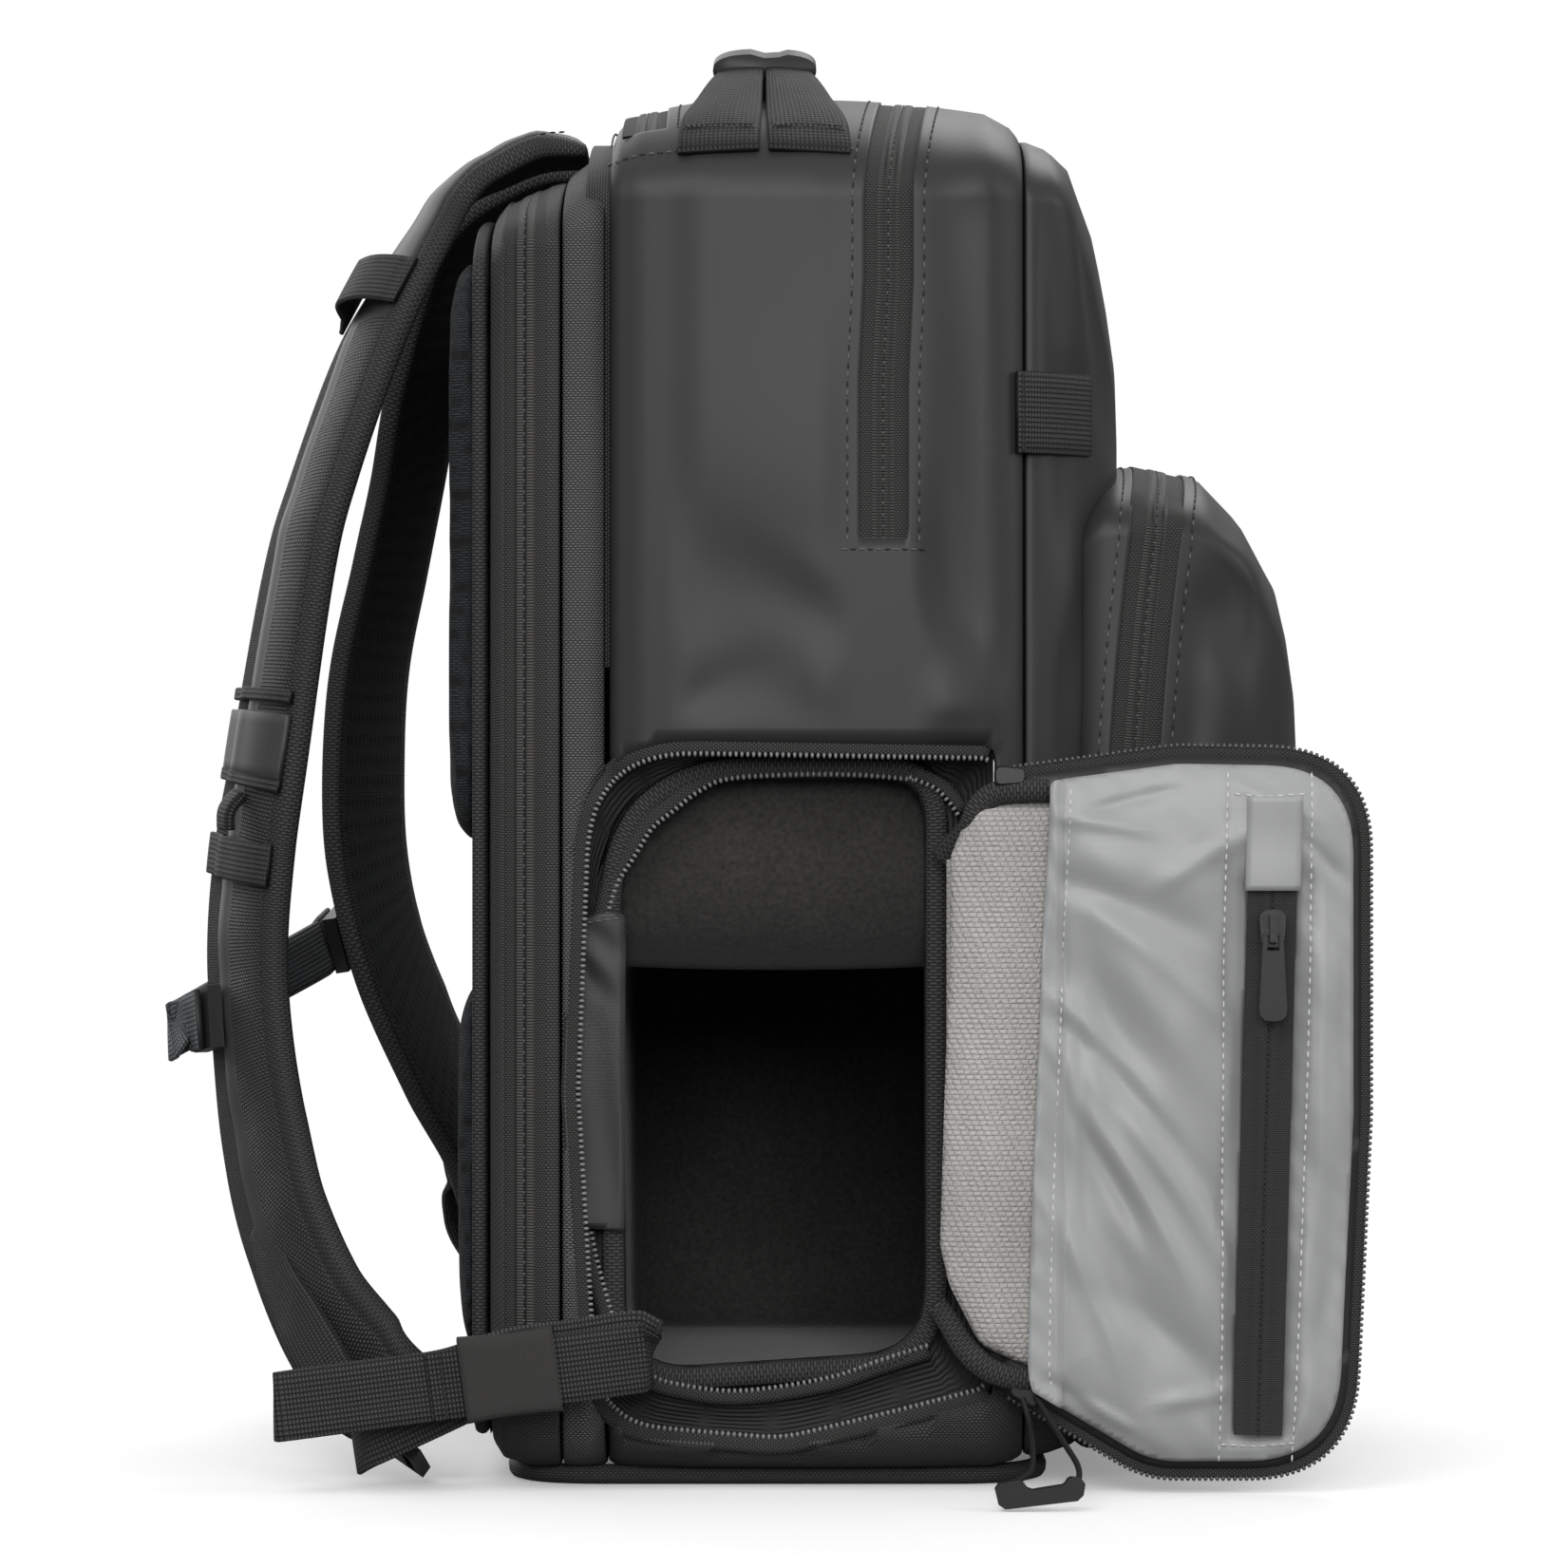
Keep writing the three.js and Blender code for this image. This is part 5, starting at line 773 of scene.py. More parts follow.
def panel(name, part, x_low, x_high, zips, material, opening=False, step=3.2, hold_from=9.0, seam=3.0,
          thickness=1.6, dents="", crown=None, foot=None):
    t = t_even
    for row in zips:
        ends = np.array(zip_ends(row))
        t = np.unique(np.concatenate([t[np.abs(t[:, None] - ends).min(1) > 0.004], ends]))
    knots = knots_for(part, x_low, x_high, zips, t)
    x, band = columns_between(knots, step)
    tt = np.broadcast_to(t[:, None], x.shape)
    points, ways = part.point(x, tt), part.outward(x, tt)
    edge = np.minimum(x - x_low, x_high - x)
    for row in zips:
        edge = np.minimum(edge, np.abs(x - zip_x(row, t)[:, None]) - row["slot"] / 2)
    if opening:
        near = points[..., 1] < 0
        where, off = nearest_on(opening_outline, x, points[..., 2])
        edge = np.where(near, np.minimum(edge, off), edge)
    foot_hold = np.clip(tt / 0.1, 0, 1) * np.clip((3 - tt) / 0.1, 0, 1)
    hold = np.clip((edge - 1) / hold_from, 0, 1) ** 1.5 * foot_hold
    points = dented(dents, points, ways, hold)
    roll = np.clip(1 - np.minimum(x - x_low, x_high - x) / seam, 0, 1) ** 2
    points = points - ways * (roll * seam * 0.5)[..., None]
    keep = np.ones((len(t) - 1, x.shape[1] - 1), bool)
    for k, row in enumerate(zips):
        low, high = zip_ends(row)
        rows_in = (t[:-1] >= low - 1e-6) & (t[1:] <= high + 1e-6)
        keep[np.ix_(rows_in, band[:-1] == 2 * k + 1)] = False
    if opening:
        middle = (points[:-1, :-1] + points[1:, 1:] + points[:-1, 1:] + points[1:, :-1]) / 4
        cut = inside(opening_outline, middle[..., 0], middle[..., 2]) & (middle[..., 1] < 0)
        keep &= ~cut
        touched = np.zeros(x.shape, int)
        for a, b in ((0, 0), (0, 1), (1, 0), (1, 1)):
            touched[a:a + cut.shape[0], b:b + cut.shape[1]] |= np.where(cut, 1, 2)
        rim = (touched == 3) & near & (where[..., 0] > x_low + 0.1) & (where[..., 0] < x_high - 0.1)
        points[rim, 0], points[rim, 2] = where[rim, 0], where[rim, 1]
    if crown is not None:
        middle = np.array([x_high, 0, points[:, -1, 2].mean()])
        shares = np.array([0.97, 0.92, 0.84, 0.72, 0.58, 0.42, 0.26, 0.1, 0.01])
        rim_points = points[:, -1:]
        face = middle + (rim_points - middle) * shares[None, :, None]
        face[..., 0] = rim_points[..., 0] + crown * (1 - shares ** 3)
        points = np.concatenate([points, face], 1)
        keep = np.concatenate([keep, np.ones((len(keep), len(shares)), bool)], 1)
    corner = points[:-1, :-1]
    low_cloth = np.zeros(keep.shape, bool) if foot is None else corner[..., 2] < foot(corner[..., 0])
    piece = grid_piece(name, points, [material, boot_cloth], slots=low_cloth.astype(int).ravel(),
                       keep=keep.ravel())
    facing_out(piece, (part.back + part.depth / 2, 0, 180))
    return thicken(piece, thickness)


shell = panel("main_panels", main, -52.8, 71.9, [ZIPS["top_zip"], ZIPS["main_zip"]], coated, opening=True,
              dents="main", foot=lambda x: 26 + 0.0016 * (x - 5) ** 2)
settle(shell, ["main_shell"])
gusset_ring = panel("gusset_band", gusset, -66.1, -53.2, [], dotted, opening=True, step=2.6, seam=1.5)
settle(gusset_ring, ["rear_gusset"])
GROOVE_DEPTH = 3.4
groove_t = np.linspace(0.66, 3.25, 260)
groove_x = np.array([-61.0, -57.0, -53.0, -49.0, -46.0])[:, None]
groove_way = main.outward(np.full((5, 1), -50.0), groove_t)
groove_lie = main.point(groove_x, groove_t) - groove_way * GROOVE_DEPTH
settle(grid_piece("gusset_groove", groove_lie, [boot_cloth]), [])
sleeve_side = panel("laptop_band", laptop, -88.4, -66.8, [ZIPS["laptop_zip"]], boot_cloth, step=2.4,
                    seam=1.5)
settle(sleeve_side, ["laptop_sleeve"])
front_side = panel("front_panels", front, 72.4, 103.6, [], coated, step=2.4, hold_from=7.0, seam=3.0,
                   dents="front", crown=0.8, foot=lambda x: 33 + 0 * x)
settle(front_side, ["front_compartment"])
pocket_side = panel("pocket_panels", pocket, 88.5, 158.6, [ZIPS["front_pocket_zip"]], coated, seam=4.0,
                    dents="pocket", crown=1.6, foot=lambda x: 30 + 0 * x)
settle(pocket_side, ["front_pocket"])

# %% [markdown]
# A closed zip is a knitted tape whose two coils are sewn to its underside, so that the face shows
# two ribbed ridges and a line of small loops between them. The tape is a strip with that section,
# and the loops are copies of one grain-shaped body in turn light and dark: every second loop is
# coloured dark as painted shade.

# %% Closed zips
def place_on(part, x, t):
    """Points and outward ways of a line that lies on a compartment."""
    return np.concatenate([part.point(x, t), part.outward(x, t)], 1)


def zip_section(width):
    ridge = [(-0.5, 0.32), (-1.1, 0.55), (-2.4, 0.5), (-3.1, 0.05), (-3.5, 0.0), (-3.8, 0.12),
             (-width / 2 + 0.6, 0.12), (-width / 2, 0.0)]
    half = np.array([(0.0, 0.12), *ridge])
    return np.concatenate([half[::-1], half[1:] * [-1, 1]])[::-1]


LOOP_PITCH = 1.74
loop_body = rounded_bar(1.5, 0.62, 0.6, rings=3, sides=5)


def zip_tape(name, line, out, width, nodes, sink=0.95, tape=None, loops=None):
    run, across, out = frames_on(line, out)
    bed = line - out * sink
    section = zip_section(width)
    grid = swept(bed, across, out, section)
    inner = np.abs((section[:-1, 0] + section[1:, 0]) / 2) < 3.3
    slots = np.tile(inner.astype(int), len(line) - 1)
    tape = grid_piece(name, grid, tape or [tape_cloth, tape_ribs], slots=slots)
    # Every second loop takes the dark thread colour: painted shade on one coil whose other loops look lit.
    join_into(tape, [row_of(name + "_loops", loop_body, bed, out, LOOP_PITCH, 0.3,
                            loops or [door_coil_nylon, dark_thread], [0, 1])])
    return settle(tape, nodes)


for name, row in ZIPS.items():
    low, high = zip_ends(row)
    t = np.linspace(low, high, 240)
    laid = even(place_on(row["part"], zip_x(row, t), t), 2.0)
    zip_tape(name + "_tape", laid[:, :3], laid[:, 3:], row["slot"] + 1.2, [name])

# %% [markdown]
# The panels are hemmed along the zips and sewn down with one row of lock stitch, 2.7 mm apart and
# about 3.5 mm from the tape. Each stitch is a short thread that rises from the cloth and dives again.
# Black and grey threads alternate, because one half of each stitch lies in shadow.

# %% Stitches beside the zips
stitch_body = rounded_bar(2.2, 0.75, 0.7, rings=4, sides=5)


def sewn(name, line, out, pitch=2.7, body=None, threads=None, order=(0, 1), lift=0.12):
    return settle(row_of(name, body or stitch_body, line, out, pitch, lift,
                         threads or [grey_thread, dark_thread], order), [])


HEM = 3.5
for name, row in ZIPS.items():
    if name == "laptop_zip":
        continue
    low, high = zip_ends(row)
    t = np.linspace(low, high, 300)
    middle = zip_x(row, t)
    for side, way in (("back", -1), ("front", 1)):
        laid = place_on(row["part"], middle + way * (row["slot"] / 2 + HEM), t)
        sewn(f"{name}_stitches_{side}", laid[:, :3], laid[:, 3:])
    if row["end"] and row["end"] > 200:
        across_x = np.linspace(middle[0] - 11.5, middle[0] + 11.5, 12)
        for side, t_end in (("near", low - 0.008), ("far", high + 0.008)):
            laid = place_on(row["part"], across_x, np.full(12, t_end))
            sewn(f"{name}_end_{side}", laid[:, :3], laid[:, 3:])

seam_x = np.linspace(-52, 20, 40)
for side, t in (("near", 1.115), ("far", 1.885)):
    laid = place_on(main, seam_x, np.full(40, t))
    sewn(f"handle_seam_{side}", laid[:, :3], laid[:, 3:], threads=[dark_thread, grey_thread])

# %% [markdown]
# The zip of the side opening is undone. Its two halves show their coils as rows of beads, one
# round the opening and one round the door. Each bead is one turn of the nylon coil, 1.74 mm apart,
# and stands across a narrow black tape. The beads round the opening and the camera bay are pale
# as a painted highlight, while the door's beads keep the coil's own dark grey.

# %% Open zips round the opening, the camera bay and the door
bead_body = rounded_bar(1.9, 1.15, 1.5, rings=4, sides=6)


def open_zip(name, line, out, side, tape_width, nodes=(), reach=1.2, coil=None, body=None):
    """side is +1 or -1: the way across the line in which the beads stand."""
    run, across, out = frames_on(line, out)
    across = across * side
    rim_at = tape_width + 0.8
    section = [(-1.5, 0.2), (0, 0.5), (tape_width, 0.5), (rim_at, 0.3), (rim_at, -0.3), (-1.5, -0.6)]
    tape = closed_sweep(name, line, across, out, section, [tape_cloth])
    join_into(tape, [row_of(name + "_beads", body or bead_body, line + across * (tape_width + reach), out,
                            LOOP_PITCH, 0.2, [coil or painted_glint_coil], upright=True)])
    return settle(tape, nodes)


def wall_y(x, z):
    x = np.asarray(x, float)
    return -np.where(x < -53, gusset.side(x, z), main.side(np.maximum(x, -53), z))


def in_plane(outline, y):
    return np.stack([outline[:, 0], np.broadcast_to(y, len(outline)), outline[:, 1]], 1)


edge = rounded(inset(OPENING_CORNERS, 0.3), 14)
start = np.argmax(edge[:, 0] - 0.001 * edge[:, 1])
edge = np.roll(edge, -start, 0)
edge = even(edge[edge[:, 0] < 61.5], 2.0)
if edge[0, 1] < edge[-1, 1]:
    edge = edge[::-1]
opening_line = np.stack([edge[:, 0], wall_y(edge[:, 0], edge[:, 1]) + 0.8, edge[:, 1]], 1)
toward_middle = -np.sign(np.cross(opening_line[20] - opening_line[19], NEAR_SIDE)
                         @ (opening_line[20] - np.array([0, opening_line[20][1], 118])))
open_zip("opening_coil", opening_line, NEAR_SIDE, toward_middle, 2.4, ["opening_zip"])

FACE_SCALE, PHOTO_MIDDLE = 6584.0, 825


def on_photo(points, y):
    """Millimetres in the plane at y for points that were read off the photograph in its pixels."""
    scale = FACE_SCALE / (CAMERA_REACH + y)
    right, down = (np.array(points, float).T - PHOTO_MIDDLE) / scale
    return np.stack([right, np.full(len(right), float(y)), EYE_HEIGHT - down], 1)


BAY_ZIP = [(961, 811), (900, 806), (830, 806), (762, 811), (729, 826), (703, 846), (679, 866), (660, 896),
           (640, 929), (628, 975), (618, 1060), (612, 1160), (610, 1260), (615, 1310), (632, 1375),
           (652, 1430),
           (682, 1456), (713, 1466), (762, 1473), (812, 1470), (878, 1458), (928, 1441), (978, 1425)]
bay_line = smooth_line(on_photo(BAY_ZIP, -131.5), 2.0)
open_zip("bay_coil", bay_line, NEAR_SIDE, toward_middle, 1.4)
lip = on_photo([(961, 811), (988, 823), (1004, 838), (1014, 852)], -133)
open_zip("bay_coil_corner", smooth_line(lip, 2.0), NEAR_SIDE, -toward_middle, 1.0)

DOOR_CORNERS = [(64, 212, 4), (64, 33.6, 4), (108, 7.6, 30), (166, 7.6, 62), (171, 112.8, 30), (171, 218, 56),
                (116, 219, 30)]
DOOR_FACE = -147.2
rim = rounded(inset(DOOR_CORNERS, -0.3), 14)
rim = even(np.concatenate([rim, rim[:1]]), 1.5)[:-1]
start = np.argmin(rim[:, 0] + 0.002 * rim[:, 1])
rim = np.roll(rim, -start, 0)
rim = rim[(rim[:, 0] > 67) | (rim[:, 1] > 211)]
gap = np.argmax(np.linalg.norm(np.diff(rim, axis=0), axis=1))
if np.linalg.norm(rim[gap + 1] - rim[gap]) > 60:
    rim = np.concatenate([rim[gap + 1:], rim[:gap + 1]])
door_line = even(in_plane(rim, -145.2), 2.0)
from_door_middle = door_line[60] - np.array([118, -145.2, 112])
outside = np.sign(np.cross(door_line[60] - door_line[59], NEAR_SIDE) @ from_door_middle)
open_zip("door_coil", door_line, NEAR_SIDE, outside, 1.8, ["door_zip"], reach=0.9, coil=door_coil_nylon,
         body=rounded_bar(1.7, 1.3, 1.8, rings=4, sides=6))

# %% [markdown]
# The door is a thin padded slab in coated fabric. On its inner face, which now looks outwards, a
# satin sleeve is sewn on: a loose sheet that is held at its edge and wrinkles in long diagonal
# folds. A height drawn over a fine grid, cut to the outline, gives one continuous sheet of cloth.

# %% Sheets cut to an outline
def cut_sheet(outline, step, holes=()):
    """Grid points and faces inside an outline, with the points along every edge moved onto it."""
    low, high = outline.min(0) - step, outline.max(0) + step
    xs, zs = [np.arange(low[k], high[k] + step, step) for k in (0, 1)]
    x, z = np.meshgrid(xs, zs, indexing="ij")
    mid_x, mid_z = (x[:-1, :-1] + x[1:, 1:]) / 2, (z[:-1, :-1] + z[1:, 1:]) / 2
    keep = inside(outline, mid_x, mid_z)
    for hole in holes:
        keep &= ~inside(hole, mid_x, mid_z)
    touched = np.zeros(x.shape, int)
    for a, b in ((0, 0), (0, 1), (1, 0), (1, 1)):
        touched[a:a + keep.shape[0], b:b + keep.shape[1]] += keep
    where, off = nearest_on(outline, x, z)
    for hole in holes:
        at, far = nearest_on(hole, x, z)
        closer = far < off
        where[closer], off[closer] = at[closer], far[closer]
    rim = (touched > 0) & (touched < 4)
    x, z = np.where(rim, where[..., 0], x), np.where(rim, where[..., 1], z)
    off = np.where(rim, 0, off)
    return x, z, off, keep


def sheet_piece(name, outline, step, height, materials, holes=(), slot_at=None):
    """A sheet in XZ whose Y comes from height(x, z, distance to the edge)."""
    x, z, off, keep = cut_sheet(outline, step, holes)
    points = np.stack([x, height(x, z, off), z], -1)
    faces = grid_faces(*x.shape)
    uvs = np.stack([x.ravel(), z.ravel()], 1)[faces]
    kept = keep.ravel()
    slots = None
    if slot_at is not None:
        middle = points.reshape(-1, 3)[faces].mean(1)
        slots = slot_at(middle[:, 0], middle[:, 2]).astype(int)[kept]
    used, back = np.unique(faces[kept], return_inverse=True)
    piece = object_from(name, points.reshape(-1, 3)[used], back.reshape(-1, 4), materials,
                        uvs[kept].reshape(-1, 2), slots)
    normal = np.mean([p.normal[1] for p in piece.data.polygons])
    if normal > 0:
        piece.data.flip_normals()
    area = sum(p.area for p in piece.data.polygons)
    return piece, area


door_outline = rounded(DOOR_CORNERS)
slab, _ = sheet_piece("door_slab", door_outline, 3.0,
                      lambda x, z, d: DOOR_FACE + 1.2 * np.exp(-d / 1.2), [coated])
thicken(slab, 4.6)
fold_z = np.linspace(39.6, 208, 60)
fold_section = np.array([(60.9, -138.5), (60.9, -144.5), (62.2, -146.6), (64.5, -146.9), (68, -146.4)])
fold_points = np.stack([np.stack([fold_section[:, 0] + 0.4 * math.sin(z / 9), fold_section[:, 1],
                                  np.full(5, z)], 1) for z in fold_z])
fold = facing_out(grid_piece("door_fold", fold_points, [coated]), (80, 0, 120))
thicken(fold, 1.2)
settle(slab, ["door_panel"])
settle(fold, [])

# %% [markdown]
# The sleeve's folds are taken from the photograph: a fan of soft diagonals from the middle of its
# free edge down to the zip, short puckers along the hems, and a hollow under the lower corner. Each
# is a long, narrow hump, and the humps fade where the cloth is sewn down.

# %% Satin sleeve on the door
SLEEVE_CORNERS = inset(DOOR_CORNERS, 2.6)
SLEEVE_FREE = [(78.5, 216), (78.3, 200), (76.6, 170), (75.4, 140), (74.2, 110), (73.0, 80), (72.2, 50),
               (72.2, 36), (74.5, 28), (77, 22)]
closed = rounded(SLEEVE_CORNERS)
closed = even(np.concatenate([closed, closed[:1]]), 1.5)[:-1]
free = smooth_line(SLEEVE_FREE, 2.0)
limit = np.interp(closed[:, 1], free[::-1, 1], free[::-1, 0])
right_part = closed[closed[:, 0] > limit + 0.5]
gaps = np.linalg.norm(np.diff(right_part, axis=0), axis=1)
if gaps.max() > 10:
    right_part = np.roll(right_part, -int(np.argmax(gaps)) - 1, 0)
low_end, top_end = sorted((right_part[0], right_part[-1]), key=lambda p: p[1])
inner = free[(free[:, 1] > low_end[1]) & (free[:, 1] < top_end[1])]
if right_part[0][1] > right_part[-1][1]:
    sleeve_outline = np.concatenate([right_part, inner[::-1]])
else:
    sleeve_outline = np.concatenate([right_part, inner])
SLOT = dict(bottom=18.0, top=180.0, width=14.0)


def slot_x(z):
    return 142 + 4.4 * ((z - SLOT["bottom"]) / (SLOT["top"] - SLOT["bottom"]) - 0.5)


slot_hole = np.array([(slot_x(z) + s * 7, z) for s, z in ((-1, 18), (1, 18), (1, 180), (-1, 180))], float)
FOLDS = [  # columns: x, z of the middle, half length, half width, turn in degrees, height
    (100, 128, 42, 4.5, -47, 1.5), (112, 112, 46, 6.0, -50, -1.5), (104, 92, 38, 4.0, -56, 1.3),
    (92, 104, 34, 3.5, -60, -1.2), (122, 84, 34, 5.0, -58, 1.2), (98, 176, 30, 6.0, -20, -0.9),
    (112, 158, 34, 5.0, -40, 0.9), (88, 150, 34, 5.0, -78, 0.8), (126, 190, 18, 4.0, 30, 0.8),
    (92, 60, 30, 5.0, -66, 1.0), (112, 48, 24, 6.0, -38, -0.9), (126, 30, 16, 3.0, 8, 0.8),
    (158, 150, 6, 26, 0, 0.7), (160, 90, 5, 40, 4, -0.7), (154, 58, 5, 20, -14, 0.8),
    (88, 200, 20, 3, -8, 0.9),
    (104, 206, 14, 2.4, 14, -0.8), (146, 205, 12, 2.0, -24, 0.8), (160, 188, 12, 2.2, -46, -0.8),
    (84, 30, 9, 2.4, -38, -0.9), (96, 24, 9, 2.0, -30, 0.8), (84, 118, 3, 60, 2, 0.6),
    (90, 152, 30, 13, -60, -1.5), (114, 140, 46, 12, -52, 1.3), (96, 78, 36, 11, -64, -1.3),
    (118, 62, 34, 10, -48, 1.2), (104, 186, 26, 9, -16, 0.9), (160, 120, 7, 34, 8, 0.9),
    (161, 60, 6, 24, -10, -0.8), (158, 178, 8, 18, 24, -0.8),
]


def sleeve_y(x, z, d):
    y = -149.0 - 5.6 * (1 - np.exp(-np.where(x < 82, 40, d) / 9.0))
    lift = 0.2 * np.sin(x / 3.1 + z / 17) * np.sin(z / 5.2 + 1)
    lift = lift + 0.5 * np.sin((x + z * 0.8) / 9 + np.sin(z / 21))
    for cx, cz, length, width, turn, height in FOLDS:
        a = math.radians(turn)
        u = (x - cx) * math.cos(a) + (z - cz) * math.sin(a)
        v = -(x - cx) * math.sin(a) + (z - cz) * math.cos(a) + 0.002 * u * u
        lift = lift + 1.7 * height * np.exp(-(u / length) ** 4 - (v / (0.8 * width)) ** 2)
    edge_hold = np.clip(d / 5, 0, 1)
    pucker = 0.22 * np.sin((x + z) / 1.9) * np.exp(-d / 5)
    seam = np.exp(-((x - slot_x(z) + 12.5) / 0.9) ** 2) + np.exp(-((x - slot_x(z) - 10.5) / 0.9) ** 2)
    hem_at = np.interp(z, free[::-1, 1], free[::-1, 0]) + 6.2
    seam = seam + np.exp(-((x - hem_at) / 0.7) ** 2)
    return y - lift * edge_hold + pucker + 0.45 * seam


sleeve, sleeve_area = sheet_piece("satin_sleeve", sleeve_outline, 1.3, sleeve_y, [satin], holes=[slot_hole])
thicken(sleeve, 0.5, offset=0)
settle(sleeve, ["door_sleeve"])
size = sleeve_outline.max(0) - sleeve_outline.min(0)
print("sleeve area in square metres", round(sleeve_area, 5))

# %% [markdown]
# The sleeve's seams are sewn in white. Their stitches follow the free edge, both sides of the zip
# and its two ends, and a short piece of satin covers the top of the zip like a garage.

# %% Stitching and zip of the sleeve
def on_sleeve(points, lift=0.35):
    p = np.asarray(points, float)
    _, d = nearest_on(sleeve_outline, p[:, 0], p[:, 1])
    return np.stack([p[:, 0], sleeve_y(p[:, 0], p[:, 1], d) - lift, p[:, 1]], 1)


fine_body = rounded_bar(2.3, 0.62, 0.5, rings=4, sides=5)
free_seam = free[(free[:, 1] > low_end[1] + 2) & (free[:, 1] < top_end[1] - 2)] + [6.2, 0]
z_run = np.linspace(11, 213, 120)
SEAMS = {
    "free_edge": free_seam,
    "zip_left": np.stack([slot_x(z_run) - 12.5 + 1.5 * np.cos(z_run / 60), z_run], 1),
    "zip_right": np.stack([slot_x(z_run) + 10.5 + 1.2 * np.sin(z_run / 80), z_run], 1),
    "zip_top": np.array([(134, 207.5), (142, 206.8), (153, 207.5)]),
    "zip_bottom": np.array([(130, 15.2), (140, 14.6), (150, 15.6)]),
}
for label, seam_line in SEAMS.items():
    laid = on_sleeve(even(np.asarray(seam_line, float), 1.5))
    sewn("sleeve_seam_" + label, laid, NEAR_SIDE, pitch=3.1, body=fine_body,
         threads=[white_thread], order=(0,), lift=0.0)

black_tape = cloth("sleeve_zip_tape", grey(0.008), grey(0.04), 0.7, (1.1, 0.62), depth=0.16)
z_zip = np.linspace(18.3, 179.7, 80)
zip_line = np.stack([slot_x(z_zip), np.full(80, -154.4), z_zip], 1)
# Its loops alternate two colours too: painted light and shade on one coil.
zip_tape("sleeve_zip_tape", zip_line, NEAR_SIDE, 14.4, ["sleeve_zip"], sink=-0.2,
         tape=[black_tape, black_tape], loops=[dark_thread, black_nylon])
garage_z = np.linspace(179, 207, 16)
garage_u = np.linspace(-8.2, 8.2, 9)
garage = np.stack([np.stack([slot_x(z) + garage_u,
                             -156.0 - 0.5 * np.cos(garage_u / 5) - 0.3 * math.sin(z / 4),
                             np.full(9, z)], 1) for z in garage_z])
garage_piece = facing_out(grid_piece("zip_garage", garage, [satin]), (142, 0, 190))
thicken(garage_piece, 0.5)
settle(garage_piece, [])

# %% [markdown]
# A slider is cast in one piece with a rounded body and a small bail, and its pull hangs in the bail.
# Both keep the plain solids' places. Softening every edge with a bevel is what makes small metal
# and plastic parts look real, because each edge then catches the light.

# %% Hard parts that keep their solids
HARD = {
    "sleeve_slider": dark_metal, "sleeve_pull": black_nylon, "door_slider_upper": dark_metal,
    "door_slider_lower": dark_metal, "main_slider": dark_metal, "laptop_slider": dark_metal,
    "pocket_slider": dark_metal, "top_slider": dark_metal, "pull_grip": black_nylon,
    "ladder_lock_near": black_nylon, "ladder_lock_far": black_nylon, "sternum_slider_near": black_nylon,
    "sternum_slider_far": black_nylon,
}
for node, finish in HARD.items():
    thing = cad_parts[node]
    thing.data.materials.clear()
    thing.data.materials.append(finish)
    soft = thing.modifiers.new("soft edges", "BEVEL")
    soft.width = 0.35 * MM
    soft.segments = 2
    soft.limit_method = "ANGLE"
    soft.angle_limit = math.radians(35)
print("hard parts kept:", len(HARD))

# %% [markdown]
# Behind the side opening stands the camera cube, a padded box lined with fleece. Ribbed black
# lining joins its front to the bag's opening. Both are skins through rings of equally many points,
# so each ring of one outline is matched to the next by its place along the way.

# %% Lining and camera cube
def ring_points(outline, y, count=150):
    """A closed outline at an even count of points, starting at its lower left corner."""
    outline = even(np.concatenate([outline, outline[:1]]), 1.0)[:-1]
    if np.sum(outline[:, 0] * np.roll(outline[:, 1], -1) - np.roll(outline[:, 0], -1) * outline[:, 1]) < 0:
        outline = outline[::-1]
    angle = np.arctan2(outline[:, 1] - 118, outline[:, 0])
    outline = np.roll(outline, -int(np.argmin(angle)), 0)
    ring = np.concatenate([outline, outline[:1]])
    at = np.unwrap(np.arctan2(ring[:, 1] - 118, ring[:, 0]))
    to = np.linspace(at[0], at[0] + 2 * np.pi, count, endpoint=False)
    x, z = np.interp(to, at, ring[:, 0]), np.interp(to, at, ring[:, 1])
    return np.stack([x, np.broadcast_to(y, x.shape), z], 1)


def skin(name, rings, materials, slots=None, cap=False, wave=0.0):
    grid = np.stack(rings)
    if wave:
        a = np.arange(grid.shape[1])
        grid[1:-1, :, 1] += wave * np.sin(a / 2.3 + np.arange(1, len(grid) - 1)[:, None])
    rows, columns = grid.shape[:2]
    faces = [list(f) for f in grid_faces(rows, columns, loop_columns=True)]
    uvs = list(grid_uv(grid, True))
    if slots is not None:
        slots = list(np.repeat(slots, columns))
    if cap:
        faces.append(list(range((rows - 1) * columns, rows * columns)))
        uvs += [(p[0], p[2]) for p in grid[-1]]
        if slots is not None:
            slots.append(slots[-1])
    return object_from(name, grid.reshape(-1, 3), faces, materials, uvs, slots)


CUBE_CORNERS = [(-60, 19, 18), (60, 19, 18), (60, 221, 18), (-60, 221, 18)]
MOUTH_CORNERS = [(-48, 34, 20), (43, 40, 22), (43, 213, 14), (-50, 213, 42)]
BAY_FRONT = [(985, 1400), (990, 1250), (992, 1050), (990, 860)]
bay_loop = np.concatenate([bay_line, on_photo(BAY_FRONT, -131)])[:, [0, 2]]
open_in = ring_points(rounded(inset(OPENING_CORNERS, 1.2)), 0)
open_in[:, 1] = np.maximum(wall_y(open_in[:, 0], open_in[:, 2]) + 3.0, -141)
zip_ring = ring_points(bay_loop, -130.6)
between = open_in * 0.45 + zip_ring * 0.55
between[:, 1] = -127.0
lining_rings = [open_in, open_in * [0.985, 1, 0.99] + [0, 3, 1], between, zip_ring + [0, 0.4, 0]]
lining = skin("bay_lining", lining_rings, [lining_ribs], wave=0.5)
settle(lining, [])
roll_ring = ring_points(rounded(inset(MOUTH_CORNERS, -7)), -127.6)
inner_corners = inset(CUBE_CORNERS, 8)
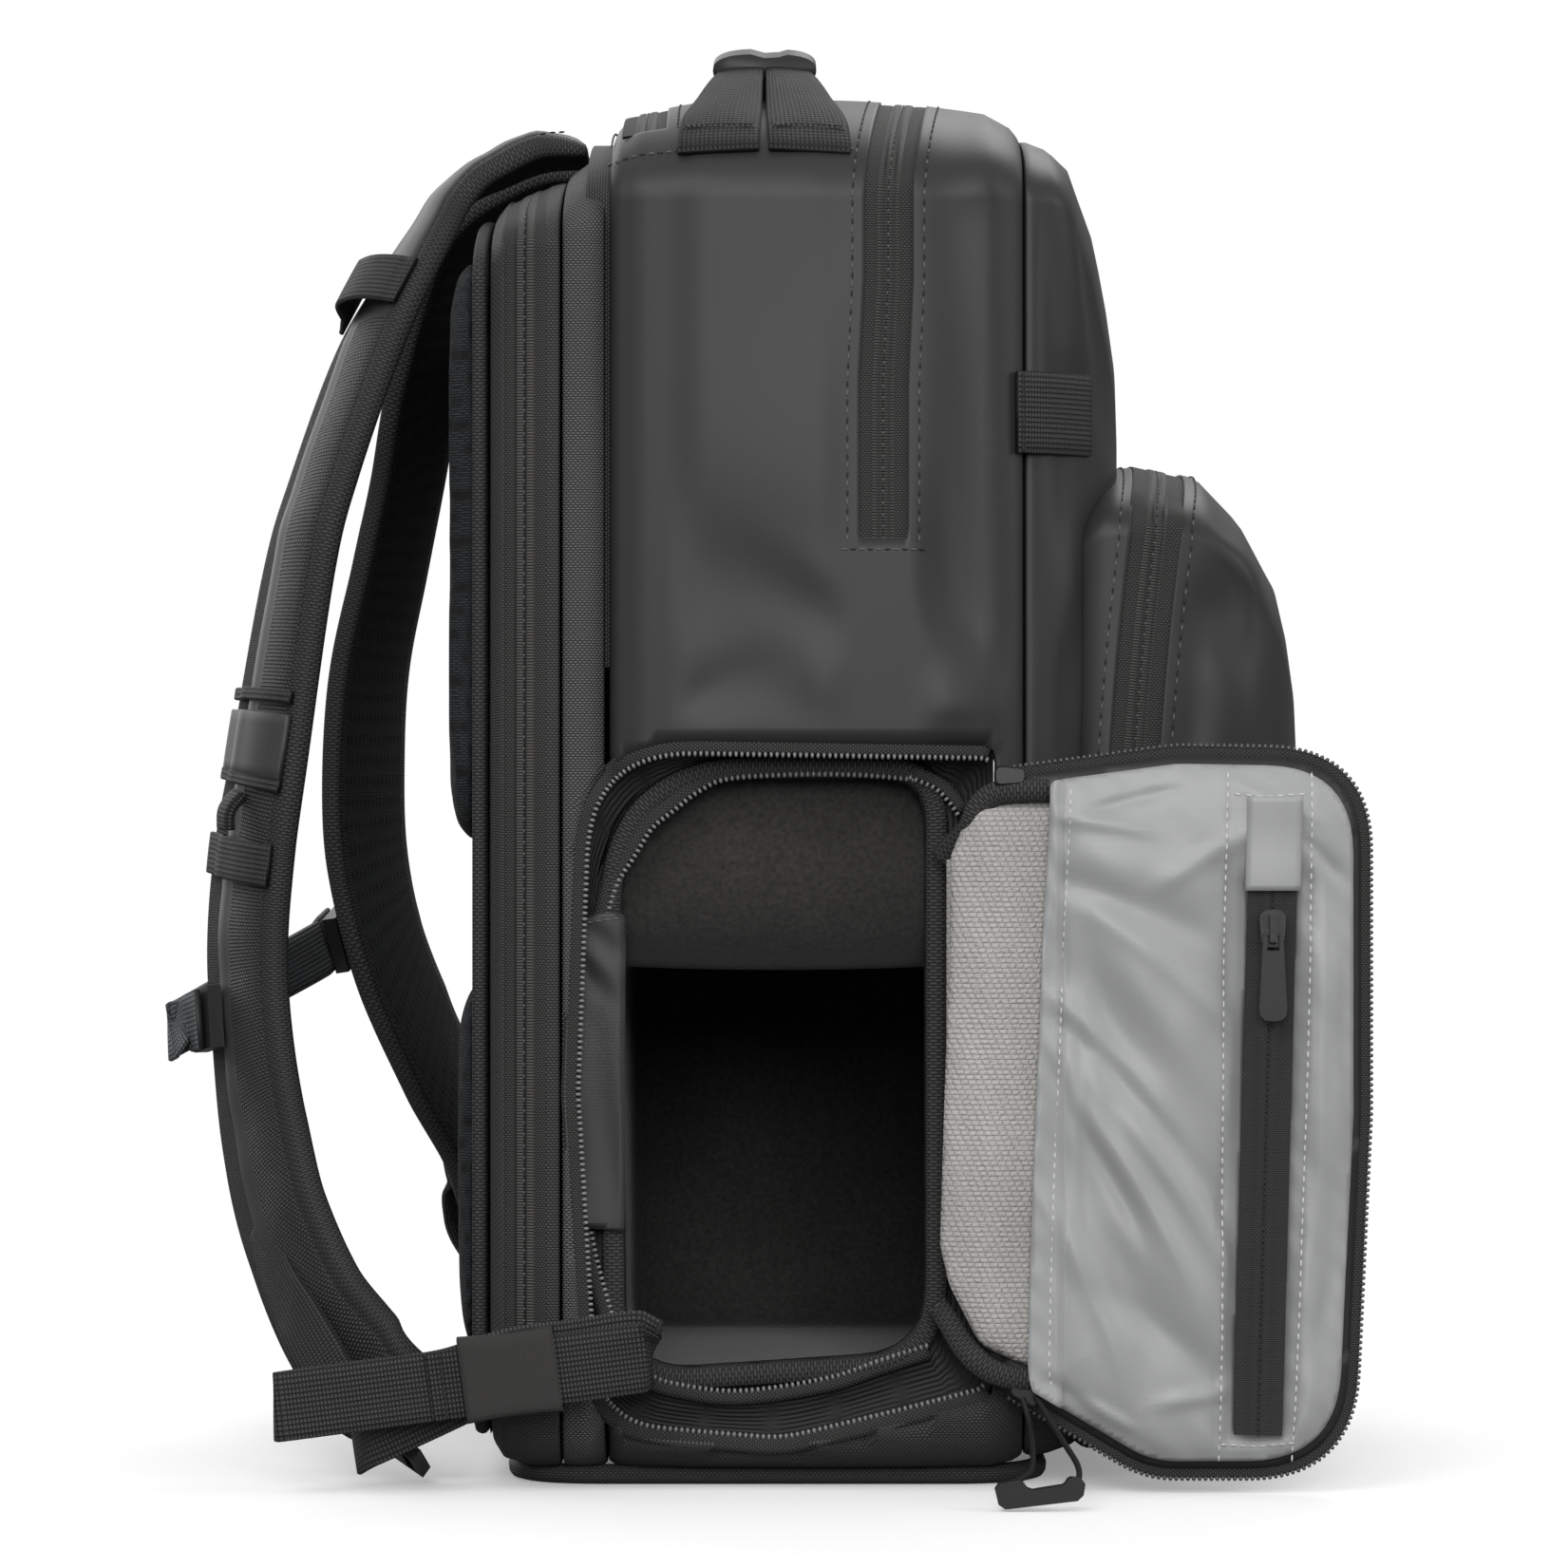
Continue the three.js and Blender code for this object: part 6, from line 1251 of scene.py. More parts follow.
rings = [zip_ring + [0, 0.5, 0], zip_ring * 0.5 + roll_ring * 0.5 + [0, 1.2, 0], roll_ring,
         *[ring_points(rounded(inset(MOUTH_CORNERS, shrink)), y)
           for y, shrink in ((-129.4, -2), (-128.2, 0.6), (-125, 1))]]
for y, shrink in ((-121, 0.2), (-116, 1.0), (-100, 1.4), (-70, 1.6), (-40, 1.6), (0, 1.4), (60, 1.0),
                  (104, 0.4), (113, 2.5), (116, 9), (115, 30)):
    rings.append(ring_points(rounded(inset(inner_corners, shrink)), y))
cube = skin("cube_padding", rings, [lining_ribs, dark_fleece], slots=[0] * 5 + [1] * (len(rings) - 6),
            cap=True)
settle(cube, ["camera_cube"])

binding_line = ring_points(rounded(inset(MOUTH_CORNERS, -2.6)), -130.4, 260)
run, across, out = frames_on(binding_line, NEAR_SIDE, closed=True)
binding = closed_sweep("mouth_binding", binding_line, across, out, strip_profile(6.4, 1.6, crown=0.9),
                       [binding_cloth], loop=True)
settle(binding, ["cube_binding"])

# %% [markdown]
# A padded divider closes the top of the cube. It hangs down behind the opening as a thick fleece
# roll and turns back inside as a shelf. A strip with a full, rounded section swept along that bend
# reads as foam under fleece.

# %% Divider and the satin flap
drop = [(-2, -112.5, 212), (-2, -114.5, 196), (-2, -115.5, 182), (-2, -113.5, 170), (-2, -106, 162.5),
        (-2, -92, 160), (-2, -40, 161), (-2, 40, 162), (-2, 112, 162)]
drop_line = smooth_line(drop, 4.0)
run = unit(np.gradient(drop_line, axis=0))
sideways = np.broadcast_to([1.0, 0, 0], drop_line.shape)
section = strip_profile(103, 10, edge=4, crown=1.2, count=24)
bulged = np.stack([section * [1 - 0.02 * math.cos(k / 3.0), 1] for k in range(len(drop_line))])
divider = closed_sweep("divider_roll", drop_line, sideways, np.cross(run, sideways), bulged, [dark_fleece])
settle(divider, ["cube_divider"])

flap_outline = np.array([(-61.8, 78.5), (-47.6, 76.6), (-47.2, 171), (-50, 172.5), (-57, 171.6),
                         (-62.2, 170)])


def flap_y(x, z, d):
    puckers = 0.5 * np.sin((z + x) / 2.6) * np.exp(-((z - 158) / 12) ** 2)
    return -133.6 - 0.5 * np.sin(x / 3 + z / 26) - np.clip(d / 3, 0, 1) * (0.3 * np.sin(z / 9) + puckers)


flap, flap_area = sheet_piece("satin_flap", flap_outline, 1.6, flap_y, [dark_satin])
thicken(flap, 0.5, offset=0)
settle(flap, ["inner_flap"])
flap_seam = smooth_line([(-60.5, -134.3, 168.6), (-56, -134.3, 169.6), (-50, -134.3, 170.3)], 1.0)
sewn("flap_seam", flap_seam, NEAR_SIDE, pitch=2.6, threads=[grey_thread], order=(0,))
print("flap area", round(flap_area, 5))

# %% [markdown]
# The cube's own door is light fleece, folded out with the bag's door and tucked under the satin.
# Its ribs are in the finish, while its crowned face, its rolled left edge and its black binding are
# shaped, because they catch the light in the photograph.

# %% Fleece door
FLEECE_CORNERS = [(56, 205, 9), (49.2, 189, 10), (49.0, 160, 20), (47.6, 120, 30), (46.2, 74, 12),
                  (49, 62, 10),
                  (58, 44.5, 12), (72, 38, 12), (84, 38, 6), (84, 205, 6)]
fleece_outline = rounded(FLEECE_CORNERS)


def fleece_y(x, z, d):
    puff = 3.2 * (1 - np.exp(-d / 3.5)) + 0.5 * np.sin(z / 23) + 0.6 * np.exp(-((x - 60) / 5) ** 2)
    return -147.9 - puff + 0.25 * np.sin(x / 2.2 + z / 7)


fleece, _ = sheet_piece("fleece_door", fleece_outline, 1.5, fleece_y, [pale_fleece])
thicken(fleece, 1.2)
back_of_fold = np.stack([np.stack([[50.5, 48.8, 48.2, 49.6], [-131.5, -138, -144, -148.5], [z] * 4], 1)
                         for z in np.linspace(64, 188, 50)])
hinge = thicken(facing_out(grid_piece("fleece_door_fold", back_of_fold, [pale_fleece]), (80, 0, 120)), 1.0)
settle(hinge, [])
settle(fleece, ["cube_door"])
EDGES = {
    "upper": [(1104, 832), (1070, 832), (1046, 836), (1030, 850), (1020, 872), (1003, 890), (990, 905)],
    "lower": [(985, 1375), (998, 1392), (1016, 1420), (1038, 1440), (1062, 1449), (1086, 1452)],
}
for label, path in EDGES.items():
    bound = smooth_line(on_photo(path, -149.6), 1.6)
    bound[:, 1] = np.interp(bound[:, 0], [47, 56, 70], [-140, -148, -150.4])
    _, across, out = frames_on(bound, NEAR_SIDE)
    wide = np.stack([strip_profile(7.5 - 1.5 * abs(s - 0.5), 1.8, crown=1.2)
                     for s in np.linspace(0, 1, len(bound))])
    tape = closed_sweep("fleece_binding_" + label, bound, across, out, wide, [binding_cloth])
    settle(tape, [])

# %% [markdown]
# The bag rests against its wearer on four pads of spacer mesh round an air channel. They are foam
# under a stretched cover, which a cloth simulation blows up like a small pillow. A voxel remesh
# first gives the cloth an even net, and the swelling is capped so that no pad leaves its place.

# %% Back panel and its pads
def cloth_pad(name, node, outline, x_back, thickness):
    steps = [(0.0, 1.0), (0.35, 0.2), (0.7, 2.2), (0.9, 6.0), (1.0, 12.0)]
    rings = []
    for rise, shrink in steps:
        flat = rounded(inset(outline, shrink), 8)
        ring_x = np.full(len(flat), x_back - thickness * rise * 0.86)
        rings.append(np.stack([ring_x, flat[:, 0], flat[:, 1]], 1))
    grid = np.stack(rings)
    columns = grid.shape[1]
    faces = [list(f) for f in grid_faces(len(rings), columns, loop_columns=True)]
    faces += [list(range(columns))[::-1], list(range((len(rings) - 1) * columns, len(rings) * columns))]
    pad = object_from(name, grid.reshape(-1, 3), faces, [spacer_mesh])
    bpy.context.view_layer.objects.active = pad
    fix = pad.modifiers.new("net", "REMESH")
    fix.mode = "VOXEL"
    fix.voxel_size = 0.0045
    bpy.ops.object.modifier_apply(modifier="net")
    rest = np.array([v.co for v in pad.data.vertices])
    blow = pad.modifiers.new("blow", "CLOTH")
    blow.settings.use_pressure = True
    blow.settings.uniform_pressure_force = 3.0
    blow.settings.effector_weights.gravity = 0
    for step in range(1, 15):
        bpy.context.scene.frame_set(step)
    bpy.ops.object.modifier_apply(modifier="blow")
    bpy.context.scene.frame_set(1)
    moved = np.array([v.co for v in pad.data.vertices]) - rest
    far = np.linalg.norm(moved, axis=1, keepdims=True)
    moved *= np.minimum(1, 0.0035 / np.maximum(far, 1e-9))
    points = rest + moved
    points[:, 0] = np.clip(points[:, 0], (x_back - thickness) * MM, x_back * MM)
    on_face = points[:, 0] < (x_back - thickness * 0.5) * MM
    groove = np.exp(-((np.abs(points[:, 1]) / MM - 67) / 2.2) ** 2) * on_face
    points[:, 0] += groove * 1.6 * MM
    pad.data.vertices.foreach_set("co", points.ravel())
    layer = pad.data.uv_layers.get("cloth") or pad.data.uv_layers.new(name="cloth")
    loops = np.zeros(len(pad.data.loops), np.int32)
    pad.data.loops.foreach_get("vertex_index", loops)
    flat = np.stack([points[:, 1] + points[:, 0], points[:, 2]], 1)[loops] * 1000
    layer.data.foreach_set("uv", flat.ravel())
    pad.data.polygons.foreach_set("use_smooth", np.ones(len(pad.data.polygons), bool))
    soft = pad.modifiers.new("smooth", "SUBSURF")
    soft.levels = soft.render_levels = 1
    return settle(pad, [node])


PANEL_BACK = -91.9
for row, bottom, top, radius, thick in (("upper", 192, 371, 30, 9.3), ("lower", 38, 150, 26, 6.6)):
    for side, sign in (("near", -1), ("far", 1)):
        box = [(16, bottom, radius), (119, bottom, radius), (119, top, radius), (16, top, radius)]
        box = [(sign * y, z, r) for y, z, r in box]
        cloth_pad(f"back_cushion_{row}_{side}", f"back_pad_{row}_{side}", box, PANEL_BACK - 0.2, thick)


def laptop_ring(x, shrink, count=220):
    t = np.linspace(-0.3, 3.3, count)
    ring = laptop.point(np.full(count, -88.6), t)
    middle = np.array([0, 0, 195.0])
    way = unit((ring - middle) * [0, 1, 1])
    edge = ring - way * shrink
    edge[:, 0] = x
    return edge


middle = np.array([-91.6, 0, 195.0])
back_rings = [laptop_ring(-88.9, 9.5), laptop_ring(-91.6, 10.5)]
back_rings += [middle + (back_rings[1] - middle) * s for s in np.linspace(0.95, 0.02, 26)]
back = facing_out(grid_piece("back_board", np.stack(back_rings), [spacer_mesh]), (0, 0, 200))
layer = back.data.uv_layers["cloth"]
flat = [(back.data.vertices[l.vertex_index].co.y * 1000, back.data.vertices[l.vertex_index].co.z * 1000)
        for l in back.data.loops]
layer.data.foreach_set("uv", np.array(flat).ravel())
settle(back, ["back_panel"])

# %% [markdown]
# A round piping covers the edge where the back panel meets the laptop sleeve, and the sleeve's rear
# face closes behind the board. The base is a flat boot that stands on the floor.

# %% Piping, rear wall and base
pipe_line = laptop_ring(-91.1, 2.8, 320)[:-1]
run, across, out = frames_on(pipe_line, np.array([-1.0, 0, 0]), closed=True)
angles = np.linspace(0, 2 * np.pi, 12, endpoint=False)
round_section = np.stack([2.2 * np.cos(angles), 2.2 * np.sin(angles)], 1)
piping = closed_sweep("edge_piping", pipe_line, across, out, round_section[::-1], [binding_cloth],
                      loop=True)
settle(piping, ["back_piping"])
rear_rings = [laptop_ring(-88.5, 0.4), laptop_ring(-88.7, 12)]
rear = facing_out(grid_piece("rear_wall", np.stack(rear_rings), [boot_cloth]), (0, 0, 200))
settle(rear, [])

BASE_CORNERS = [(-84, -122, 30), (80, -122, 30), (80, 122, 30), (-84, 122, 30)]


def base_ring(z, shrink):
    flat = rounded(inset(BASE_CORNERS, shrink), 10)
    return np.stack([flat[:, 0], flat[:, 1], np.full(len(flat), float(z))], 1)


base_rings = [base_ring(z, shrink) for z, shrink in
              ((0, 30), (0, 3), (0.5, 1.2), (2.0, 0.2), (4.0, 0), (5.6, 1.5), (6.0, 4))]
grid = np.stack(base_rings)
columns = grid.shape[1]
faces = [list(f) for f in grid_faces(len(base_rings), columns, loop_columns=True)]
faces.append(list(range(columns))[::-1])
base = object_from("boot_base", grid.reshape(-1, 3), faces, [boot_cloth],
                   np.concatenate([grid_uv(grid, True), grid[0][:, :2]]))
settle(base, ["base_panel"])

# %% [markdown]
# A shoulder strap is a long pad whose line falls from the yoke, bows out and comes back to the
# bag's foot. The table holds its middle line, its turn and its width. Its face is crowned and its
# two edges are thin, bound edges, and bands of mesh, coated stripe and honeycomb run along it.

# %% Shoulder straps
STRAP_WIDTH, STRAP_THICK = 62.0, 11.0
NEAR_ROWS = [  # columns: reach, across, height, turn, width
    (-0.44, -0.3, 0.9625, 0, 0.8), (-0.541, -0.3, 0.96, 1, 0.85), (-0.629, -0.31, 0.948, 4, 0.9),
    (-0.72, -0.32, 0.93, 9, 0.93), (-0.8, -0.336, 0.8946, 13, 0.96), (-0.916, -0.4, 0.823, 18, 1),
    (-1.026, -0.47, 0.718, 19, 1), (-1.08, -0.5, 0.6486, 20, 1), (-1.146, -0.514, 0.511, 22, 1),
    (-1.178, -0.507, 0.443, 23, 1), (-1.193, -0.507, 0.375, 23, 1), (-1.18, -0.529, 0.308, 23, 1),
    (-1.15, -0.571, 0.241, 25, 1), (-1.094, -0.643, 0.174, 27, 0.98), (-1.0, -0.729, 0.11, 34, 0.92),
    (-0.89, -0.793, 0.07, 50, 0.84), (-0.735, -0.836, 0.046, 66, 0.7)]
FAR_ROWS = [
    (-0.44, 0.3, 0.9625, 0, 0.8), (-0.541, 0.3, 0.96, -1, 0.85), (-0.629, 0.305, 0.947, -4, 0.9),
    (-0.72, 0.32, 0.925, -8, 0.93), (-0.785, 0.345, 0.89, -11, 0.96), (-0.854, 0.4, 0.805, -13, 1),
    (-0.895, 0.471, 0.733, -14, 1), (-0.942, 0.5, 0.66, -15, 1), (-0.989, 0.514, 0.586, -16, 1),
    (-1.005, 0.521, 0.513, -17, 1), (-0.998, 0.529, 0.4385, -17, 1), (-0.95, 0.571, 0.3636, -16, 1),
    (-0.865, 0.7, 0.2885, -14, 1), (-0.785, 0.86, 0.228, -11, 0.98), (-0.737, 1.01, 0.178, -9, 0.94),
    (-0.685, 1.11, 0.127, -9, 0.86), (-0.63, 1.12, 0.075, -12, 0.72)]


class Strap:
    """A strap's middle line with its directions, at any share of its rows."""

    def __init__(self, rows):
        rows = np.array(rows, float)
        line = rows[:, :3] * [HALF_WIDTH, HALF_WIDTH, HEIGHT]
        at = np.linspace(0, 1, len(rows))
        data = np.concatenate([line, rows[:, 3:], at[:, None]], 1)
        fine = smooth_line(data, 2.5)
        self.line, self.width, self.at = fine[:, :3], fine[:, 4] * STRAP_WIDTH, fine[:, 5]
        turn = np.radians(fine[:, 3])
        wide = np.stack([-np.sin(turn), np.cos(turn), 0 * turn], 1)
        run = unit(np.gradient(self.line, axis=0))
        self.across = unit(wide - (wide * run).sum(1, keepdims=True) * run)
        self.out = np.cross(self.across, run)

    def spot(self, at, shift=0.0, lift=0.0):
        pick = lambda a: np.stack([np.interp(at, self.at, a[:, k]) for k in range(3)], -1)
        across, out = unit(pick(self.across)), unit(pick(self.out))
        shift, lift = np.asarray(shift)[..., None], np.asarray(lift)[..., None]
        return pick(self.line) + across * shift + out * (STRAP_THICK / 2 + lift), across, out

    def wide_at(self, at):
        return np.interp(at, self.at, self.width)


def face_height(share):
    """Height of the strap's outer face over its middle plane for a share across, -1 to 1."""
    share = np.asarray(share, float)
    pad = STRAP_THICK / 2 - 3.4 * np.abs((share + 0.2) / 0.75) ** 2.6
    flange = 2.1 - 0.6 * np.abs(share - 0.55)
    groove = 0.5 * np.exp(-((share - 0.52) / 0.03) ** 2) + 0.4 * np.exp(-((share + 0.86) / 0.03) ** 2)
    return np.maximum(pad, flange) - groove + 0.5 * np.exp(-((share - 0.2) / 0.2) ** 4)


strap_stripe = cloth("strap_stripe", grey(0.04), grey(0.05), 0.5, drift=0.25, fuzz=0.02, fine=1800.0)
edge_mesh = cloth("strap_edge_mesh", grey(0.002), grey(0.06), 0.7, (1.2, 0.7), depth=0.3)
BANDS = [(-1.01, -0.84, 0), (-0.84, -0.12, 1), (-0.12, 0.5, 2), (0.5, 0.94, 5), (0.94, 1.01, 0)]


def strap_piece(name, strap, nodes):
    shares = np.unique(np.concatenate([np.linspace(-1, 1, 37), [-0.84, -0.12, 0.5, 0.94, -0.87, 0.52]]))
    top = np.stack([shares, face_height(shares)], 1)
    low = np.stack([shares[::-1], -STRAP_THICK / 2 + 0.7 * np.abs(shares[::-1]) ** 4], 1)
    side = [[1.03, 0.2], [1.04, -1.8], [1.03, -3.8]]
    section = np.concatenate([top, side, low, [[-p[0], p[1]] for p in side[::-1]]])
    start = np.clip(strap.at / 0.07, 0, 1) ** 0.6
    profile = np.stack([section * [w / 2 - 1.0, 0.45 + 0.55 * s] for w, s in zip(strap.width, start)])
    profile[..., 1] -= (3.0 * (1 - start))[:, None]
    taper = np.sqrt(1 - (1 - np.clip((1 - strap.at) / 0.06, 0.02, 1)) ** 2)
    profile[..., 0] *= taper[:, None]
    wave = 0.35 * np.sin(strap.at * 95) * np.sin(strap.at * 31 + 1)
    profile[:, :len(shares), 1] += wave[:, None] * (1 - shares ** 2)
    middle = (section + np.roll(section, -1, 0))[:, 0] / 2
    face = np.zeros(len(section), int)
    for k in range(len(section)):
        if k < len(shares) - 1:
            face[k] = next(slot for low_, high, slot in BANDS if low_ <= middle[k] < high)
        else:
            face[k] = 3 if abs(middle[k]) < 0.86 and k > len(shares) + 2 else 0
    slots = np.tile(face, (len(strap.line) - 1, 1))
    smooth_top = strap.at[:-1] < 0.31
    for k in range(len(section)):
        if k < len(shares) - 1 and abs(middle[k]) < 0.85:
            slots[smooth_top, k] = 4
    piece = closed_sweep(name, strap.line, strap.across, strap.out, profile[:, ::-1],
                         [binding_cloth, strap_cloth, strap_stripe, spacer_mesh, coated, edge_mesh],
                         slots=slots[:, np.roll(np.arange(len(section))[::-1], -1)].ravel())
    return settle(piece, nodes)


near_strap, far_strap = Strap(NEAR_ROWS), Strap(FAR_ROWS)
strap_piece("near_shoulder_strap", near_strap, ["shoulder_strap_near"])
strap_piece("far_shoulder_strap", far_strap, ["shoulder_strap_far"])
for side, strap in (("near", near_strap), ("far", far_strap)):
    at = np.linspace(0.03, 0.985, 300)
    half = strap.wide_at(at) / 2 - 1
    for edge_name, share in (("inner", -0.86), ("outer", 0.52)):
        place, _, out = strap.spot(at, share * half, face_height(share) - STRAP_THICK / 2)
        sewn(f"strap_seam_{side}_{edge_name}", place, out, pitch=2.9, threads=[dark_thread],
             order=(0,), lift=0.0)

# %% [markdown]
# Every webbing on the bag is the same kind of piece: a woven strip with soft edges that follows a
# line. Only its way, its width and its weave change, so one helper lays them all, and a second
# helper draws the bar tacks that hold the handle's ends.

# %% Webbings, loops and patches
def webbing(name, line, outwards, width, nodes, cloth_finish, thickness=1.8, crown=0.15,
            step=2.0, loop=False):
    outwards = np.broadcast_to(np.asarray(outwards, float), np.shape(line))
    laid = smooth_line(np.concatenate([line, outwards], 1), step, closed=loop)
    if loop:
        laid = laid[:-1]
    _, across, out = frames_on(laid[:, :3], laid[:, 3:6], closed=loop)
    piece = closed_sweep(name, laid[:, :3], across, out, strip_profile(width, thickness, crown=crown),
                         [cloth_finish], loop=loop)
    return settle(piece, nodes)


def tack(name, centre, along, across, out, width, lift=1.0):
    """A bar tack: a dense zigzag of thread across a webbing."""
    steps = np.arange(-width / 2 + 1, width / 2 - 1, 0.8)
    points = [centre + across * s + along * (1.1 if k % 2 else -1.1) + out * lift
              for k, s in enumerate(steps)]
    # Every third stitch is grey: a painted highlight on a tack of dark thread.
    return sewn(name, np.array(points), out, pitch=1.6, body=rounded_bar(1.5, 0.5, 0.5, rings=3, sides=5),
                threads=[dark_thread, grey_thread], order=(0, 0, 1))


def band_over(name, strap, at, width, rise, nodes, finish, slot):
    share = np.linspace(-0.97, 0.97, 33)
    half = strap.wide_at(at) / 2 - 0.5
    base = face_height(share) - STRAP_THICK / 2 + 1.1
    lift = base + rise * np.cos(share * np.pi / 2) ** 1.3
    place, across, out = strap.spot(np.full(33, at), share * half, lift)
    normal = unit(out + across * (0.6 * share ** 3)[:, None])
    return webbing(name, place, normal, width, nodes, finish, thickness=1.6, crown=0.1, step=2.2)


BANDS_OVER = [  # columns: name, strap, place, width, rise, node
    ("near_strap_loop", near_strap, 0.295, 16, 6.0, ["strap_loop_near"]),
    ("far_strap_loop", far_strap, 0.295, 16, 6.0, ["strap_loop_far"]),
    ("bare_patch", near_strap, 0.494, 20, 0.9, ["strap_patch"]),
    ("patch_edge_upper", near_strap, 0.478, 4, 1.2, []),
    ("patch_edge_lower", near_strap, 0.51, 4, 1.2, []),
    ("elastic_band", near_strap, 0.566, 13, 1.0, ["strap_keeper"])]
for row in BANDS_OVER:
    finish = (strap_stripe, "coated") if row[0] == "bare_patch" else (webbing_cloth, "webbing")
    band_over(*row, *finish)

tab_at = np.array([0.5185, 0.525, 0.533, 0.545])
place, _, out = near_strap.spot(tab_at, 0 * tab_at - 3, np.array([1.0, 3.4, 4.6, 4.0]))
webbing("folded_tab", place, out, 9, ["strap_tab"], webbing_cloth, thickness=3.4, step=1.2)

ANCHORS = np.array([  # columns: place along the strap, shift across, lift, turn towards the near side
    (0.8, 5, -1.2, 0), (0.84, 1, 0.8, 0.3), (0.87, -4, 3.2, 0.7), (0.9, -5, 5.6, 0.8), (0.925, -3, 6.6, 0.6),
    (0.966, 0, 5.5, 0)])
for side, strap, way in (("near", near_strap, -1), ("far", far_strap, 1)):
    place, _, out = strap.spot(ANCHORS[:, 0], ANCHORS[:, 1] * -way, ANCHORS[:, 2])
    facing = unit(out + ANCHORS[:, 3:] * [0, way, 0])
    webbing(f"strap_anchor_{side}", place, facing, 20, [f"anchor_webbing_{side}"], webbing_cloth)

LOWER = {  # columns: x, y, z and the way that the face looks
    "near": [(-69, -137.6, 40.3, 0.85, -0.5, 0), (-71.5, -142.5, 40, 0.8, -0.75, 0),
             (-78, -145.8, 39, 0.1, -1, 0), (-88.2, -146, 35.4, 0, -1, 0), (-98, -145.6, 29.9, 0, -1, 0),
             (-118, -146.5, 20.6, -0.2, -1, 0),
             (-124.5, -143.5, 17.2, -0.75, -0.8, 0), (-127.5, -138, 14.5, -1, -0.45, 0)],
    "far": [(-54, 135.9, 41, 0.87, 0.5, 0), (-59, 145, 39, 0.75, 0.7, 0), (-70, 157, 31, 0.3, 0.95, -0.2),
            (-84, 161, 23, 0, 0.8, -0.7), (-94, 161.5, 22, -0.6, 0.4, -0.8),
            (-98.3, 160, 27.3, -0.94, 0.18, -0.3)],
}
for side, rows in LOWER.items():
    rows = np.array(rows, float)
    webbing(f"lower_strap_{side}", rows[:, :3], unit(rows[:, 3:]), 20, [f"lower_webbing_{side}"],
            webbing_cloth)

# %% [markdown]
# The spare end of the near webbing is folded into one long loop and held by an elastic sleeve. The
# loop's two layers drift apart a little, as they do in the photograph, and the sleeve is tight
# enough to pinch them.

# %% Folded webbing tail and its elastic sleeve
TAIL = dict(left=-149.6, right=-40.0, left_z=26.7, right_z=41.5, front=-156.4, back=-152.8)


def tail_z(x):
    share = (x - TAIL["left"]) / (TAIL["right"] - TAIL["left"])
    return TAIL["left_z"] + (TAIL["right_z"] - TAIL["left_z"]) * share


tail_rows = []
for x, y, way in [(-147.6, TAIL["front"], (-0.7, -1)), (-122, -156.7, (0, -1)), (-97, -156.2, (0, -1)),
                  (-80, -155.9, (0, -1)), (-60, -156.5, (0, -1)), (-42, -156.1, (0.7, -1)),
                  (-40, -154.6, (1, 0)), (-42, -152.9, (0.7, 1)), (-62, -152.6, (0, 1)),
                  (-80, -153.2, (0, 1)),
                  (-100, -153.0, (0, 1)), (-124, -152.4, (0, 1)), (-147.6, -152.9, (-0.7, 1)),
                  (-149.6, -154.6, (-1, 0))]:
    tail_rows.append((x, y, tail_z(x) + (3.6 if y > -154 and x > -82 else 0), way[0], way[1], 0))
tail_rows = np.array(tail_rows, float)
webbing("spare_webbing", tail_rows[:, :3], unit(tail_rows[:, 3:]), 20.5, ["webbing_tail"], webbing_cloth,
        loop=True, thickness=1.6)
slope = math.atan2(14.8, 109.6)
along = np.array([math.cos(slope), 0, math.sin(slope)])
up = np.array([-math.sin(slope), 0, math.cos(slope)])
for k, x in enumerate((-104.5, -100.5)):
    place = np.array([x, -156.9, tail_z(x)])
    sewn(f"tail_tack_{k}", place + up * np.linspace(-9, 9, 12)[:, None], NEAR_SIDE, pitch=1.9,
         threads=[dark_thread], order=(0,), lift=0.7)
keeper_rings = []
for s in np.linspace(-1, 1, 15):
    middle = np.array([-80.8, 0, tail_z(-80.8) + 0.4]) + along * s * 14.2
    tight = 1 - 0.05 * (1 - s * s)
    corner = [(-158.4, -12.4), (-158.9, -10), (-158.9, 10), (-158.4, 12.4), (-156, 12.9), (-149, 12.6),
              (-147.8, 10), (-147.8, -10), (-149, -12.6), (-156, -12.9)]
    keeper_rings.append([middle + [0, y, 0] + up * (v * tight) for y, v in corner])
keeper = np.array(keeper_rings)
closed_rings = np.concatenate([keeper, keeper[:, :1]], 1)
dense = np.stack([even(ring, arc_lengths(ring, 0)[-1] / 48)[:-1] for ring in closed_rings])
elastic = thicken(facing_out(grid_piece("elastic_sleeve", dense, [elastic_cloth], closed=True),
                             (-80.8, -153, 37)), 0.9)
settle(elastic, ["webbing_keeper"])

# %% [markdown]
# A thin chest strap joins the two shoulder straps. It leaves one slider along the strap's face,
# crosses behind the bag's back and reaches the other.

# %% Chest strap
SLIDER_LIFT, CHEST_LIFT = 3.15, 3.65
near_place, near_across, near_out = near_strap.spot(0.669, 12, SLIDER_LIFT)
far_place, far_across, far_out = far_strap.spot(0.668, -12, SLIDER_LIFT)
chest = [near_place + near_across * r + near_out * CHEST_LIFT for r in (-4, 8, 18)]
chest += [far_place - far_across * r + far_out * CHEST_LIFT for r in (18, 8, -4)]
ways = np.array([near_out] * 3 + [far_out] * 3)
webbing("chest_strap", np.array(chest), unit(ways), 18.5, ["sternum_strap"], chest_cloth, step=3.0)

# %% [markdown]
# The carrying handle is two webbings that rise from both sides, lean together and pass under a
# coated grip. The ends are sewn down with zigzag tacks just above the top seam.

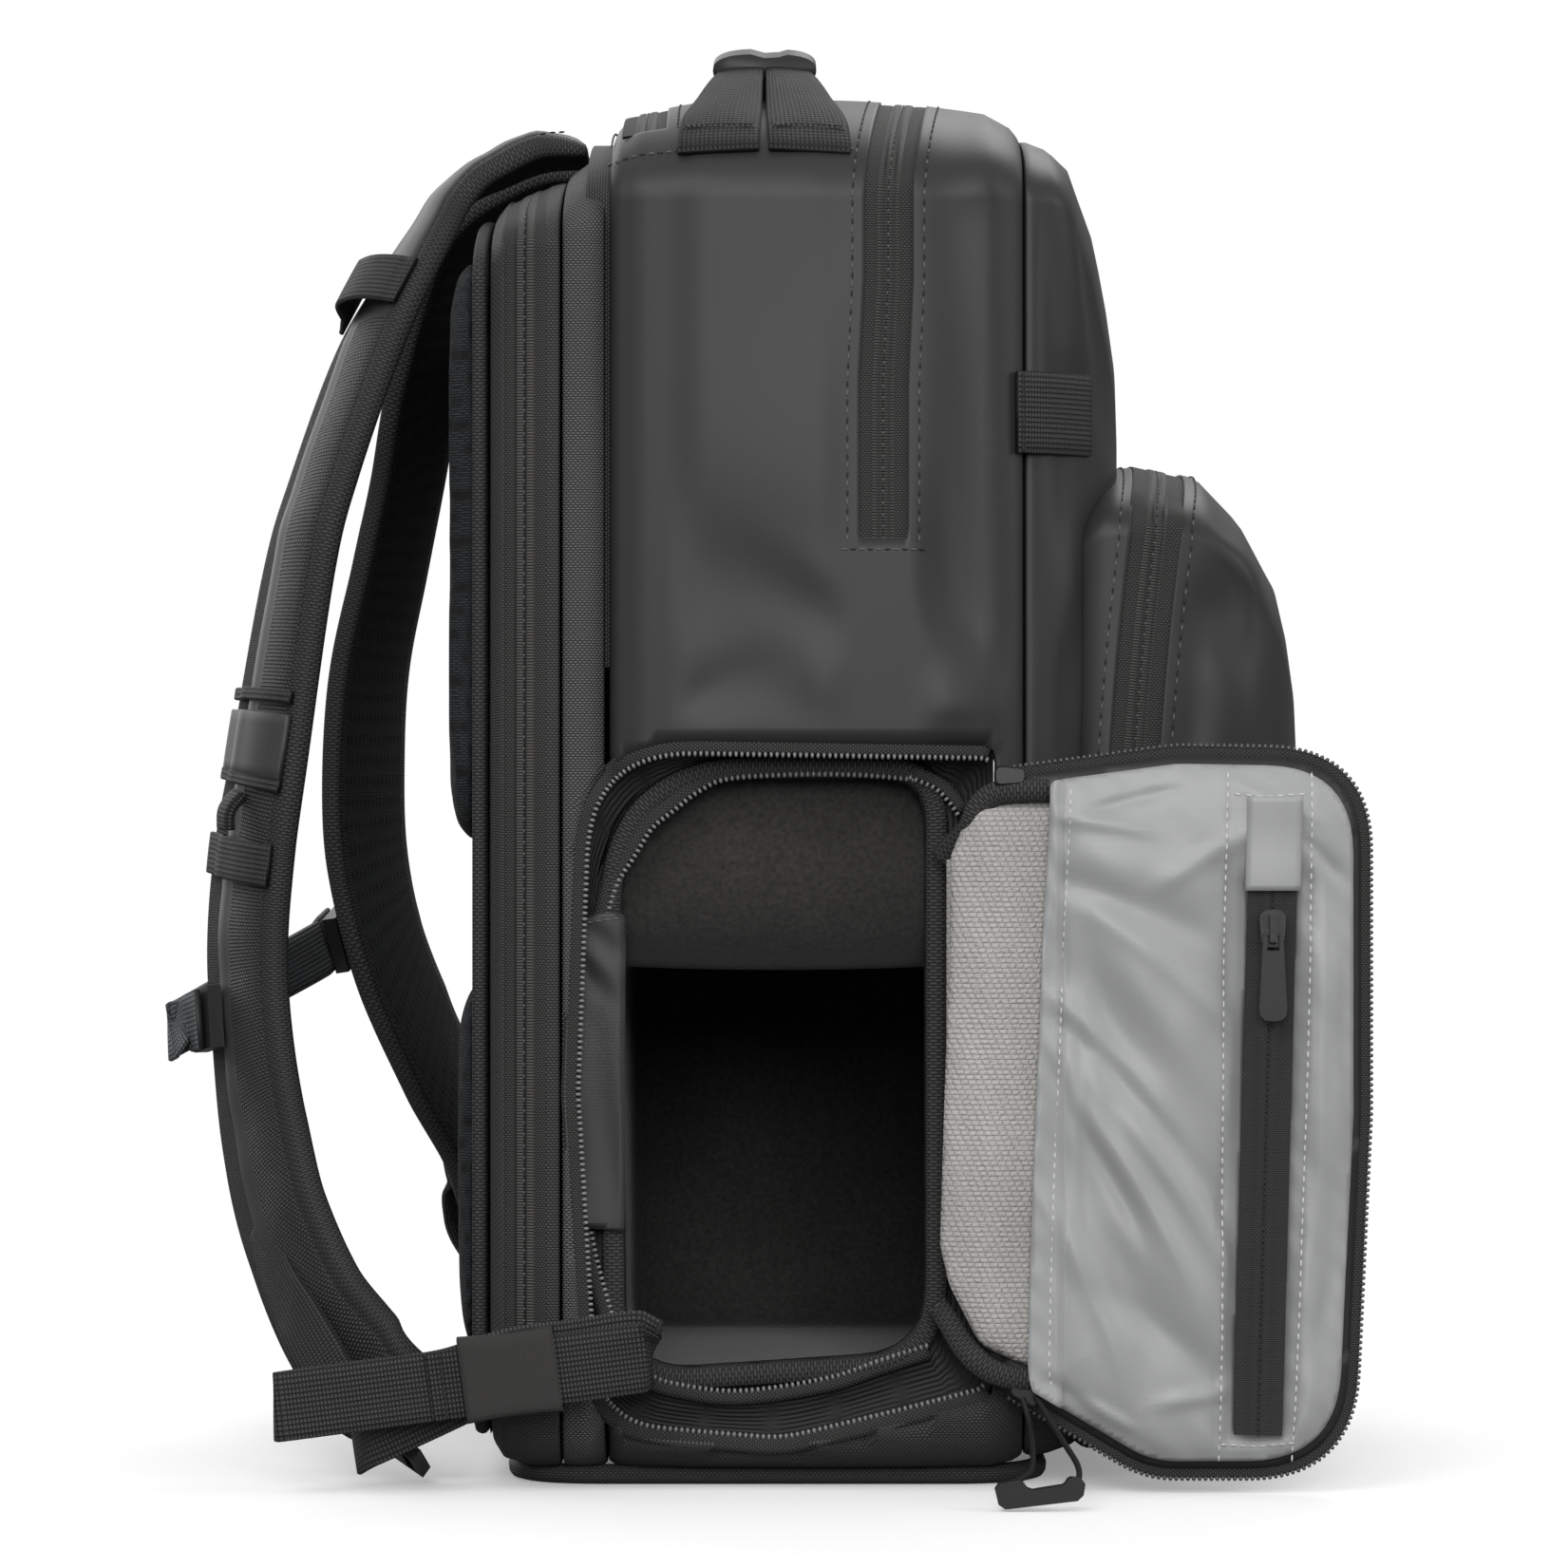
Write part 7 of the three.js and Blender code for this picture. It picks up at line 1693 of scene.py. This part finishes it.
# %% Carrying handle and lash loops
HANDLE_ROWS = [(0.965, 0.6, 1.0, 24.5), (0.945, 1.6, 1.0, 24.5), (0.86, 2.2, 0.95, 24), (0.74, 3.6, 0.82, 21),
               (0.6, 6.5, 0.66, 17), (0.46, 9, 0.52, 13.5), (0.3, 11, 0.5, 12.4), (0, 12, 0.5, 12.4)]
HANDLE_X, HANDLE_SPREAD = -6.0, 13.6
span = [(-a, l, s, w) for a, l, s, w in HANDLE_ROWS] + [(a, l, s, w) for a, l, s, w in HANDLE_ROWS[-2::-1]]
for label, way in (("rear", -1), ("front", 1)):
    rows = []
    for a, l, s, w in span:
        y = a * HALF_WIDTH
        rows.append((HANDLE_X + way * HANDLE_SPREAD * s, y, float(main.top(9.5, y)) + l, w))
    laid = smooth_line(rows, 2.0)
    lean = np.full(len(laid), way * 0.1)
    outward = unit(np.stack([lean, laid[:, 1] / HALF_WIDTH * 1.2, np.ones(len(laid))], 1))
    _, across, out = frames_on(laid[:, :3], outward)
    curl = np.clip((np.abs(laid[:, 1]) - 40) / 60, 0, 1) * np.clip((128 - np.abs(laid[:, 1])) / 30, 0, 1)
    profile = np.stack([strip_profile(w, 1.8, crown=0.2) for w in laid[:, 3]])
    profile[..., 1] -= (curl * 2.6)[:, None] * (profile[..., 0] / 12) ** 2
    piece = closed_sweep(f"handle_strip_{label}", laid[:, :3], across, out, profile, [handle_cloth])
    settle(piece, [f"handle_webbing_{label}"])
    for side, k in (("near", 6), ("far", len(laid) - 7)):
        along = unit(laid[k + 1, :3] - laid[k, :3])
        tack(f"handle_tack_{label}_{side}", laid[k, :3], along, across[k], out[k], 23)

grip_y = np.linspace(-0.47 * HALF_WIDTH, 0.47 * HALF_WIDTH, 60)
grip_z = np.interp(np.abs(grip_y) / HALF_WIDTH, [0, 0.3, 0.46, 0.6], [12, 11, 9, 6.5])
grip_line = np.stack([np.full(60, HANDLE_X), grip_y, main.top(9.5, grip_y) + grip_z], 1)
_, across, out = frames_on(grip_line, np.array([0, 0, 1.0]))
angles = np.linspace(0, 2 * np.pi, 40, endpoint=False)
ellipse = np.stack([np.sign(np.cos(angles)) * np.abs(np.cos(angles)) ** 0.7 * 16.0,
                    np.sign(np.sin(angles)) * np.abs(np.sin(angles)) ** 0.8 * 5.0], 1)
ellipse[:, 1] *= 1 - 0.45 * np.exp(-((ellipse[:, 0] - 2) / 2.6) ** 2)
grip = closed_sweep("handle_sleeve", grip_line, across, out, ellipse[::-1], [coated])
settle(grip, ["handle_grip"])

for side, sign in (("near", -1), ("far", 1)):
    share = np.linspace(0, 1, 11)
    x = 69.4 + 22.6 * share
    seat = main.side(69.4, 321.5) + (front.side(92.0, 321.5) - main.side(69.4, 321.5)) * share + 1.6
    line = np.stack([x, sign * (seat + 2.8 * np.sin(np.pi * share)), np.full(11, 321.5)], 1)
    outward = np.array([0, sign, 0.0])
    webbing(f"lash_webbing_{side}", line, outward, 24.5, [f"lash_loop_{side}"], webbing_cloth)
    for label, x_at in (("back", 71.5), ("front", 90.5)):
        z = np.linspace(310.5, 332.5, 12)
        y = sign * (np.interp(x_at, x, np.abs(line[:, 1])) + 0.9)
        stitches = np.stack([np.full(12, x_at), np.full(12, y), z], 1)
        sewn(f"lash_stitches_{side}_{label}", stitches, outward, pitch=1.9,
             threads=[dark_thread], order=(0,), lift=0.2)

# %% [markdown]
# The photograph was taken on white with a wide soft light. A pale world lights the bag from all
# round, five large lamps shape it, and a white floor takes the contact shadow and fades out.

# %% Floor and light
floor_mesh = bpy.data.meshes.new("studio_floor")
floor_mesh.from_pydata([(-6, -6, 0), (6, -6, 0), (6, 8, 0), (-6, 8, 0)], [], [(0, 1, 2, 3)])
floor = bpy.data.objects.new("studio_floor", floor_mesh)
bpy.context.collection.objects.link(floor)
white = bpy.data.materials.new("white_floor")
white.use_nodes = True
paper = white.node_tree.nodes["Principled BSDF"]
paper.inputs["Roughness"].default_value = 0.9
paper.inputs["Emission Strength"].default_value = 0.26
w = Wiring(white.node_tree)
spot = w.node("ShaderNodeTexCoord", out=3)
tone = w.node("ShaderNodeTexNoise", {"Vector": spot, "Scale": 3.0})
seen = w.node("ShaderNodeLightPath", out=0)
w.put(paper.inputs["Base Color"], w.mix(seen, grey(0.3), w.mix(tone, grey(0.93), grey(0.96))))
w.put(paper.inputs["Emission Color"], w.mix(seen, grey(0.0), grey(1.0)))
from_middle = w.node("ShaderNodeVectorMath", {0: spot, 1: (1.0, 1.0, 0.0)}, operation="MULTIPLY")
distance = w.node("ShaderNodeVectorMath", {0: from_middle}, out=1, operation="LENGTH")
faded = w.node("ShaderNodeMapRange", {"Value": distance, "From Min": 0.16, "From Max": 0.36, "To Min": 1.0,
                                      "To Max": 0.0}, interpolation_type="SMOOTHSTEP")
w.put(paper.inputs["Alpha"], faded)
floor_mesh.materials.append(white)

world = bpy.data.worlds.new("white_studio")
bpy.context.scene.world = world
world.use_nodes = True
w = Wiring(world.node_tree)
seen = w.node("ShaderNodeLightPath", out=0)
sky = world.node_tree.nodes["Background"]
sky.inputs[0].default_value = (1, 1, 1, 1)
height = w.node("ShaderNodeSeparateXYZ", {0: w.node("ShaderNodeTexCoord", out=0)}, out=2)
glow = w.node("ShaderNodeMapRange", {"Value": height, "From Min": -0.15, "From Max": 0.5, "To Min": 0.16,
                                     "To Max": 0.5})
w.put(sky.inputs[1], w.math("MAXIMUM", seen, glow))
LAMPS = [  # columns: name, place, aim, size, watts
    ("key", (-0.7, -1.8, 1.7), (0, 0, 0.32), 1.0, 15),
    ("front", (0.1, -2.9, 1.0), (0, 0, 0.3), 1.0, 30),
    ("back", (-1.2, 2.6, 1.2), (0, 0, 0.25), 2.2, 24),
    ("side", (2.0, -0.9, 1.0), (0.1, 0, 0.3), 0.8, 8),
    ("rim", (0.5, 1.3, 1.7), (0, 0, 0.4), 1.0, 10),
]
for name, place, aim, size, watts in LAMPS:
    lamp = bpy.data.objects.new(name, bpy.data.lights.new(name, "AREA"))
    lamp.data.size = size
    lamp.data.energy = watts
    lamp.location = place
    lamp.rotation_euler = (Vector(aim) - Vector(place)).to_track_quat("-Z", "Y").to_euler()
    bpy.context.collection.objects.link(lamp)
bpy.context.scene.view_settings.view_transform = "Standard"
print("lamps:", len(LAMPS))
